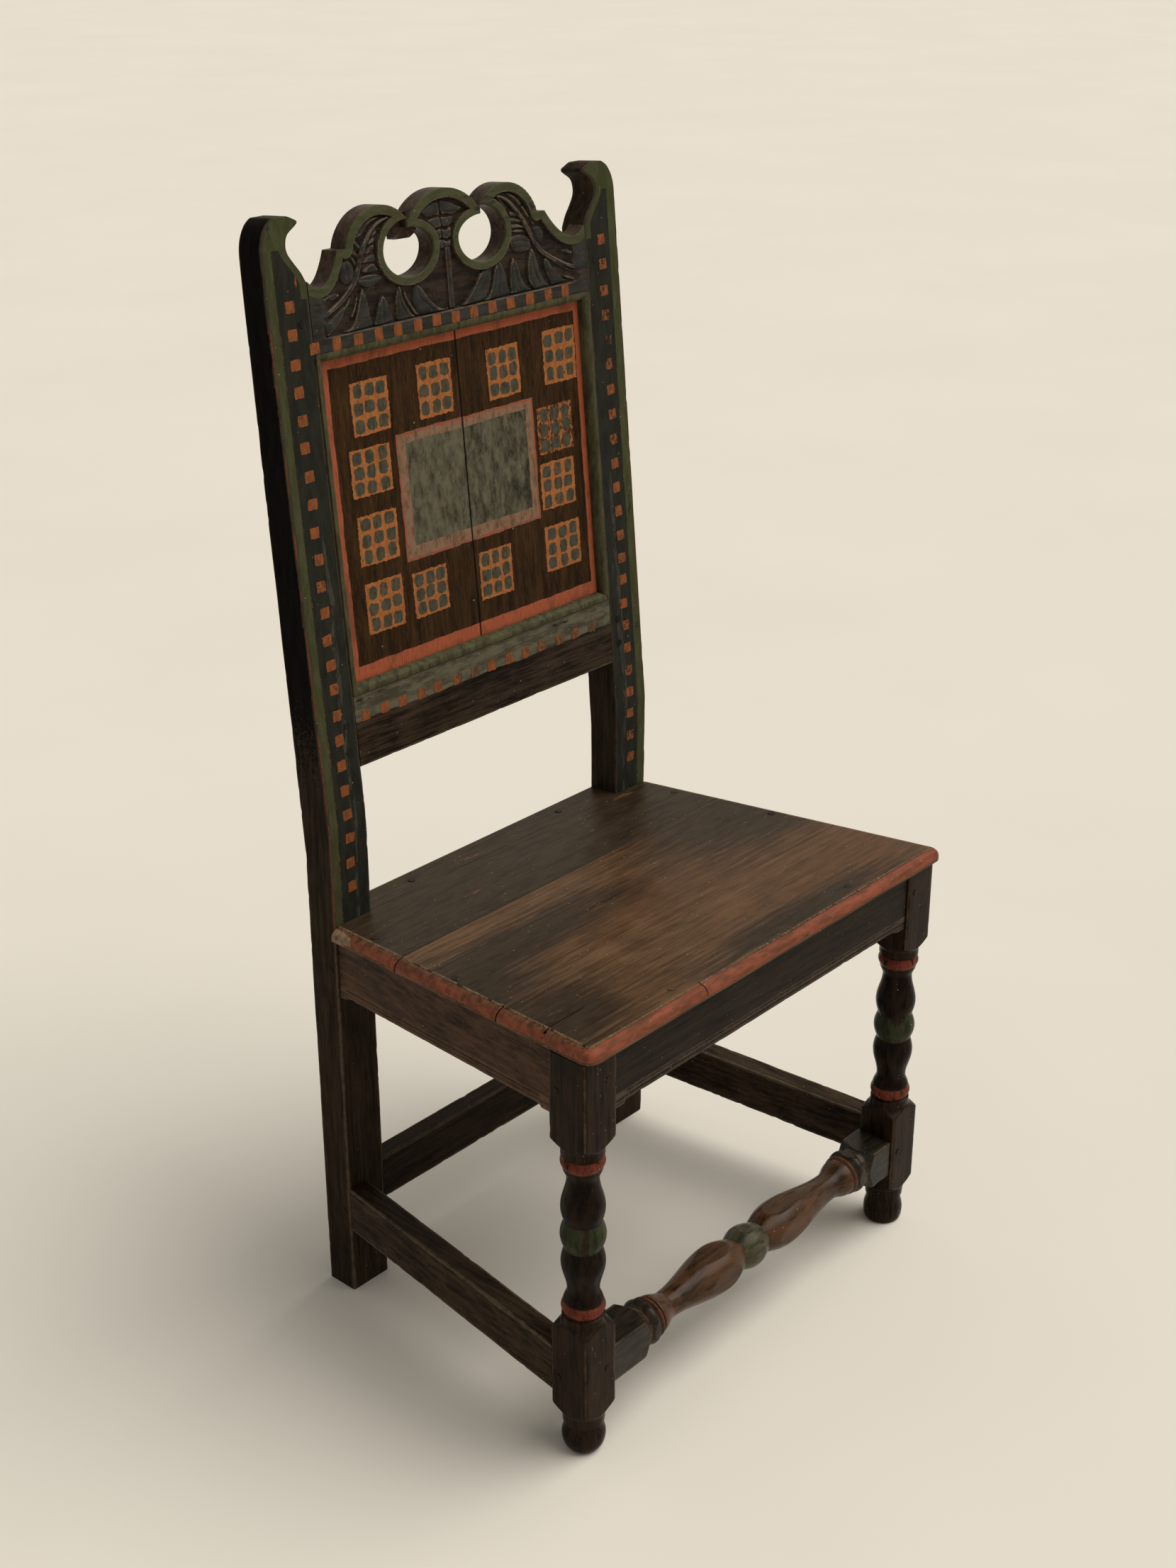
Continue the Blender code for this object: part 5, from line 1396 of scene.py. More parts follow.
@dataclass
class CrestRail:
    """Pierced and scalloped top rail with leaf carving on a sunk ground."""

    end: float = INNER_FACE - FIT
    shift: float = -0.0085
    band: float = 0.0125
    step_level: float = 0.542
    step_outer: float = 0.139
    cove_offset: float = 0.172
    cove_level: float = 0.512
    shoulder: float = 0.0665
    side_arch: tuple[float, float, float] = (0.0843, 0.5295, 0.046)
    centre_arch: tuple[float, float] = (0.5215, 0.059)
    eye: tuple[float, float, float] = (0.0495, 0.531, 0.0325)
    eye_rises: tuple[float, float, float] = (0.0275, 0.0195, 0.0257)
    edge_border: float = 9.0
    eye_border: float = 8.0
    ground: float = 4.4
    ground_end: float = 0.168
    spacing: float = 0.95 * MM
    tallest: float = 0.128
    lug_outline: Path = ((-0.0680, 0.5640), (-0.0665, 0.5400), (-0.0465, 0.5395), (-0.0375, 0.5440),
                         (-0.0360, 0.5640))
    lug_depths: tuple[float, float] = (0.0105, 0.0204)

    def half_top(self, side: int) -> Array:
        """Top of the rail on one side.

        Args:
            side: -1 for the left and 1 for the right.

        Returns:
            Points (x, level) from the middle to the shoulder.
        """
        offset, level, radius = self.side_arch
        centre_level, centre_radius = self.centre_arch
        rise = level - centre_level
        gap = math.hypot(offset, rise)
        along = (centre_radius ** 2 - radius ** 2 + gap ** 2) / (2 * gap)
        cusp = (along * offset - math.sqrt(centre_radius ** 2 - along ** 2) * rise) / gap
        x = np.linspace(0.0, cusp, 40, endpoint=False)
        arch = np.stack((x, centre_level + np.sqrt(centre_radius ** 2 - x ** 2)), axis=1)
        start = math.acos((cusp - offset) / radius)
        end = math.asin((self.step_level - level) / radius)
        angle = np.linspace(start, end, 90)
        small = np.stack((offset + radius * np.cos(angle), level + radius * np.sin(angle)), axis=1)
        top = np.concatenate((arch, small, ((self.step_outer, self.step_level),)))
        top = np.stack((self.shift + side * top[:, 0], top[:, 1]), axis=1)
        first = abs(self.shift + side * self.step_outer)
        x = np.linspace(first, self.cove_offset, 30)[1:]
        share = (self.cove_offset - x) / (self.cove_offset - first)
        fall = self.step_level - self.cove_level
        hollow = np.stack((side * x, self.cove_level + fall * share ** 2), axis=1)
        x = np.linspace(self.cove_offset, self.end, 16)[1:]
        share = (x - self.cove_offset) / (INNER_FACE - self.cove_offset)
        up = CREST_FOOT + self.shoulder - self.cove_level
        last = np.stack((side * x, self.cove_level + up * share ** 2), axis=1)
        return np.concatenate((top, hollow, last))

    def eye_loop(self, side: int) -> Array:
        """Outline of one pierced eye, whose half towards the middle rises less.

        Args:
            side: -1 for the left and 1 for the right.

        Returns:
            Its points (x, level).
        """
        offset, level, half = self.eye
        outer, inner, drop = self.eye_rises
        parts = []
        for start, height in ((0.0, outer), (0.5, inner), (1.0, drop), (1.5, drop)):
            angle = math.pi * (start + np.linspace(0.0, 0.5, 40, endpoint=start == 0.0))
            parts.append(np.stack((self.shift + side * (offset + np.cos(angle) * half),
                                   level + np.sin(angle) * height), axis=1))
        loop = np.concatenate(parts)
        return loop if side > 0 else loop[::-1]

    def carving(self, places: Array) -> Array:
        """Height of the carving.

        Args:
            places: flat places in millimetres.

        Returns:
            The height above the sunk ground at each, in millimetres.
        """
        flat = np.column_stack((places, np.zeros(len(places))))
        height = 0.45 * ripple(flat, 2.6, 31, 3) + 0.4 * ripple(flat, (7.0, 2.0, 1.0), 33, 2)
        for leaf in (*LEFT_LEAVES, *RIGHT_LEAVES, *HUSK_LEAVES):
            path = np.array(leaf.outline if isinstance(leaf, Petal) else leaf.path)
            beside = (places > path.min(axis=0) - 5.0) & (places < path.max(axis=0) + 5.0)
            near = np.flatnonzero(beside.all(axis=1))
            height[near] = np.maximum(height[near], leaf.relief(places[near]))
        for vein in VEINS:
            distance = segment_distance(places, smooth_path(vein, 6))[0]
            height -= 0.9 * np.exp(-(distance / 0.8) ** 2)
        return height

    def flat_mesh(self) -> tuple[Array, Faces, list[Array], Array, Array]:
        """Triangles over the rail's front view.

        Returns:
            Flat points, triangles, the indices of each outline, and each point's distance in millimetres to
            the scalloped top and to the eyes.
        """
        top = np.concatenate((self.half_top(-1)[::-1], self.half_top(1)[1:]))
        outer = np.concatenate((((-self.end, CREST_FOOT), (self.end, CREST_FOOT)), top[::-1]))
        outlines = [outer] + [self.eye_loop(side) for side in (-1, 1)]
        loops = [resample(outline, self.spacing) for outline in outlines]
        edge = np.concatenate(loops)
        across = np.arange(-self.end, self.end, self.spacing)
        up = np.arange(CREST_FOOT, CREST_FOOT + self.tallest, self.spacing * 0.866)
        grid = np.stack(np.meshgrid(across, up), axis=-1)
        grid[1::2, :, 0] += self.spacing / 2
        grid = grid.reshape(-1, 2)
        grid = grid[nearest(grid, edge) > 0.6 * self.spacing]
        points = np.concatenate((edge, grid[self.covers(grid, loops)]))
        edges = []
        rings = []
        start = 0
        for loop in loops:
            ids = np.arange(start, start + len(loop))
            edges += list(zip(ids.tolist(), np.roll(ids, -1).tolist()))
            rings.append(ids)
            start += len(loop)
        result = delaunay_2d_cdt([Vector(point) for point in points.tolist()], edges, [], 0, 1e-7)
        flat = np.array([tuple(point) for point in result[0]])
        faces = [tuple(face) for face in result[2]]
        middles = np.array([flat[list(face)].mean(axis=0) for face in faces])
        faces = [face for face, kept in zip(faces, self.covers(middles, loops)) if kept]
        return flat, faces, rings, nearest(flat, top) / MM, nearest(flat, np.concatenate(loops[1:])) / MM

    @staticmethod
    def covers(places: Array, loops: list[Array]) -> Array:
        """Which places are on the rail.

        Args:
            places: flat places.
            loops: the rail's outline and those of the eyes.

        Returns:
            True where a place is inside the first loop and outside the others.
        """
        hits = np.zeros(len(places), int)
        for loop in loops:
            after = np.roll(loop, -1, axis=0)
            for (x0, v0), (x1, v1) in zip(loop, after):
                if v0 == v1:
                    continue
                crosses = (places[:, 1] > min(v0, v1)) & (places[:, 1] <= max(v0, v1))
                at = x0 + (places[:, 1] - v0) * (x1 - x0) / (v1 - v0)
                hits += crosses & (places[:, 0] < at)
        return hits % 2 == 1

    def draft(self) -> Draft:
        """Shape of the carved rail.

        Returns:
            The rail with its painted zones.
        """
        flat, faces, rings, to_top, to_eye = self.flat_mesh()
        places = flat / MM
        sunk = np.minimum(np.minimum(to_top - self.edge_border, to_eye - self.eye_border),
                          places[:, 1] - (CREST_FOOT + self.band) / MM)
        ragged = 6.0 * ripple(np.column_stack((places, np.zeros(len(places)))), 7.0, 35, 3)
        ground = self.ground * ease(self.ground_end / MM - np.abs(places[:, 0]) + ragged, -9.0, 12.0)
        raised = np.minimum(self.carving(places), ground - 0.1) * ease(sunk, 0.1, 1.2)
        depth = ground * ease(sunk, -0.25, 0.6) - raised
        border = np.minimum(to_top, to_eye)
        depth += 0.9 * np.clip(1 - border / 1.1, 0.0, 1.0) ** 2
        count = len(flat)
        front = on_back(flat[:, 0], depth * MM, flat[:, 1])
        rear = on_back(flat[:, 0], np.full(count, BACK_RAIL_THICKNESS), flat[:, 1])
        all_faces = [face[::-1] for face in faces] + [tuple(i + count for i in face) for face in faces]
        points = [front, rear]
        total = 2 * count
        steps = np.linspace(0.0, 1.0, 6)[1:-1]
        for ring in rings:
            layers = [ring]
            for share in steps:
                level = depth[ring] * MM * (1 - share) + BACK_RAIL_THICKNESS * share
                points.append(on_back(flat[ring, 0], level, flat[ring, 1]))
                layers.append(np.arange(total, total + len(ring)))
                total += len(ring)
            layers.append(ring + count)
            for low, high in zip(layers, layers[1:]):
                quads = np.stack((low, np.roll(low, -1), np.roll(high, -1), high), axis=1)
                all_faces += [tuple(quad) for quad in quads.tolist()]
        draft = Draft(np.concatenate(points), all_faces)
        carved = np.where((sunk > 0) & (ground > 1.2), raised, 9.0)
        self.measure(draft, faces, depth, carved, to_top, to_eye)
        return draft

    def measure(self, draft: Draft, faces: Faces, depth: Array, raised: Array, to_top: Array,
                to_eye: Array) -> None:
        """Measure the wear and the painted zones of the carved front.

        Args:
            draft: the rail, whose first points are those of its front.
            faces: triangles of the front.
            depth: depth of the front's points in millimetres.
            raised: height of the carving in millimetres, 9 where there is none.
            to_top: distance to the scalloped top in millimetres.
            to_eye: distance to the eyes in millimetres.
        """
        count = len(depth)
        level = depth.copy()
        triangles = np.array([face[:3] for face in faces])
        for _ in range(3):
            total = np.zeros(count)
            shares = np.zeros(count)
            for a, b in ((0, 1), (1, 2), (2, 0)):
                for mine, other in ((a, b), (b, a)):
                    np.add.at(total, triangles[:, mine], level[triangles[:, other]])
                    np.add.at(shares, triangles[:, mine], 1)
            level = total / np.maximum(shares, 1)
        above = (back_places(draft.points[:count])[2] - CREST_FOOT - self.band) / MM
        border = np.maximum(self.edge_border - to_top, self.eye_border - to_eye)
        zones = {"wear": np.clip((level - depth) * 2.1, 0.0, 1.0) * (depth < 2.8),
                 "green": np.minimum(border, above + 0.3),
                 "ink": np.where(raised > 8.0, 3.0, (raised - 1.0) * 1.5),
                 "grime": np.where(raised > 8.0, UNPAINTED, 1.2 - raised)}
        rest = len(draft.points) - count
        for key, zone in zones.items():
            draft.values[key] = np.concatenate((zone, np.full(rest, 0.0 if key == "wear" else UNPAINTED)))

    def lug(self) -> Draft:
        """Small block left behind the left eye's top.

        Returns:
            Its shape.
        """
        outline = np.array(self.lug_outline)
        depths = np.linspace(*self.lug_depths, 8)
        corners = np.stack([on_back(outline[:, 0], depth, outline[:, 1]) for depth in depths])
        return worn_bar(corners, np.full(corners.shape[:2], 0.8 * MM), (6, 6, 4, 6, 6), 3)

    def make(self) -> None:
        """Make the finished rail and its lug."""
        make_piece(self.draft(), "carved_crest", OAK_CREST, ("crest_rail",),
                   Weather(0.10 * MM, (0.02, 0.02, 0.02), 0.0, 5), 50.0)
        make_piece(self.lug(), "crest_lug", OAK_CREST, (), Weather(seed=6))


@dataclass
class LowerBackRail:
    """Plain rail under the panel, with a painted strip along its top."""

    strip_foot: float = 0.097

    def make(self) -> None:
        """Make the finished rail."""
        x = np.linspace(-INNER_FACE + FIT, INNER_FACE - FIT, 130)
        section = ((0.0, LOWER_RAIL_FOOT), (0.0, LOWER_RAIL_TOP), (BACK_RAIL_THICKNESS, LOWER_RAIL_TOP),
                   (BACK_RAIL_THICKNESS, LOWER_RAIL_FOOT))
        corners = np.stack([on_back(x, depth, level) for depth, level in section], axis=1)
        draft = worn_bar(corners, (1.5 + uneven(corners, (0.05, 0.03, 0.03), 41)) * MM, (30, 8, 20, 8))
        _, depth, level = back_places(draft.points)
        draft.values["grey"] = np.where(depth < 2 * MM, (level - self.strip_foot) / MM, UNPAINTED)
        make_piece(draft, "lower_rail", OAK_LOWER, ("lower_back_rail",),
                   Weather(0.22 * MM, (0.10, 0.02, 0.018), 0.7 * MM, 43))


@dataclass
class BackPanel:
    """Two painted boards behind four mitred mouldings."""

    board_thickness: float = 0.009
    tongue: float = 0.006
    strip: float = 0.009
    proud: float = 0.0012
    flat: float = 0.0032
    edge: float = 0.0017

    def board(self, name: str, side: int) -> None:
        """Make one board.

        Args:
            name: left or right.
            side: -1 for the left and 1 for the right.
        """
        level = np.linspace(LOWER_RAIL_TOP - self.tongue, CREST_FOOT + self.tongue, 90)
        joint = side * FIT / 2
        far = side * (INNER_FACE + self.tongue)
        rear = PANEL_RECESS + self.board_thickness
        section = ((joint, PANEL_RECESS), (far, PANEL_RECESS), (far, rear), (joint, rear))
        corners = np.stack([on_back(x, depth, level) for x, depth in section], axis=1)
        radii = np.array((0.9, 0.5, 0.8, 0.9)) * MM * (1 + 0.5 * uneven(corners, 0.05, 51 + side))
        draft = worn_bar(corners, radii, (40, 3, 20, 3))
        depth = back_places(draft.points)[1]
        draft.values["grime"] = 0.7 - np.abs(draft.points[:, 0]) / MM
        draft.values["face"] = (PANEL_RECESS + self.board_thickness / 2 - depth) / MM
        make_piece(draft, f"panel_{name}", PANEL, (f"panel_board_{name}",),
                   Weather(0.10 * MM, (0.03, 0.05, 0.25), 0.0, 53 + side))

    def moulding(self, name: str, start: Vector, end: Vector, inward: Vector) -> None:
        """Make one mitred strip.

        Args:
            name: the side of the panel that it is on.
            start: corner of the frame where it starts, as (x, level).
            end: corner where it ends.
            inward: direction to the middle of the panel.
        """
        deep = PANEL_RECESS - FIT
        fall = deep - self.edge + self.proud
        profile = [(FIT, -self.proud), (self.flat - 0.4 * MM, -self.proud)]
        for angle in np.linspace(0.0, math.pi / 2, 10):
            profile.append((self.flat + (self.strip - self.flat) * math.sin(angle) ** 1.15,
                            fall * (1 - math.cos(angle)) - self.proud))
        profile += [(self.strip, deep), (FIT, deep)]
        along = (end - start).normalized()
        rings = []
        for corner, way in ((start, along), (end, -along)):
            ring = [corner + inward * width + way * (width + FIT) for width, _ in profile]
            rings.append(on_back(np.array([at.x for at in ring]), np.array([down for _, down in profile]),
                                 np.array([at.y for at in ring])))
        share = np.linspace(0.0, 1.0, 90)[:, None, None]
        corners = rings[0] * (1 - share) + rings[1] * share
        radii = np.full(corners.shape[:2], 0.25 * MM)
        radii[:, 1] = 0.6 * MM
        draft = worn_bar(corners, radii, (4,) + (1,) * (len(profile) - 3) + (2, 3), 2)
        proud = back_places(draft.points)[1] < -0.7 * MM
        draft.values["wear"] = np.where(proud, 0.75, 0.0)
        draft.values["green"] = np.full(len(draft.points), 5.0)
        make_piece(draft, f"moulding_{name}", GREEN_STRIP, (f"panel_moulding_{name}",),
                   Weather(0.10 * MM, (0.02, 0.02, 0.02), 0.25 * MM, 60 + len(name)), 50.0)

    def make(self) -> None:
        """Make both boards and the four mouldings."""
        for name, side in SIDES:
            self.board(name, side)
        low_left, low_right = (Vector((x, LOWER_RAIL_TOP)) for x in (-INNER_FACE, INNER_FACE))
        top_left, top_right = (Vector((x, CREST_FOOT)) for x in (-INNER_FACE, INNER_FACE))
        self.moulding("bottom", low_left, low_right, Vector((0, 1)))
        self.moulding("top", top_left, top_right, Vector((0, -1)))
        self.moulding("left", low_left, top_left, Vector((1, 0)))
        self.moulding("right", low_right, top_right, Vector((-1, 0)))


# Painted marks

class Shape(Enum):
    """Form of a painted mark, as how far its corners are rounded."""

    BLOCK = 0.03
    SQUARE = 0.16
    DOT = 0.62


@dataclass(frozen=True)
class Mark:
    """One painted mark: middle and size in millimetres, turn in degrees and how far it has faded."""

    x: float
    level: float
    width: float
    height: float
    turn: float = 0.0
    fade: float = 0.0


class MarkTree(NodeTree):
    """Geometry Nodes tree that lays thin uneven patches of paint at points of a flat drawing."""

    NAME = "painted marks"
    INPUTS = {"Roundness": "Float", "Thickness": "Float", "Wobble": "Float", "Wobble Scale": "Float",
              "Edge Points": "Int", "Seed": "Float", "Lean": "Float", "Place": "Vector",
              "Paint": "Material"}

    def __init__(self) -> None:
        """Build the tree with its named inputs."""
        self.tree = bpy.data.node_groups.new(self.NAME, "GeometryNodeTree")
        super().__init__(self.tree)
        face = self.tree.interface
        face.new_socket("Geometry", in_out="INPUT", socket_type="NodeSocketGeometry")
        self.sockets = {}
        for name, kind in self.INPUTS.items():
            made = face.new_socket(name, in_out="INPUT", socket_type=f"NodeSocket{kind}")
            self.sockets[name] = made.identifier
        face.new_socket("Geometry", in_out="OUTPUT", socket_type="NodeSocketGeometry")
        self.draw()

    def named(self, name: str, kind: str) -> Socket:
        """One of the points' named attributes."""
        return self.out("GeometryNodeInputNamedAttribute", {"Name": name}, data_type=kind)

    def drawn_in(self, along: Socket, across: Socket, share: Socket) -> Socket:
        """Coordinate of a unit square's point with the corners rounded by a share."""
        squared = self.times(self.times(across, across), self.times(share, 2.0))
        return self.times(along, self.math("SQRT", self.math("SUBTRACT", 1.0, squared)))

    def draw(self) -> None:
        """Draw the nodes: a rounded square laid at each point, made uneven, thickened and leaned back."""
        given = self.add("NodeGroupInput").outputs
        points = given["Edge Points"]
        square = self.out("GeometryNodeMeshGrid", {"Size X": 1.0, "Size Y": 1.0, "Vertices X": points,
                                                   "Vertices Y": points})
        place = self.add("ShaderNodeSeparateXYZ", {0: self.out("GeometryNodeInputPosition")}).outputs
        rounded = [self.drawn_in(place[axis], place[1 - axis], given["Roundness"]) for axis in (0, 1)]
        corners = self.out("ShaderNodeCombineXYZ", {"X": rounded[0], "Y": rounded[1]})
        shape = self.out("GeometryNodeSetPosition", {"Geometry": square, "Position": corners})
        turn = self.out("ShaderNodeCombineXYZ", {"Z": self.named("turn", "FLOAT")})
        laid = self.out("GeometryNodeInstanceOnPoints", {
            "Points": given["Geometry"], "Instance": shape, "Rotation": turn,
            "Scale": self.named("spread", "FLOAT_VECTOR")})
        real = self.out("GeometryNodeRealizeInstances", {"Geometry": laid})
        noise = self.add("ShaderNodeTexNoise", {
            "Vector": self.out("GeometryNodeInputPosition"), "W": given["Seed"],
            "Scale": given["Wobble Scale"], "Detail": 3.0}, noise_dimensions="4D")
        moved = noise.outputs["Color"]
        for operation, vector in (("SUBTRACT", (0.5, 0.5, 0.5)), ("MULTIPLY", (1.0, 1.0, 0.0))):
            moved = self.out("ShaderNodeVectorMath", {0: moved, 1: vector}, operation=operation)
        moved = self.out("ShaderNodeVectorMath", {0: moved, "Scale": given["Wobble"]}, operation="SCALE")
        wavy = self.out("GeometryNodeSetPosition", {"Geometry": real, "Offset": moved})
        up = self.out("ShaderNodeCombineXYZ", {"Z": given["Thickness"]})
        raised = self.out("GeometryNodeExtrudeMesh", {"Mesh": wavy, "Offset": up, "Individual": False})
        under = self.out("GeometryNodeFlipFaces", {"Mesh": wavy})
        both = self.add("GeometryNodeJoinGeometry")
        for part in (raised, under):
            self.links.new(part, both.inputs[0])
        whole = self.out("GeometryNodeMergeByDistance", {"Geometry": both.outputs[0], "Distance": 1e-6})
        lean = self.out("ShaderNodeCombineXYZ", {"X": given["Lean"]})
        leaned = self.out("GeometryNodeTransform", {"Geometry": whole, "Translation": given["Place"],
                                                    "Rotation": lean})
        final = self.out("GeometryNodeRealizeInstances", {"Geometry": leaned})
        painted = self.out("GeometryNodeSetMaterial", {"Geometry": final, "Material": given["Paint"]})
        self.add("NodeGroupOutput", {0: painted})

    def lay(self, name: str, marks: list[Mark], shape: Shape, lift: float, wobble: float, seed: int,
            finish: MarkFinish, points: int = 13, upright: bool = False) -> None:
        """Lay painted marks on the back, as a plain mesh.

        Args:
            name: name of the piece.
            marks: what is painted.
            shape: form of the marks.
            lift: depth of the painted surface behind the front of the back.
            wobble: how uneven the edges are.
            seed: which unevenness.
            finish: the paint.
            points: points along a mark's edge.
            upright: whether the marks are on the upright part of the posts, below the bend.
        """
        mesh = bpy.data.meshes.new(name)
        mesh.from_pydata([(mark.x * MM, mark.level * MM, 0.0) for mark in marks], [], [])
        spread = np.array([(mark.width * MM, mark.height * MM, 1.0) for mark in marks], np.float32)
        spreads = mesh.attributes.new("spread", "FLOAT_VECTOR", "POINT")
        spreads.data.foreach_set("vector", spread.reshape(-1))
        columns = {"turn": [math.radians(mark.turn) for mark in marks],
                   "fade": [mark.fade for mark in marks]}
        for key, column in columns.items():
            numbers = mesh.attributes.new(key, "FLOAT", "POINT")
            numbers.data.foreach_set("value", np.array(column, np.float32))
        piece = put(name, mesh)
        modifier = piece.modifiers.new("marks", "NODES")
        modifier.node_group = self.tree
        lean = 0.0 if upright else RAKE
        deep = lift + 0.1 * MM
        place = (0.0, POST_FRONT + deep * math.cos(lean), BEND_HEIGHT - deep * math.sin(lean))
        values = {"Roundness": shape.value, "Thickness": 0.3 * MM, "Wobble": wobble, "Wobble Scale": 260.0,
                  "Edge Points": points, "Seed": float(seed), "Lean": math.pi / 2 - lean, "Place": place,
                  "Paint": finish.material()}
        for key, value in values.items():
            modifier[self.sockets[key]] = value
        bpy.context.view_layer.update()
        done = piece.evaluated_get(bpy.context.evaluated_depsgraph_get())
        plain = bpy.data.meshes.new_from_object(done)
        piece.modifiers.remove(modifier)
        piece.data = plain
        plain.name = name
        if not plain.materials:
            plain.materials.append(finish.material())
        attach(piece, "root")
        LOG.info("%s: %d marks", name, len(marks))


@dataclass
class PaintedPattern:
    """Rows of orange squares on the frame of the back and dotted blocks on its panel, in millimetres."""

    square: float = 11.2
    stile_levels: tuple[float, ...] = (501, 476, 449, 424, 398, 373, 346, 320, 293, 267, 241, 215, 188, 163,
                                       139, 112, 87, 61, 35, 10, -15, -42, -68)
    crest_places: tuple[float, ...] = (-187, -160, -133, -107, -82, -56, -31, -5, 20, 46, 72, 100, 127, 152)
    lower_places: Path = (
        (-174, 0.3), (-148, 0.1), (-124, 0.15), (-98, 0.45), (-75, 0.4), (-47, 0.5), (-22, 0.6), (2, 0.2),
        (28, 0.25), (53, 0.35), (78, 0.45), (106, 0.5), (130, 0.5), (157, 0.6))
    crest_level: float = 459.5
    lower_level: float = 102.0
    lost_square: int = 4
    blocks: tuple[Box, ...] = (
        (-153, -105, 370, 421), (-66, -20, 370, 423), (30, 76, 370, 421), (112, 160, 370, 425),
        (-162, -110, 312, 358), (-161, -110, 245, 294), (-160, -111, 177, 228), (-97, -50, 177, 223),
        (-4, 43, 171, 221), (95, 148, 176, 224), (95, 146, 242, 291), (96, 148, 300, 349))
    parallax: tuple[float, float] = (10.0, -2.5)
    seed: int = 7

    def jitter(self, count: int, size: float, shift: int) -> Array:
        """Small repeatable offsets."""
        return np.random.default_rng(self.seed + shift).uniform(-size, size, count)

    def stile(self, side: int) -> list[Mark]:
        """Squares up one stile.

        Args:
            side: -1 for the left and 1 for the right.

        Returns:
            The marks from the top down.
        """
        count = len(self.stile_levels)
        moves = self.jitter(count, 0.9, 10 + side)
        turns = self.jitter(count, 3.5, 20 + side)
        sizes = self.jitter(count, 0.8, 30 + side)
        fades = np.clip(self.jitter(count, 0.18, 40 + side) + 0.22 + 0.12 * side, 0.0, 1.0)
        centre = 211.0 if side < 0 else 211.5
        marks = []
        for i, level in enumerate(self.stile_levels):
            fade = 0.8 if side > 0 and i == self.lost_square else float(fades[i])
            marks.append(Mark(side * centre + moves[i], level + 1.5 * (side > 0), self.square + sizes[i],
                              self.square - 0.4 - 0.5 * sizes[i], turns[i], fade))
        return marks

    def row(self, places: Path, level: float, shift: int) -> list[Mark]:
        """Squares along a rail.

        Args:
            places: place across and fading of each.
            level: level of the row.
            shift: which offsets they get.

        Returns:
            The marks from left to right.
        """
        count = len(places)
        moves = self.jitter(count, 0.6, shift)
        turns = self.jitter(count, 3.0, shift + 1)
        sizes = self.jitter(count, 0.7, shift + 2)
        return [Mark(x, level + moves[i], self.square + sizes[i], self.square - sizes[i], turns[i], fade)
                for i, (x, fade) in enumerate(places)]

    def panel_blocks(self) -> list[Mark]:
        """Orange blocks of the panel.

        Returns:
            The marks.
        """
        turns = self.jitter(len(self.blocks), 1.2, 50)
        marks = []
        for i, (left, right, low, high) in enumerate(self.blocks):
            fade = 0.55 if i == len(self.blocks) - 1 else 0.12
            marks.append(Mark((left + right) / 2 + self.parallax[0], (low + high) / 2 + self.parallax[1],
                              right - left, high - low, turns[i], fade))
        return marks

    def panel_dots(self) -> list[Mark]:
        """Nine dots on each block.

        Returns:
            The marks, block by block.
        """
        count = 9 * len(self.blocks)
        moves = self.jitter(2 * count, 0.9, 60)
        sizes = self.jitter(count, 1.5, 61)
        fades = np.clip(self.jitter(count, 0.35, 62) + 0.12, 0.0, 1.0)
        marks = []
        for block in self.panel_blocks():
            for row in (-1, 0, 1):
                for column in (-1, 0, 1):
                    i = len(marks)
                    fade = float(fades[i]) * (1 - block.fade)
                    marks.append(Mark(block.x + column * block.width * 0.315 + moves[2 * i],
                                      block.level + row * block.height * 0.315 + moves[2 * i + 1],
                                      11.8 + sizes[i], 12.8 - 0.6 * sizes[i], 0.0, fade))
        return marks

    def make(self) -> None:
        """Paint every mark."""
        tree = MarkTree()
        for name, side in SIDES:
            marks = self.stile(side)
            for part, upright, seed in (("stile", False, 3), ("post", True, 5)):
                chosen = [mark for mark in marks if (mark.level < 0) == upright]
                tree.lay(f"squares_{name}_{part}", chosen, Shape.SQUARE, 0.0, 2.2 * MM, seed + side,
                         STILE_MARK, upright=upright)
        crest = tuple((x, 0.1 if i % 4 else 0.3) for i, x in enumerate(self.crest_places))
        crest_row = self.row(crest, self.crest_level, 70)
        lower_row = self.row(self.lower_places, self.lower_level, 80)
        tree.lay("squares_crest", crest_row, Shape.SQUARE, 0.0, 2.2 * MM, 8, STILE_MARK)
        tree.lay("squares_lower_rail", lower_row, Shape.SQUARE, 0.0, 2.4 * MM, 9, LOWER_MARK)
        tree.lay("panel_blocks", self.panel_blocks(), Shape.BLOCK, PANEL_RECESS, 4.6 * MM, 10,
                 ORANGE_MARK, 41)
        tree.lay("panel_dots", self.panel_dots(), Shape.DOT, PANEL_RECESS - 0.12 * MM, 5.0 * MM, 11,
                 DOT_MARK, 15)


# Turned pieces

def turned_rings(profile: Profile, half: float, sides: int = 112) -> Array:
    """Rings of a square billet turned to a profile.

    Args:
        profile: (distance, radius) along the axis.
        half: half of the billet's side.
        sides: points of a ring.

    Returns:
        Rings as (first across, second across, distance).
    """
    line = np.array(profile)
    angle = 2 * math.pi * np.arange(sides) / sides + math.pi / 4
    cos, sin = np.abs(np.cos(angle)), np.abs(np.sin(angle))
    square = half / (cos ** 22 + sin ** 22) ** (1 / 22)
    radius = line[:, 1][:, None]
    blend = 0.25 * MM
    gap = np.clip((radius - square) / blend, -1.0, 1.0)
    reach = np.minimum(radius, square) - 0.25 * blend * (1 - np.abs(gap)) ** 2
    return np.stack((reach * np.cos(angle), reach * np.sin(angle),
                     np.broadcast_to(line[:, 0][:, None], reach.shape)), axis=2)


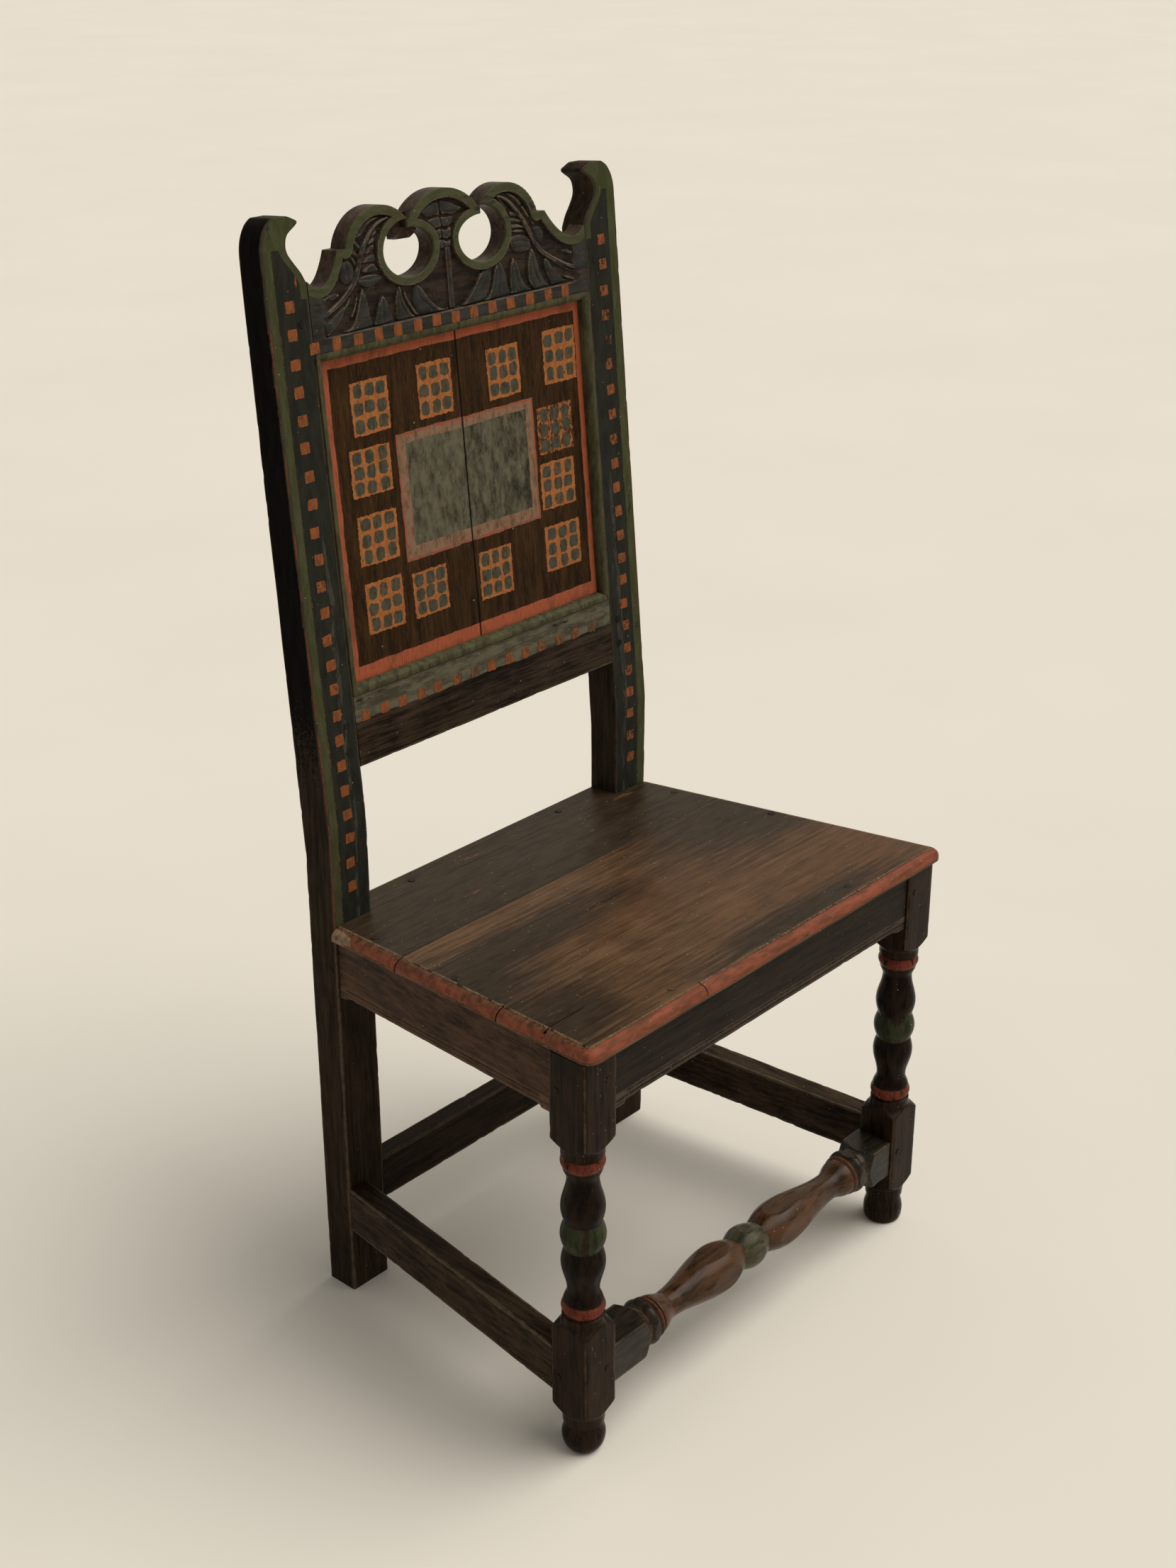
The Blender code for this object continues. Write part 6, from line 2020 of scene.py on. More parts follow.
def turned_wear(profile: Profile, rings: Array, side: float, crowns: tuple[float, float],
                share: float) -> Array:
    """Wear of a turned piece.

    Args:
        profile: (distance, radius) along the axis.
        rings: the piece's rings.
        side: side of its square blocks.
        crowns: radii between which the turning begins to be rubbed.
        share: how far the turning is rubbed.

    Returns:
        The wear on the corners of the blocks and on the crowns of the turning, stations by points.
    """
    radius = np.array(profile)[:, 1]
    angle = np.arange(rings.shape[1]) * 2 * math.pi / rings.shape[1]
    corner = np.exp(-np.abs((angle + math.pi / 4) % (math.pi / 2) - math.pi / 4) * side / 2 / (2.5 * MM))
    square = ease(radius, 0.026, 0.031)[:, None]
    return square * corner[None] + (1 - square) * ease(radius, *crowns)[:, None] * share


@dataclass
class FrontLeg:
    """Front leg turned from a square billet, with painted rings and bead."""

    name: str
    side: int
    middle: float = 0.2485
    block: float = 0.1085
    pommel: float = 0.0125
    bead_half: float = 0.0148
    radii: tuple[float, ...] = (0.022, 0.018, 0.0213, 0.0156, 0.0214, 0.0208)
    bulb: float = 0.0305
    neck: float = 0.062
    ring: tuple[float, float] = (0.0755, 0.0865)
    quirk: float = 0.002
    foot_block: float = 0.0575
    foot_collar: Path = ((0.043, 0.0212), (0.0335, 0.0206))
    foot_quirk: Path = ((0.0325, 0.0204), (0.0318, 0.0196), (0.0312, 0.0184))
    foot_neck: tuple[float, float] = (0.0308, 0.0186)
    foot_radius: float = 0.0216
    foot_left: tuple[float, float] = (0.017, 0.0125)
    foot_right: tuple[float, float] = (0.0125, 0.0185)
    dark_turning: tuple[float, float] = (29.0, 44.5)

    def half(self) -> Profile:
        """Half of the turning.

        Returns:
            Its profile from the middle bead out to the corner of the block.
        """
        bead_radius, pinch, bulb, neck, ring, collar = self.radii
        corner = LEG_SIDE / math.sqrt(2) + 1 * MM
        half = half_bead(self.bead_half, pinch, bead_radius, 36)
        rise = self.bulb - self.bead_half
        half += bead(self.bead_half, self.bead_half + 2 * rise, pinch, bulb, 36)[:18]
        half += swell(self.bulb, self.neck, bulb, neck, 26)
        half += swell(self.neck, self.ring[0], neck, ring - self.quirk, 14)
        half += bead(*self.ring, ring - self.quirk, ring, 14)
        groove = self.ring[1]
        half += [(groove, ring - self.quirk), (groove + 0.7 * self.quirk, ring - 1.3 * self.quirk),
                 (groove + self.quirk, ring - 1.2 * self.quirk), (groove + 1.5 * self.quirk, collar)]
        half += swell(self.block - self.pommel, self.block + 1 * MM, collar, corner, 22)
        return half + [(self.block + 1 * MM, corner)]

    def foot(self) -> Profile:
        """Turned foot, a ball on the left leg and flatter on the right.

        Returns:
            Its profile from the block down to the floor.
        """
        corner = LEG_SIDE / math.sqrt(2) + 1 * MM
        (high, high_radius), (low, low_radius) = self.foot_collar
        points = swell(self.foot_block, high, corner, high_radius, 18)
        points += swell(high, low, high_radius, low_radius, 6)
        points += self.foot_quirk
        widest, flat = self.foot_left if self.side < 0 else self.foot_right
        points += swell(self.foot_neck[0], widest, self.foot_neck[1], self.foot_radius, 14)
        for angle in np.linspace(0.0, math.pi / 2, 14):
            radius = flat + (self.foot_radius - flat) * math.cos(angle)
            points.append((widest * (1 - math.sin(angle)), radius))
        return points

    def draft(self) -> Draft:
        """Shape of the turned leg.

        Returns:
            The leg with its painted zones.
        """
        corner = LEG_SIDE / math.sqrt(2) + 2 * MM
        half = self.half()
        top = float(rail_top(LEG_SIDE))
        profile = [(z, corner) for z in np.linspace(top, self.middle + self.block + 1.5 * MM, 30)]
        profile += [(self.middle + distance, radius) for distance, radius in reversed(half)]
        profile += [(self.middle - distance, radius) for distance, radius in half[1:]]
        low = self.middle - self.block - 1.5 * MM
        profile += [(z, corner) for z in np.linspace(low, self.foot_block + 0.5 * MM, 34)]
        profile += self.foot()
        rings = turned_rings(profile, LEG_SIDE / 2)
        rings[..., 0] += self.side * (LEG_OUTER - LEG_SIDE / 2)
        rings[..., 1] += FRONT_Y + LEG_SIDE / 2
        draft = loft(rings, {"wear": turned_wear(profile, rings, LEG_SIDE, (0.0200, 0.0216), 0.6)})
        away = np.abs(draft.points[:, 2] - self.middle) / MM
        start, end = self.ring[0] / MM, self.ring[1] / MM
        dark_half, dark_middle = self.dark_turning
        draft.values["green"] = self.bead_half / MM - away
        draft.values["red"] = (end - start) / 2 + 0.4 - np.abs(away - (start + end) / 2)
        draft.values["black"] = dark_half - np.abs(away - dark_middle)
        return draft

    def make(self) -> None:
        """Make the finished leg."""
        make_piece(self.draft(), f"{self.name}_leg", OAK_LEG, (f"front_leg_{self.name}",),
                   Weather(0.14 * MM, (0.02, 0.02, 0.06), 0.7 * MM, 71 + self.side), 30.0)


@dataclass
class FrontStretcher:
    """Turned stretcher between square blocks, rubbed to a shine."""

    level: float = 0.0925
    depth: float = 0.0245
    side: float = 0.044
    blocks: tuple[float, float] = (0.057, 0.03965)
    turned_half: float = 0.1735
    quirk: float = 0.002
    ball: tuple[float, float, float] = (0.0232, 0.0185, 0.0172)
    vase: tuple[float, float] = (0.0252, 0.050)
    neck: tuple[float, float] = (0.0147, 0.129)
    flare: tuple[float, float] = (0.0207, 0.1505)
    fine_ring: tuple[float, float] = (0.0222, 0.1575)
    wide_ring: float = 0.0243
    pommel: float = 0.0125

    def half(self, block: float) -> Profile:
        """Half of the turning.

        Args:
            block: length of the square block at the leg.

        Returns:
            Its profile from the middle ball out to the leg.
        """
        ball, ball_half, pinch = self.ball
        half = half_bead(ball_half, pinch, ball, 44)
        rise = self.vase[1] - ball_half
        half += bead(ball_half, ball_half + 2 * rise, pinch, self.vase[0], 48)[:24]
        half += swell(self.vase[1], self.neck[1], self.vase[0], self.neck[0], 46)
        half += swell(self.neck[1], self.flare[1], self.neck[0], self.flare[0], 20)
        half += [(self.flare[1], self.flare[0])]
        half += bead(self.flare[1] + self.quirk / 2, self.fine_ring[1], self.flare[0] - self.quirk,
                     self.fine_ring[0], 12)
        end = self.turned_half - 1.5 * self.quirk
        half += bead(self.fine_ring[1], end, self.fine_ring[0] - self.quirk, self.wide_ring, 18)
        collar = self.side / 2 - self.quirk / 2
        corner = self.side / math.sqrt(2) + 1 * MM
        half += [(end, collar - 0.5 * self.quirk)]
        half += swell(self.turned_half, self.turned_half + self.pommel, collar, corner, 16)
        half += [(self.turned_half + self.pommel, corner + 1 * MM)]
        stretch = (LEG_INNER - block) / self.turned_half
        half = [(distance * stretch, radius) for distance, radius in half]
        rest = np.linspace(half[-1][0] + 1 * MM, LEG_INNER - FIT, 20)
        return half + [(distance, corner + 1 * MM) for distance in rest]

    def draft(self) -> Draft:
        """Shape of the turned stretcher.

        Returns:
            The stretcher with its painted zones.
        """
        left, right = (self.half(block) for block in self.blocks)
        profile = [(-distance, radius) for distance, radius in reversed(left)] + right[1:]
        first, second, x = np.moveaxis(turned_rings(profile, self.side / 2), 2, 0)
        rings = np.stack((x, FRONT_Y + self.depth + first, self.level + second), axis=2)
        draft = loft(rings, {"wear": turned_wear(profile, rings, self.side, (0.0215, 0.0250), 0.35)})
        x = draft.points[:, 0]
        stretch = np.where(x < 0, LEG_INNER - self.blocks[0], LEG_INNER - self.blocks[1]) / self.turned_half
        away = np.abs(x) / stretch / MM
        fine = (self.flare[1] + self.fine_ring[1]) / 2 / MM
        wide = (self.fine_ring[1] + self.turned_half - 1.5 * self.quirk) / 2 / MM
        draft.values["green"] = self.ball[1] / MM - away
        draft.values["red"] = 3.6 - np.abs(away - fine)
        block = away - self.turned_half / MM
        draft.values["black"] = np.maximum(5.5 - np.abs(away - wide), block)
        draft.values["streak"] = np.minimum(away - self.ball[1] / MM, self.flare[1] / MM - away) * 0.2
        return draft

    def make(self) -> None:
        """Make the finished stretcher."""
        make_piece(self.draft(), "front_stretcher", OAK_STRETCHER, ("stretcher_front",),
                   Weather(0.16 * MM, (0.05, 0.02, 0.02), 0.5 * MM, 81), 30.0)


# Rails and stretchers of the base

@dataclass
class BaseRails:
    """Seat rails with moulded lower edges, and the plain stretchers."""

    front_drop: float = 0.0015
    moulded: float = 0.0135
    groove: float = 0.0022
    chamfer: float = 0.0045
    stop: float = 0.014
    stretcher_levels: tuple[float, float] = (0.0945, 0.104)
    stretcher_difference: float = 0.002
    stretcher_height: float = 0.051
    stretcher_thickness: float = 0.025
    stretcher_setback: float = 0.0012
    rear_level: float = 0.111
    rear_setback: float = 0.008

    def moulded_section(self) -> Profile:
        """Front of a seat rail's section.

        Returns:
            Depth from the face and height above the foot, from the foot up.
        """
        top = self.moulded - self.groove / 2
        return [(self.chamfer, 0.0), (self.chamfer * 0.45, self.chamfer * 0.30),
                (self.groove / 4, self.chamfer), (self.groove / 4, top - 1.3 * self.groove),
                (self.groove, top - self.groove / 2), (self.groove, top), (0.0, self.moulded)]

    def moulded_corners(self, stops: Array, foot: Array | float, top: Array | float) -> list[tuple]:
        """Depth behind the face and height of each corner, where stops is the share of the moulding."""
        corners = [(depth * stops, foot + height) for depth, height in self.moulded_section()]
        return corners + [(0.0, top), (RAIL_THICKNESS, top), (RAIL_THICKNESS, foot)]

    def front(self) -> None:
        """Make the front seat rail."""
        x = np.linspace(-LEG_INNER + FIT, LEG_INNER - FIT, 190)
        stops = ease(LEG_INNER - self.stop - np.abs(x), -1.0 * MM, 5.0 * MM)
        foot = SEAT_FRONT_HEIGHT - SEAT_THICKNESS - FIT - RAIL_HEIGHT - self.front_drop
        top = float(rail_top(RAIL_SETBACK + RAIL_THICKNESS))
        corners = bar_corners(*((x, FRONT_Y + RAIL_SETBACK + depth, height)
                                for depth, height in self.moulded_corners(stops, foot, top)))
        self.rail(corners, "front_seat_rail", OAK_RAIL, "seat_rail_front", 91)

    def side(self, name: str, side: int) -> None:
        """Make a side seat rail, skewed because the seat is wider in front.

        Args:
            name: left or right.
            side: -1 for the left and 1 for the right.
        """
        y = np.linspace(LEG_SIDE + FIT, POST_FRONT - FRONT_Y - FIT, 150)
        stops = (ease(y - LEG_SIDE - self.stop, -1.0 * MM, 5.0 * MM)
                 * ease(POST_FRONT - FRONT_Y - self.stop / 2 - y, -1.0 * MM, 5.0 * MM))
        top = rail_top(y)
        face = side_face(y, RAIL_SETBACK)
        corners = bar_corners(*((side * (face - depth), FRONT_Y + y, height)
                                for depth, height in self.moulded_corners(stops, top - RAIL_HEIGHT, top)))
        self.rail(corners, f"{name}_seat_rail", OAK_SIDE_RAIL, f"seat_rail_{name}", 93 + side)

    @staticmethod
    def rail(corners: Array, name: str, finish: Finish, node: str, seed: int) -> None:
        """Make a moulded rail.

        Args:
            corners: its corners at its stations.
            name: its name.
            finish: what it is dressed with.
            node: the CAD node that it stands for.
            seed: which wear it has.
        """
        radii = (0.45 + 0.25 * uneven(corners, 0.04, seed)) * MM
        draft = worn_bar(corners, radii, (2, 2, 5, 2, 2, 2, 22, 6, 14, 6), 2)
        make_piece(draft, name, finish, (node,),
                   Weather(0.16 * MM, (0.06, 0.06, 0.02), 0.5 * MM, seed), 45.0)

    @staticmethod
    def bar(corners: Array, name: str, finish: Finish, node: str, seed: int) -> None:
        """Make a plain worn bar.

        Args:
            corners: its four corners at its stations.
            name: its name.
            finish: what it is dressed with.
            node: the CAD node that it stands for.
            seed: which wear it has.
        """
        draft = worn_bar(corners, (1.9 + 1.2 * uneven(corners, 0.045, seed)) * MM, (16, 10, 16, 10), 4)
        make_piece(draft, name, finish, (node,),
                   Weather(0.22 * MM, (0.05, 0.05, 0.02), 0.9 * MM, seed))

    def stretcher(self, name: str, side: int) -> None:
        """Make a side stretcher.

        Args:
            name: left or right.
            side: -1 for the left and 1 for the right.
        """
        y = np.linspace(LEG_SIDE + FIT, POST_FRONT - FRONT_Y - FIT, 130)
        share = (y - LEG_SIDE) / (POST_FRONT - FRONT_Y - LEG_SIDE)
        start, end = self.stretcher_levels
        level = start + (end - start) * share + side * self.stretcher_difference
        face = side_face(y, self.stretcher_setback)
        half = self.stretcher_height / 2
        deep = self.stretcher_thickness
        section = ((0.0, -half), (0.0, half), (deep, half), (deep, -half))
        corners = bar_corners(*((side * (face - depth), FRONT_Y + y, level + rise)
                                for depth, rise in section))
        self.bar(corners, f"{name}_stretcher", OAK_LOW_BAR, f"stretcher_{name}", 95 + side)

    def rear(self, name: str, node: str, foot: float, tops: tuple[float, float], seed: int) -> None:
        """Make the rear seat rail or the rear stretcher.

        Args:
            name: its name.
            node: the CAD node that it stands for.
            foot: height of its foot.
            tops: height of its top in front and behind.
            seed: which wear it has.
        """
        x = np.linspace(-INNER_FACE + FIT, INNER_FACE - FIT, 130)
        front = POST_FRONT + self.rear_setback
        behind = front + RAIL_THICKNESS
        corners = bar_corners((x, front, foot), (x, front, tops[0]), (x, behind, tops[1]),
                              (x, behind, foot))
        self.bar(corners, name, OAK_BACK_BAR, node, seed)

    def make(self) -> None:
        """Make every rail and stretcher except the turned one."""
        self.front()
        for name, side in SIDES:
            self.side(name, side)
            self.stretcher(name, side)
        depth = POST_FRONT - FRONT_Y + self.rear_setback
        foot = SEAT_REAR_HEIGHT - SEAT_THICKNESS - FIT - RAIL_HEIGHT
        tops = (float(rail_top(depth)), float(rail_top(depth + RAIL_THICKNESS)))
        self.rear("rear_seat_rail", "seat_rail_rear", foot, tops, 98)
        low, high = (self.rear_level + sign * self.stretcher_height / 2 for sign in (-1, 1))
        self.rear("rear_stretcher", "stretcher_rear", low, (high, high), 99)


# Seat

@dataclass
class BoardPlan:
    """Plan of a seat board, stations by lines, and each point's distance to its edges and openings."""

    name: str
    seed: int
    x: Array
    y: Array
    side_gap: Array
    front_gap: Array
    edge_gap: Array
    joint_gap: Array
    split_gap: Array

    @property
    def moulded(self) -> bool:
        """Whether it is the board with the front edge."""
        return self.name == "front"

    def wave(self, size: float | Colour, shift: int, octaves: int) -> Array:
        """Noise from -1 to 1 over the board."""
        flat = np.column_stack((self.x.reshape(-1), self.y.reshape(-1), np.zeros(self.x.size)))
        return ripple(flat, size, self.seed + shift, octaves).reshape(self.x.shape)


@dataclass
class Seat:
    """Three boards with a thumbnail moulding round the front and the sides."""

    front: float = -0.0095
    joints: tuple[float, float] = (0.116, 0.264)
    side_overhang: float = 0.0036
    rear_overhang: float = 0.0055
    corner: float = 0.014
    thumb: float = 0.0095
    thumb_edge: float = 0.004
    thumb_step: float = 0.0012
    crack: float = 0.0545
    crack_end: float = -0.205
    split: float = -0.114
    split_length: float = 13.0 * MM
    painted: float = 8.8
    # Oval patches of the seat's dark coat, as middle and half sizes. The first, a long band across the
    # middle board, is painted shadow; the others are darker patches.
    shadow_and_dark_patches: tuple[tuple[float, ...], ...] = (
        (-0.17, 0.196, 0.18, 0.036), (-0.26, 0.165, 0.09, 0.07), (0.25, 0.215, 0.18, 0.08),
        (0.06, 0.015, 0.14, 0.022), (-0.25, 0.065, 0.085, 0.06))
    russet_patches: tuple[tuple[float, ...], ...] = (
        (0.17, 0.055, 0.16, 0.060), (0.04, 0.155, 0.15, 0.045), (0.02, 0.27, 0.12, 0.02))

    def edge(self, y: Array) -> Array:
        """Side edge of the seat.

        Args:
            y: depths from the front of the legs.

        Returns:
            The edge's distance from the middle at each.
        """
        back = POST_FRONT - FRONT_Y
        front = LEG_OUTER + self.side_overhang
        rear = OUTER_FACE + self.rear_overhang
        return front + (rear - front) * (y - self.front) / (back - self.front)

    def thickness(self, inset: Array) -> Array:
        """Section of the thumbnail edge.

        Args:
            inset: distances in from the edge.

        Returns:
            The height above the underside at each.
        """
        rise = SEAT_THICKNESS - self.thumb_step - self.thumb_edge
        share = np.clip(1 - inset / self.thumb, 0.0, 1.0)
        round_part = self.thumb_edge + rise * np.sqrt(1 - share ** 2)
        return round_part + self.thumb_step * ease(inset, self.thumb, self.thumb + 1.0 * MM)

    def depths(self, start: float, end: float, moulded: bool) -> Array:
        """Lines of a board's skin, closer at its edges and at the crack.

        Args:
            start: depth where the board starts.
            end: depth where it ends.
            moulded: whether it has the front edge.

        Returns:
            Shares of the board's depth.
        """
        length = end - start
        lines = list(np.arange(0.0, length, 2.6 * MM))
        lines += [0.5 * MM, 1.2 * MM, length - 0.5 * MM, length - 1.2 * MM, length]
        if moulded:
            lines += list(np.linspace(0.0, 11.5 * MM, 24))
            beside = (-1.4, -0.7, -0.35, 0.0, 0.35, 0.7, 1.4)
            lines += [self.crack - start + offset * MM for offset in beside]
        lines = np.unique(np.round(np.array(lines), 6))
        return lines[np.concatenate(((True,), np.diff(lines) > 0.12 * MM))] / length

    def plan(self, name: str, start: float, end: float, seed: int) -> BoardPlan:
        """Lay out one board.

        Args:
            name: front, middle or rear.
            start: depth of the joint where it starts, or of the front edge.
            end: depth of the joint where it ends.
            seed: which unevenness it has.

        Returns:
            Its points in plan.
        """
        moulded = name == "front"
        gap = FIT / 2
        start, end = (start if moulded else start + gap), end - gap
        shares = self.depths(start, end, moulded)
        reach = float(self.edge(start))
        near = np.concatenate((np.linspace(0.0, 12.0 * MM, 24), np.arange(14.5 * MM, reach, 3.2 * MM)))
        stations = np.concatenate((near / reach - 1, (1 - near / reach)[::-1]))
        if moulded:
            split = (self.split + np.array((-1.2, -0.6, -0.3, 0.0, 0.3, 0.6, 1.2)) * MM) / reach
            stations = np.sort(np.concatenate((stations, split)))
        round_in = np.zeros_like(stations)
        if moulded:
            inner = np.clip(self.corner - (1 - np.abs(stations)) * reach, 0.0, self.corner)
            round_in = self.corner - np.sqrt(self.corner ** 2 - inner ** 2)
        y = (start + round_in)[:, None] + shares[None] * (end - start - round_in)[:, None]
        side_gap = (1 - np.abs(stations))[:, None] * self.edge(y)
        front_gap = y - self.front if moulded else np.full_like(y, 1.0)
        both = (side_gap < self.corner) & (front_gap < self.corner)
        rounded = self.corner - np.hypot(self.corner - side_gap, self.corner - front_gap)
        edge_gap = np.where(both, np.maximum(rounded, 0.0), np.minimum(side_gap, front_gap))
        joint_gap = np.minimum(end - y, 1.0 if moulded else y - start)
        split_gap = np.abs(stations - self.split / reach)[:, None] * reach
        return BoardPlan(name, seed, stations[:, None] * self.edge(y), y, side_gap, front_gap, edge_gap,
                         joint_gap, split_gap)

    def upper(self, plan: BoardPlan) -> Array:
        """Upper side of a board: cupped, open at its joints, its crack and its split.

        Args:
            plan: the board's points in plan.

        Returns:
            Their heights.
        """
        edge_gap = plan.edge_gap
        cup = 0.35 * plan.wave((0.30, 0.05, 1.0), 0, 2) + 0.12 * plan.wave((0.09, 0.006, 1.0), 3, 2)
        base = seat_top(plan.y) - SEAT_THICKNESS
        top = base + self.thickness(edge_gap) + cup * MM * ease(edge_gap, 0.0, 0.02)
        thumb = ease(self.thumb + 2 * MM - edge_gap, 0.0, 3 * MM)
        top -= (0.9 + 2.2 * thumb) * MM * np.clip(1 - plan.joint_gap / (0.9 * MM), 0.0, 1.0) ** 2
        if plan.moulded:
            open_part = ease(self.crack_end - plan.x, 0.0, 0.03)
            top -= 4.5 * MM * open_part * (np.abs(plan.y - self.crack) < 0.45 * MM)
            at_split = plan.split_gap < 0.4 * MM
            top -= 2.2 * MM * at_split * ease(self.split_length - plan.front_gap, 0.0, 3.0 * MM)
        return top

    def zones(self, plan: BoardPlan) -> dict[str, Array]:
        """Zones of a board's upper side.

        Args:
            plan: the board's points in plan.

        Returns:
            The wear and the painted, rubbed, open and dark zones.
        """
        x, y, edge_gap, side_gap = plan.x, plan.y, plan.edge_gap, plan.side_gap
        wear = 0.8 * np.exp(-np.abs(edge_gap - self.thumb - 0.7 * MM) / (1.6 * MM))
        wear += 0.7 * np.exp(-plan.joint_gap / (2 * MM))
        patchy = plan.wave(0.055, 5, 3)
        front_first = plan.front_gap < side_gap + 6 * MM * plan.wave(0.02, 6, 2)
        red_side = np.where(x < 0, 3.5, 1.5) - 7.0 * patchy - edge_gap / MM
        pale = np.where(front_first, 0.2, 0.7) - np.abs(edge_gap - self.thumb - 0.8 * MM) / MM
        bare_corner = 7.0 - np.hypot(side_gap, 0.22 * (y - POST_FRONT + FRONT_Y)) / MM
        opened = plan.joint_gap
        if plan.moulded:
            opened = np.minimum(opened, np.where(x < self.crack_end, np.abs(y - self.crack), 1.0))
        gap = np.where(edge_gap < self.thumb + 4 * MM, 0.7, 0.1) - opened / MM
        if plan.moulded:
            at_edge = np.where(plan.front_gap < self.split_length, 0.45, UNPAINTED)
            gap = np.maximum(gap, at_edge - plan.split_gap / MM)
        return {"wear": wear,
                "brown": np.where(front_first, UNPAINTED, (self.painted * MM - edge_gap) / MM),
                "red": np.where(front_first, self.painted - edge_gap / MM, red_side),
                "pale": np.where(x < 0, np.maximum(pale, bare_corner), pale),
                "gap": gap,
                "dark": self.dark(plan.name, x, y),
                "russet": self.patches(x, y, self.russet_patches)}

    def board(self, name: str, start: float, end: float, seed: int) -> Draft:
        """Shape of one board.

        Args:
            name: front, middle or rear.
            start: depth of the joint where it starts, or of the front edge.
            end: depth of the joint where it ends.
            seed: which unevenness it has.

        Returns:
            The board with its zones.
        """
        plan = self.plan(name, start, end, seed)
        sides = [np.stack((plan.x, FRONT_Y + plan.y, height), axis=2)
                 for height in (self.upper(plan), seat_top(plan.y) - SEAT_THICKNESS)]
        values = {}
        for key, value in self.zones(plan).items():
            under = np.full_like(value, 0.0 if key == "wear" else UNPAINTED)
            values[key] = np.concatenate((value, under), axis=1)
        return loft(np.concatenate((sides[0], sides[1][:, ::-1]), axis=1), values)

    @staticmethod
    def dark(name: str, x: Array, y: Array) -> Array:
        """Darker parts of the seat: the whole rear board and oval patches; the long patch across the middle
        board is a painted shadow band.

        Args:
            name: which board.
            x: distances across.
            y: depths from the front of the legs.

        Returns:
            How far in each place is, in millimetres.
        """
        if name == "rear":
            return np.full_like(x, 9.0)
        return Seat.patches(x, y, Seat.shadow_and_dark_patches)

    @staticmethod
    def patches(x: Array, y: Array, places: tuple[tuple[float, ...], ...]) -> Array:
        """Oval patches.

        Args:
            x: distances across.
            y: depths from the front of the legs.
            places: middle and half sizes of each patch.

        Returns:
            How far in each place is, in millimetres.
        """
        inside = np.full_like(x, UNPAINTED)
        for across, deep, half_x, half_y in places:
            inside = np.maximum(inside, 14.0 * (1 - np.hypot((x - across) / half_x, (y - deep) / half_y)))
        return inside

    def tongue(self) -> Draft:
        """Part of the rear board between the posts.

        Returns:
            Its shape with its zones.
        """
        start = POST_FRONT - FRONT_Y - FIT
        end = POST_FRONT - FRONT_Y + POST_DEPTH - 1.0 * MM
        x = np.linspace(-INNER_FACE + FIT, INNER_FACE - FIT, 90)
        section = ((start, SEAT_THICKNESS), (start, 0.25 * MM), (end, 0.25 * MM), (end, SEAT_THICKNESS))
        corners = bar_corners(*((x, FRONT_Y + y, seat_top(y) - low) for y, low in section))
        radii = np.tile(np.array((0.01, 0.01, 1.0, 0.8)) * MM, (len(x), 1))
        draft = worn_bar(corners, radii, (3, 12, 4, 8), 3)
        draft.values["wear"][draft.points[:, 1] < FRONT_Y + start + 5 * MM] = 0.0
        draft.values["dark"] = np.full(len(draft.points), 6.0)
        return draft

    def make(self) -> None:
        """Make the three finished boards."""
        first, second = self.joints
        back = POST_FRONT - FRONT_Y - FIT
        drafts = {"front": self.board("front", self.front, first, 101),
                  "middle": self.board("middle", first, second, 103),
                  "rear": self.board("rear", second, back + FIT / 2, 105).joined(self.tongue())}
        for name, draft in drafts.items():
            make_piece(draft, f"seat_{name}", OAK_SEAT, (f"seat_board_{name}",),
                       Weather(0.05 * MM, (0.05, 0.01, 0.05), 0.0, 107), 45.0)


@dataclass
class Pegs:
    """Peg ends, which keep the frame's own shapes and are dressed like the pieces that they hold."""

    prefix: str = "peg_"
    seat_prefix: str = "peg_seat_"
    rail_prefix: str = "peg_seat_rail_"
    painted: tuple[str, str] = ("peg_crest", "peg_lower")

    def dress(self, name: str, middle: Vector) -> OakFinish:
        """Finish of a peg.

        Args:
            name: the peg's node.
            middle: its middle.

        Returns:
            The finish of what it holds.
        """
        if name.startswith(self.seat_prefix) and not name.startswith(self.rail_prefix):
            board = "rear" if middle.y > FRONT_Y + Seat.joints[1] else "front"
            # Pegs inside the seat's darker zone, which takes in the painted shadow band, get the darker
            # finish.
            shaded = Seat.dark(board, np.array(middle.x), np.array(middle.y - FRONT_Y))
            return PEG_DARK if shaded > 0 else PEG_SEAT
        if name.startswith(self.painted):
            return PEG_INK
        return PEG_LEG if "front" in name or name.endswith("leg") else PEG_STILE

    def make(self) -> int:
        """Dress the pegs.

        Returns:
            How many there are.
        """
        count = 0
        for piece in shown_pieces():
            if piece.name.startswith(self.prefix):
                low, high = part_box(piece.name)
                piece.data.materials.clear()
                piece.data.materials.append(self.dress(piece.name, (low + high) / 2).material())
                count += 1
        return count


# Stage

@dataclass(frozen=True)
class FloorFinish(Finish):
    """Plain pale paper floor with a faint unevenness."""

    colour: Colour = (0.80, 0.755, 0.665)

    def draw(self, graph: Graph) -> bpy.types.Material:
        """Faintly clouded paper.

        Args:
            graph: the material's nodes.

        Returns:
            The material.
        """
        cloud = graph.noise(1.3, detail=3.0)
        shaded = tuple(0.97 * part for part in self.colour)
        shade = graph.mix(graph.step(cloud, 0.3, 0.7), self.colour, shaded)
        return graph.close(shade, 0.85, cloud, 0.02 * MM)


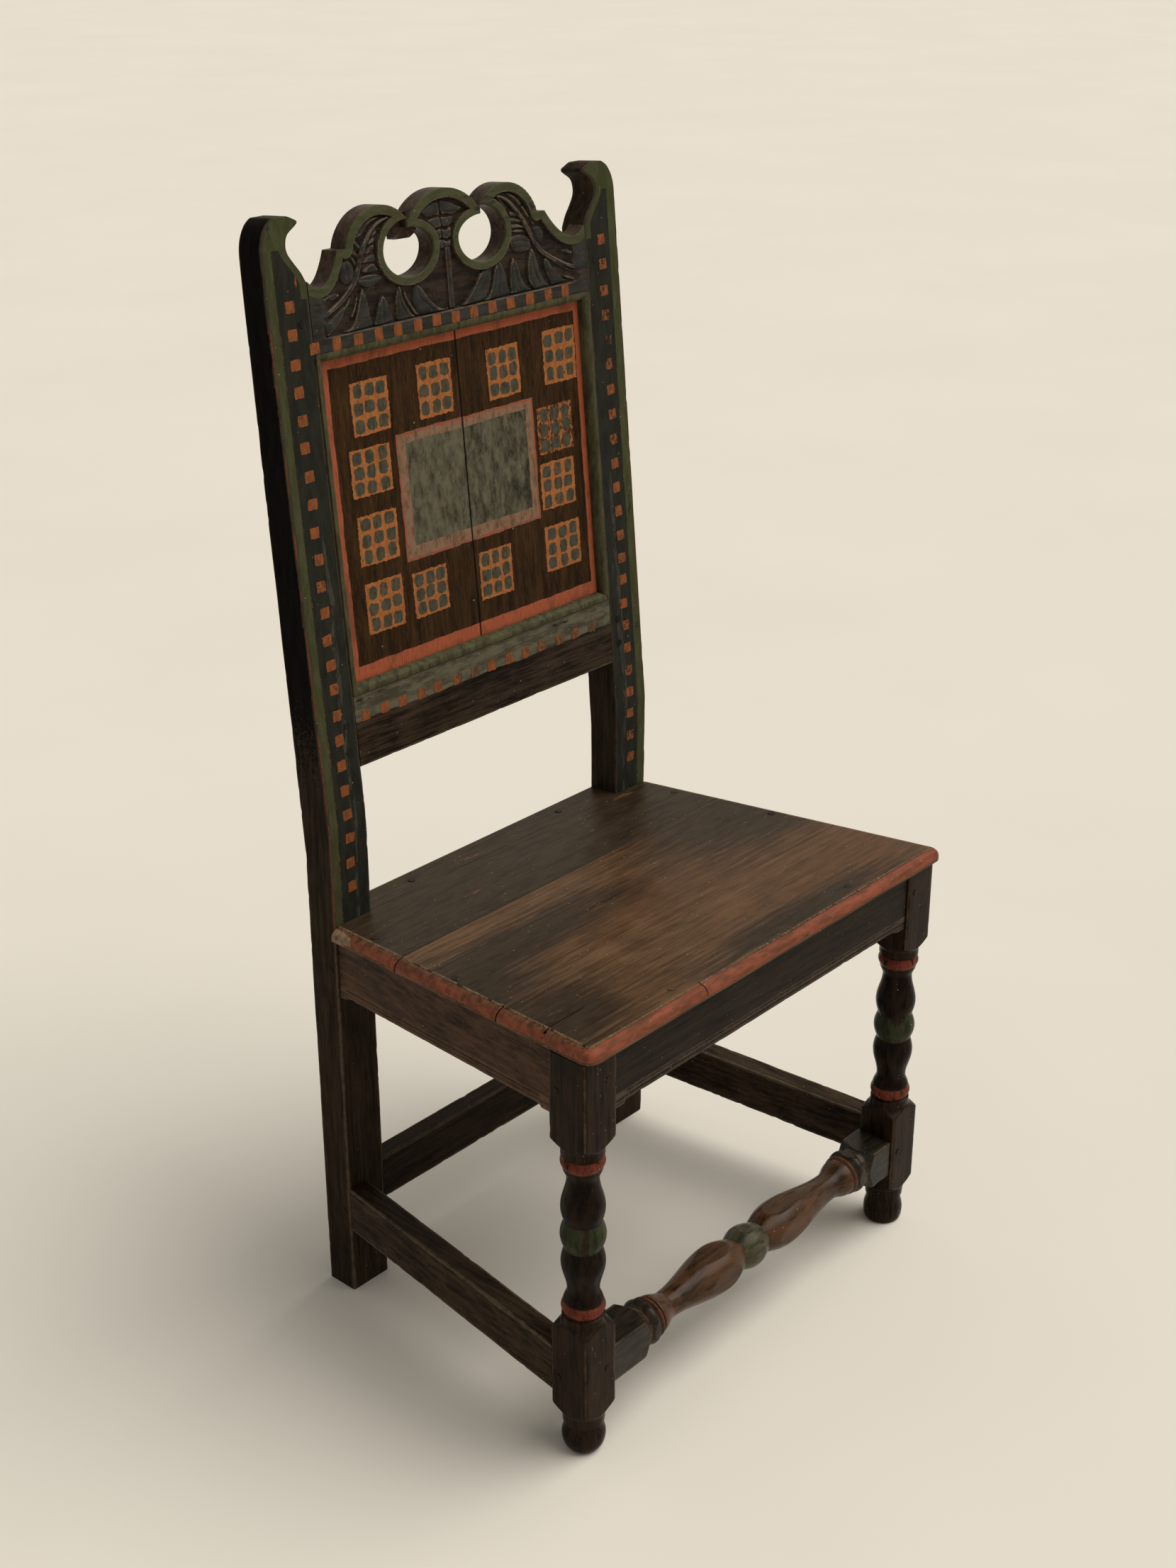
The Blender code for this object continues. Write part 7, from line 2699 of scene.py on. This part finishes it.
@dataclass
class Studio:
    """Floor, soft light and the camera at the photo's view."""

    floor_size: float = 40.0
    key_place: Colour = (1.5, -1.3, 3.4)
    key_aim: Colour = (0.0, 0.0, 0.3)
    key_spread: float = 55.0
    key_power: float = 2.6
    key_colour: Colour = (1.0, 0.965, 0.91)
    fill: float = 0.30
    fill_colour: Colour = (1.0, 0.975, 0.93)
    backdrop: Colour = (0.745, 0.68, 0.565)
    camera_place: Colour = (-1.5027, -1.31918, 1.4672)
    yaw: float = -0.8424
    pitch: float = -0.4262
    roll: float = -0.0021
    lens: float = 50.405

    def floor(self) -> None:
        """Lay the wide plain floor."""
        half = self.floor_size / 2
        mesh = bpy.data.meshes.new("floor")
        corners = ((-half, -half), (half, -half), (half, half), (-half, half))
        mesh.from_pydata([(x, y, -0.4 * MM) for x, y in corners], [], [(0, 1, 2, 3)])
        mesh.materials.append(FloorFinish("pale floor").material())
        put("floor", mesh)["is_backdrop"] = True

    def light(self) -> None:
        """Set the soft key light."""
        lamp = bpy.data.lights.new("key", "SUN")
        lamp.angle = math.radians(self.key_spread)
        lamp.energy = self.key_power
        lamp.color = self.key_colour
        key = put("key", lamp)
        key.location = self.key_place
        way = Vector(self.key_aim) - Vector(self.key_place)
        key.rotation_euler = way.to_track_quat("-Z", "Y").to_euler()

    def surround(self) -> None:
        """Set an even light all round, and the pale backdrop that is seen and mirrored instead of it."""
        world = bpy.data.worlds.new("surround")
        world.use_nodes = True
        tree = NodeTree(world.node_tree)
        light = tree.nodes["Background"]
        tree.feed(light.inputs["Color"], self.fill_colour)
        tree.feed(light.inputs["Strength"], self.fill)
        backdrop = tree.out("ShaderNodeBackground", {"Color": self.backdrop})
        rays = tree.add("ShaderNodeLightPath").outputs
        seen = rays["Is Camera Ray"]
        for ray in ("Is Glossy Ray", "Is Transmission Ray"):
            seen = tree.math("MAXIMUM", seen, rays[ray])
        blend = tree.out("ShaderNodeMixShader", {0: seen, 1: light.outputs[0], 2: backdrop})
        tree.feed(tree.nodes["World Output"].inputs["Surface"], blend)
        bpy.context.scene.world = world

    def camera(self) -> None:
        """Set the camera where the photo was taken from."""
        ahead = Vector((math.sin(-self.yaw) * math.cos(self.pitch),
                        math.cos(self.yaw) * math.cos(self.pitch),
                        math.sin(self.pitch)))
        right = ahead.cross(Vector((0.0, 0.0, 1.0))).normalized()
        up = right.cross(ahead)
        turned_right = right * math.cos(self.roll) + up * math.sin(self.roll)
        turned_up = up * math.cos(self.roll) - right * math.sin(self.roll)
        data = bpy.data.cameras.new("camera")
        data.lens = self.lens
        data.sensor_width = 36.0
        data.sensor_fit = "AUTO"
        camera = put("camera", data)
        basis = Matrix((turned_right, turned_up, -ahead)).transposed().to_4x4()
        camera.matrix_world = Matrix.Translation(Vector(self.camera_place)) @ basis
        bpy.context.scene.camera = camera

    def make(self) -> None:
        """Set the stage."""
        self.floor()
        self.light()
        self.surround()
        self.camera()
        bpy.context.scene.view_settings.view_transform = "Standard"


def main() -> None:
    """Build and dress every sub-assembly in order."""
    logging.basicConfig(level=logging.INFO, format="%(message)s")
    for name, side in SIDES:
        BackPost(name, side).make()
        FrontLeg(name, side).make()
    CrestRail().make()
    LowerBackRail().make()
    BackPanel().make()
    PaintedPattern().make()
    FrontStretcher().make()
    BaseRails().make()
    Seat().make()
    LOG.info("pegs: %d", Pegs().make())
    Studio().make()


if __name__ == "__main__":
    main()
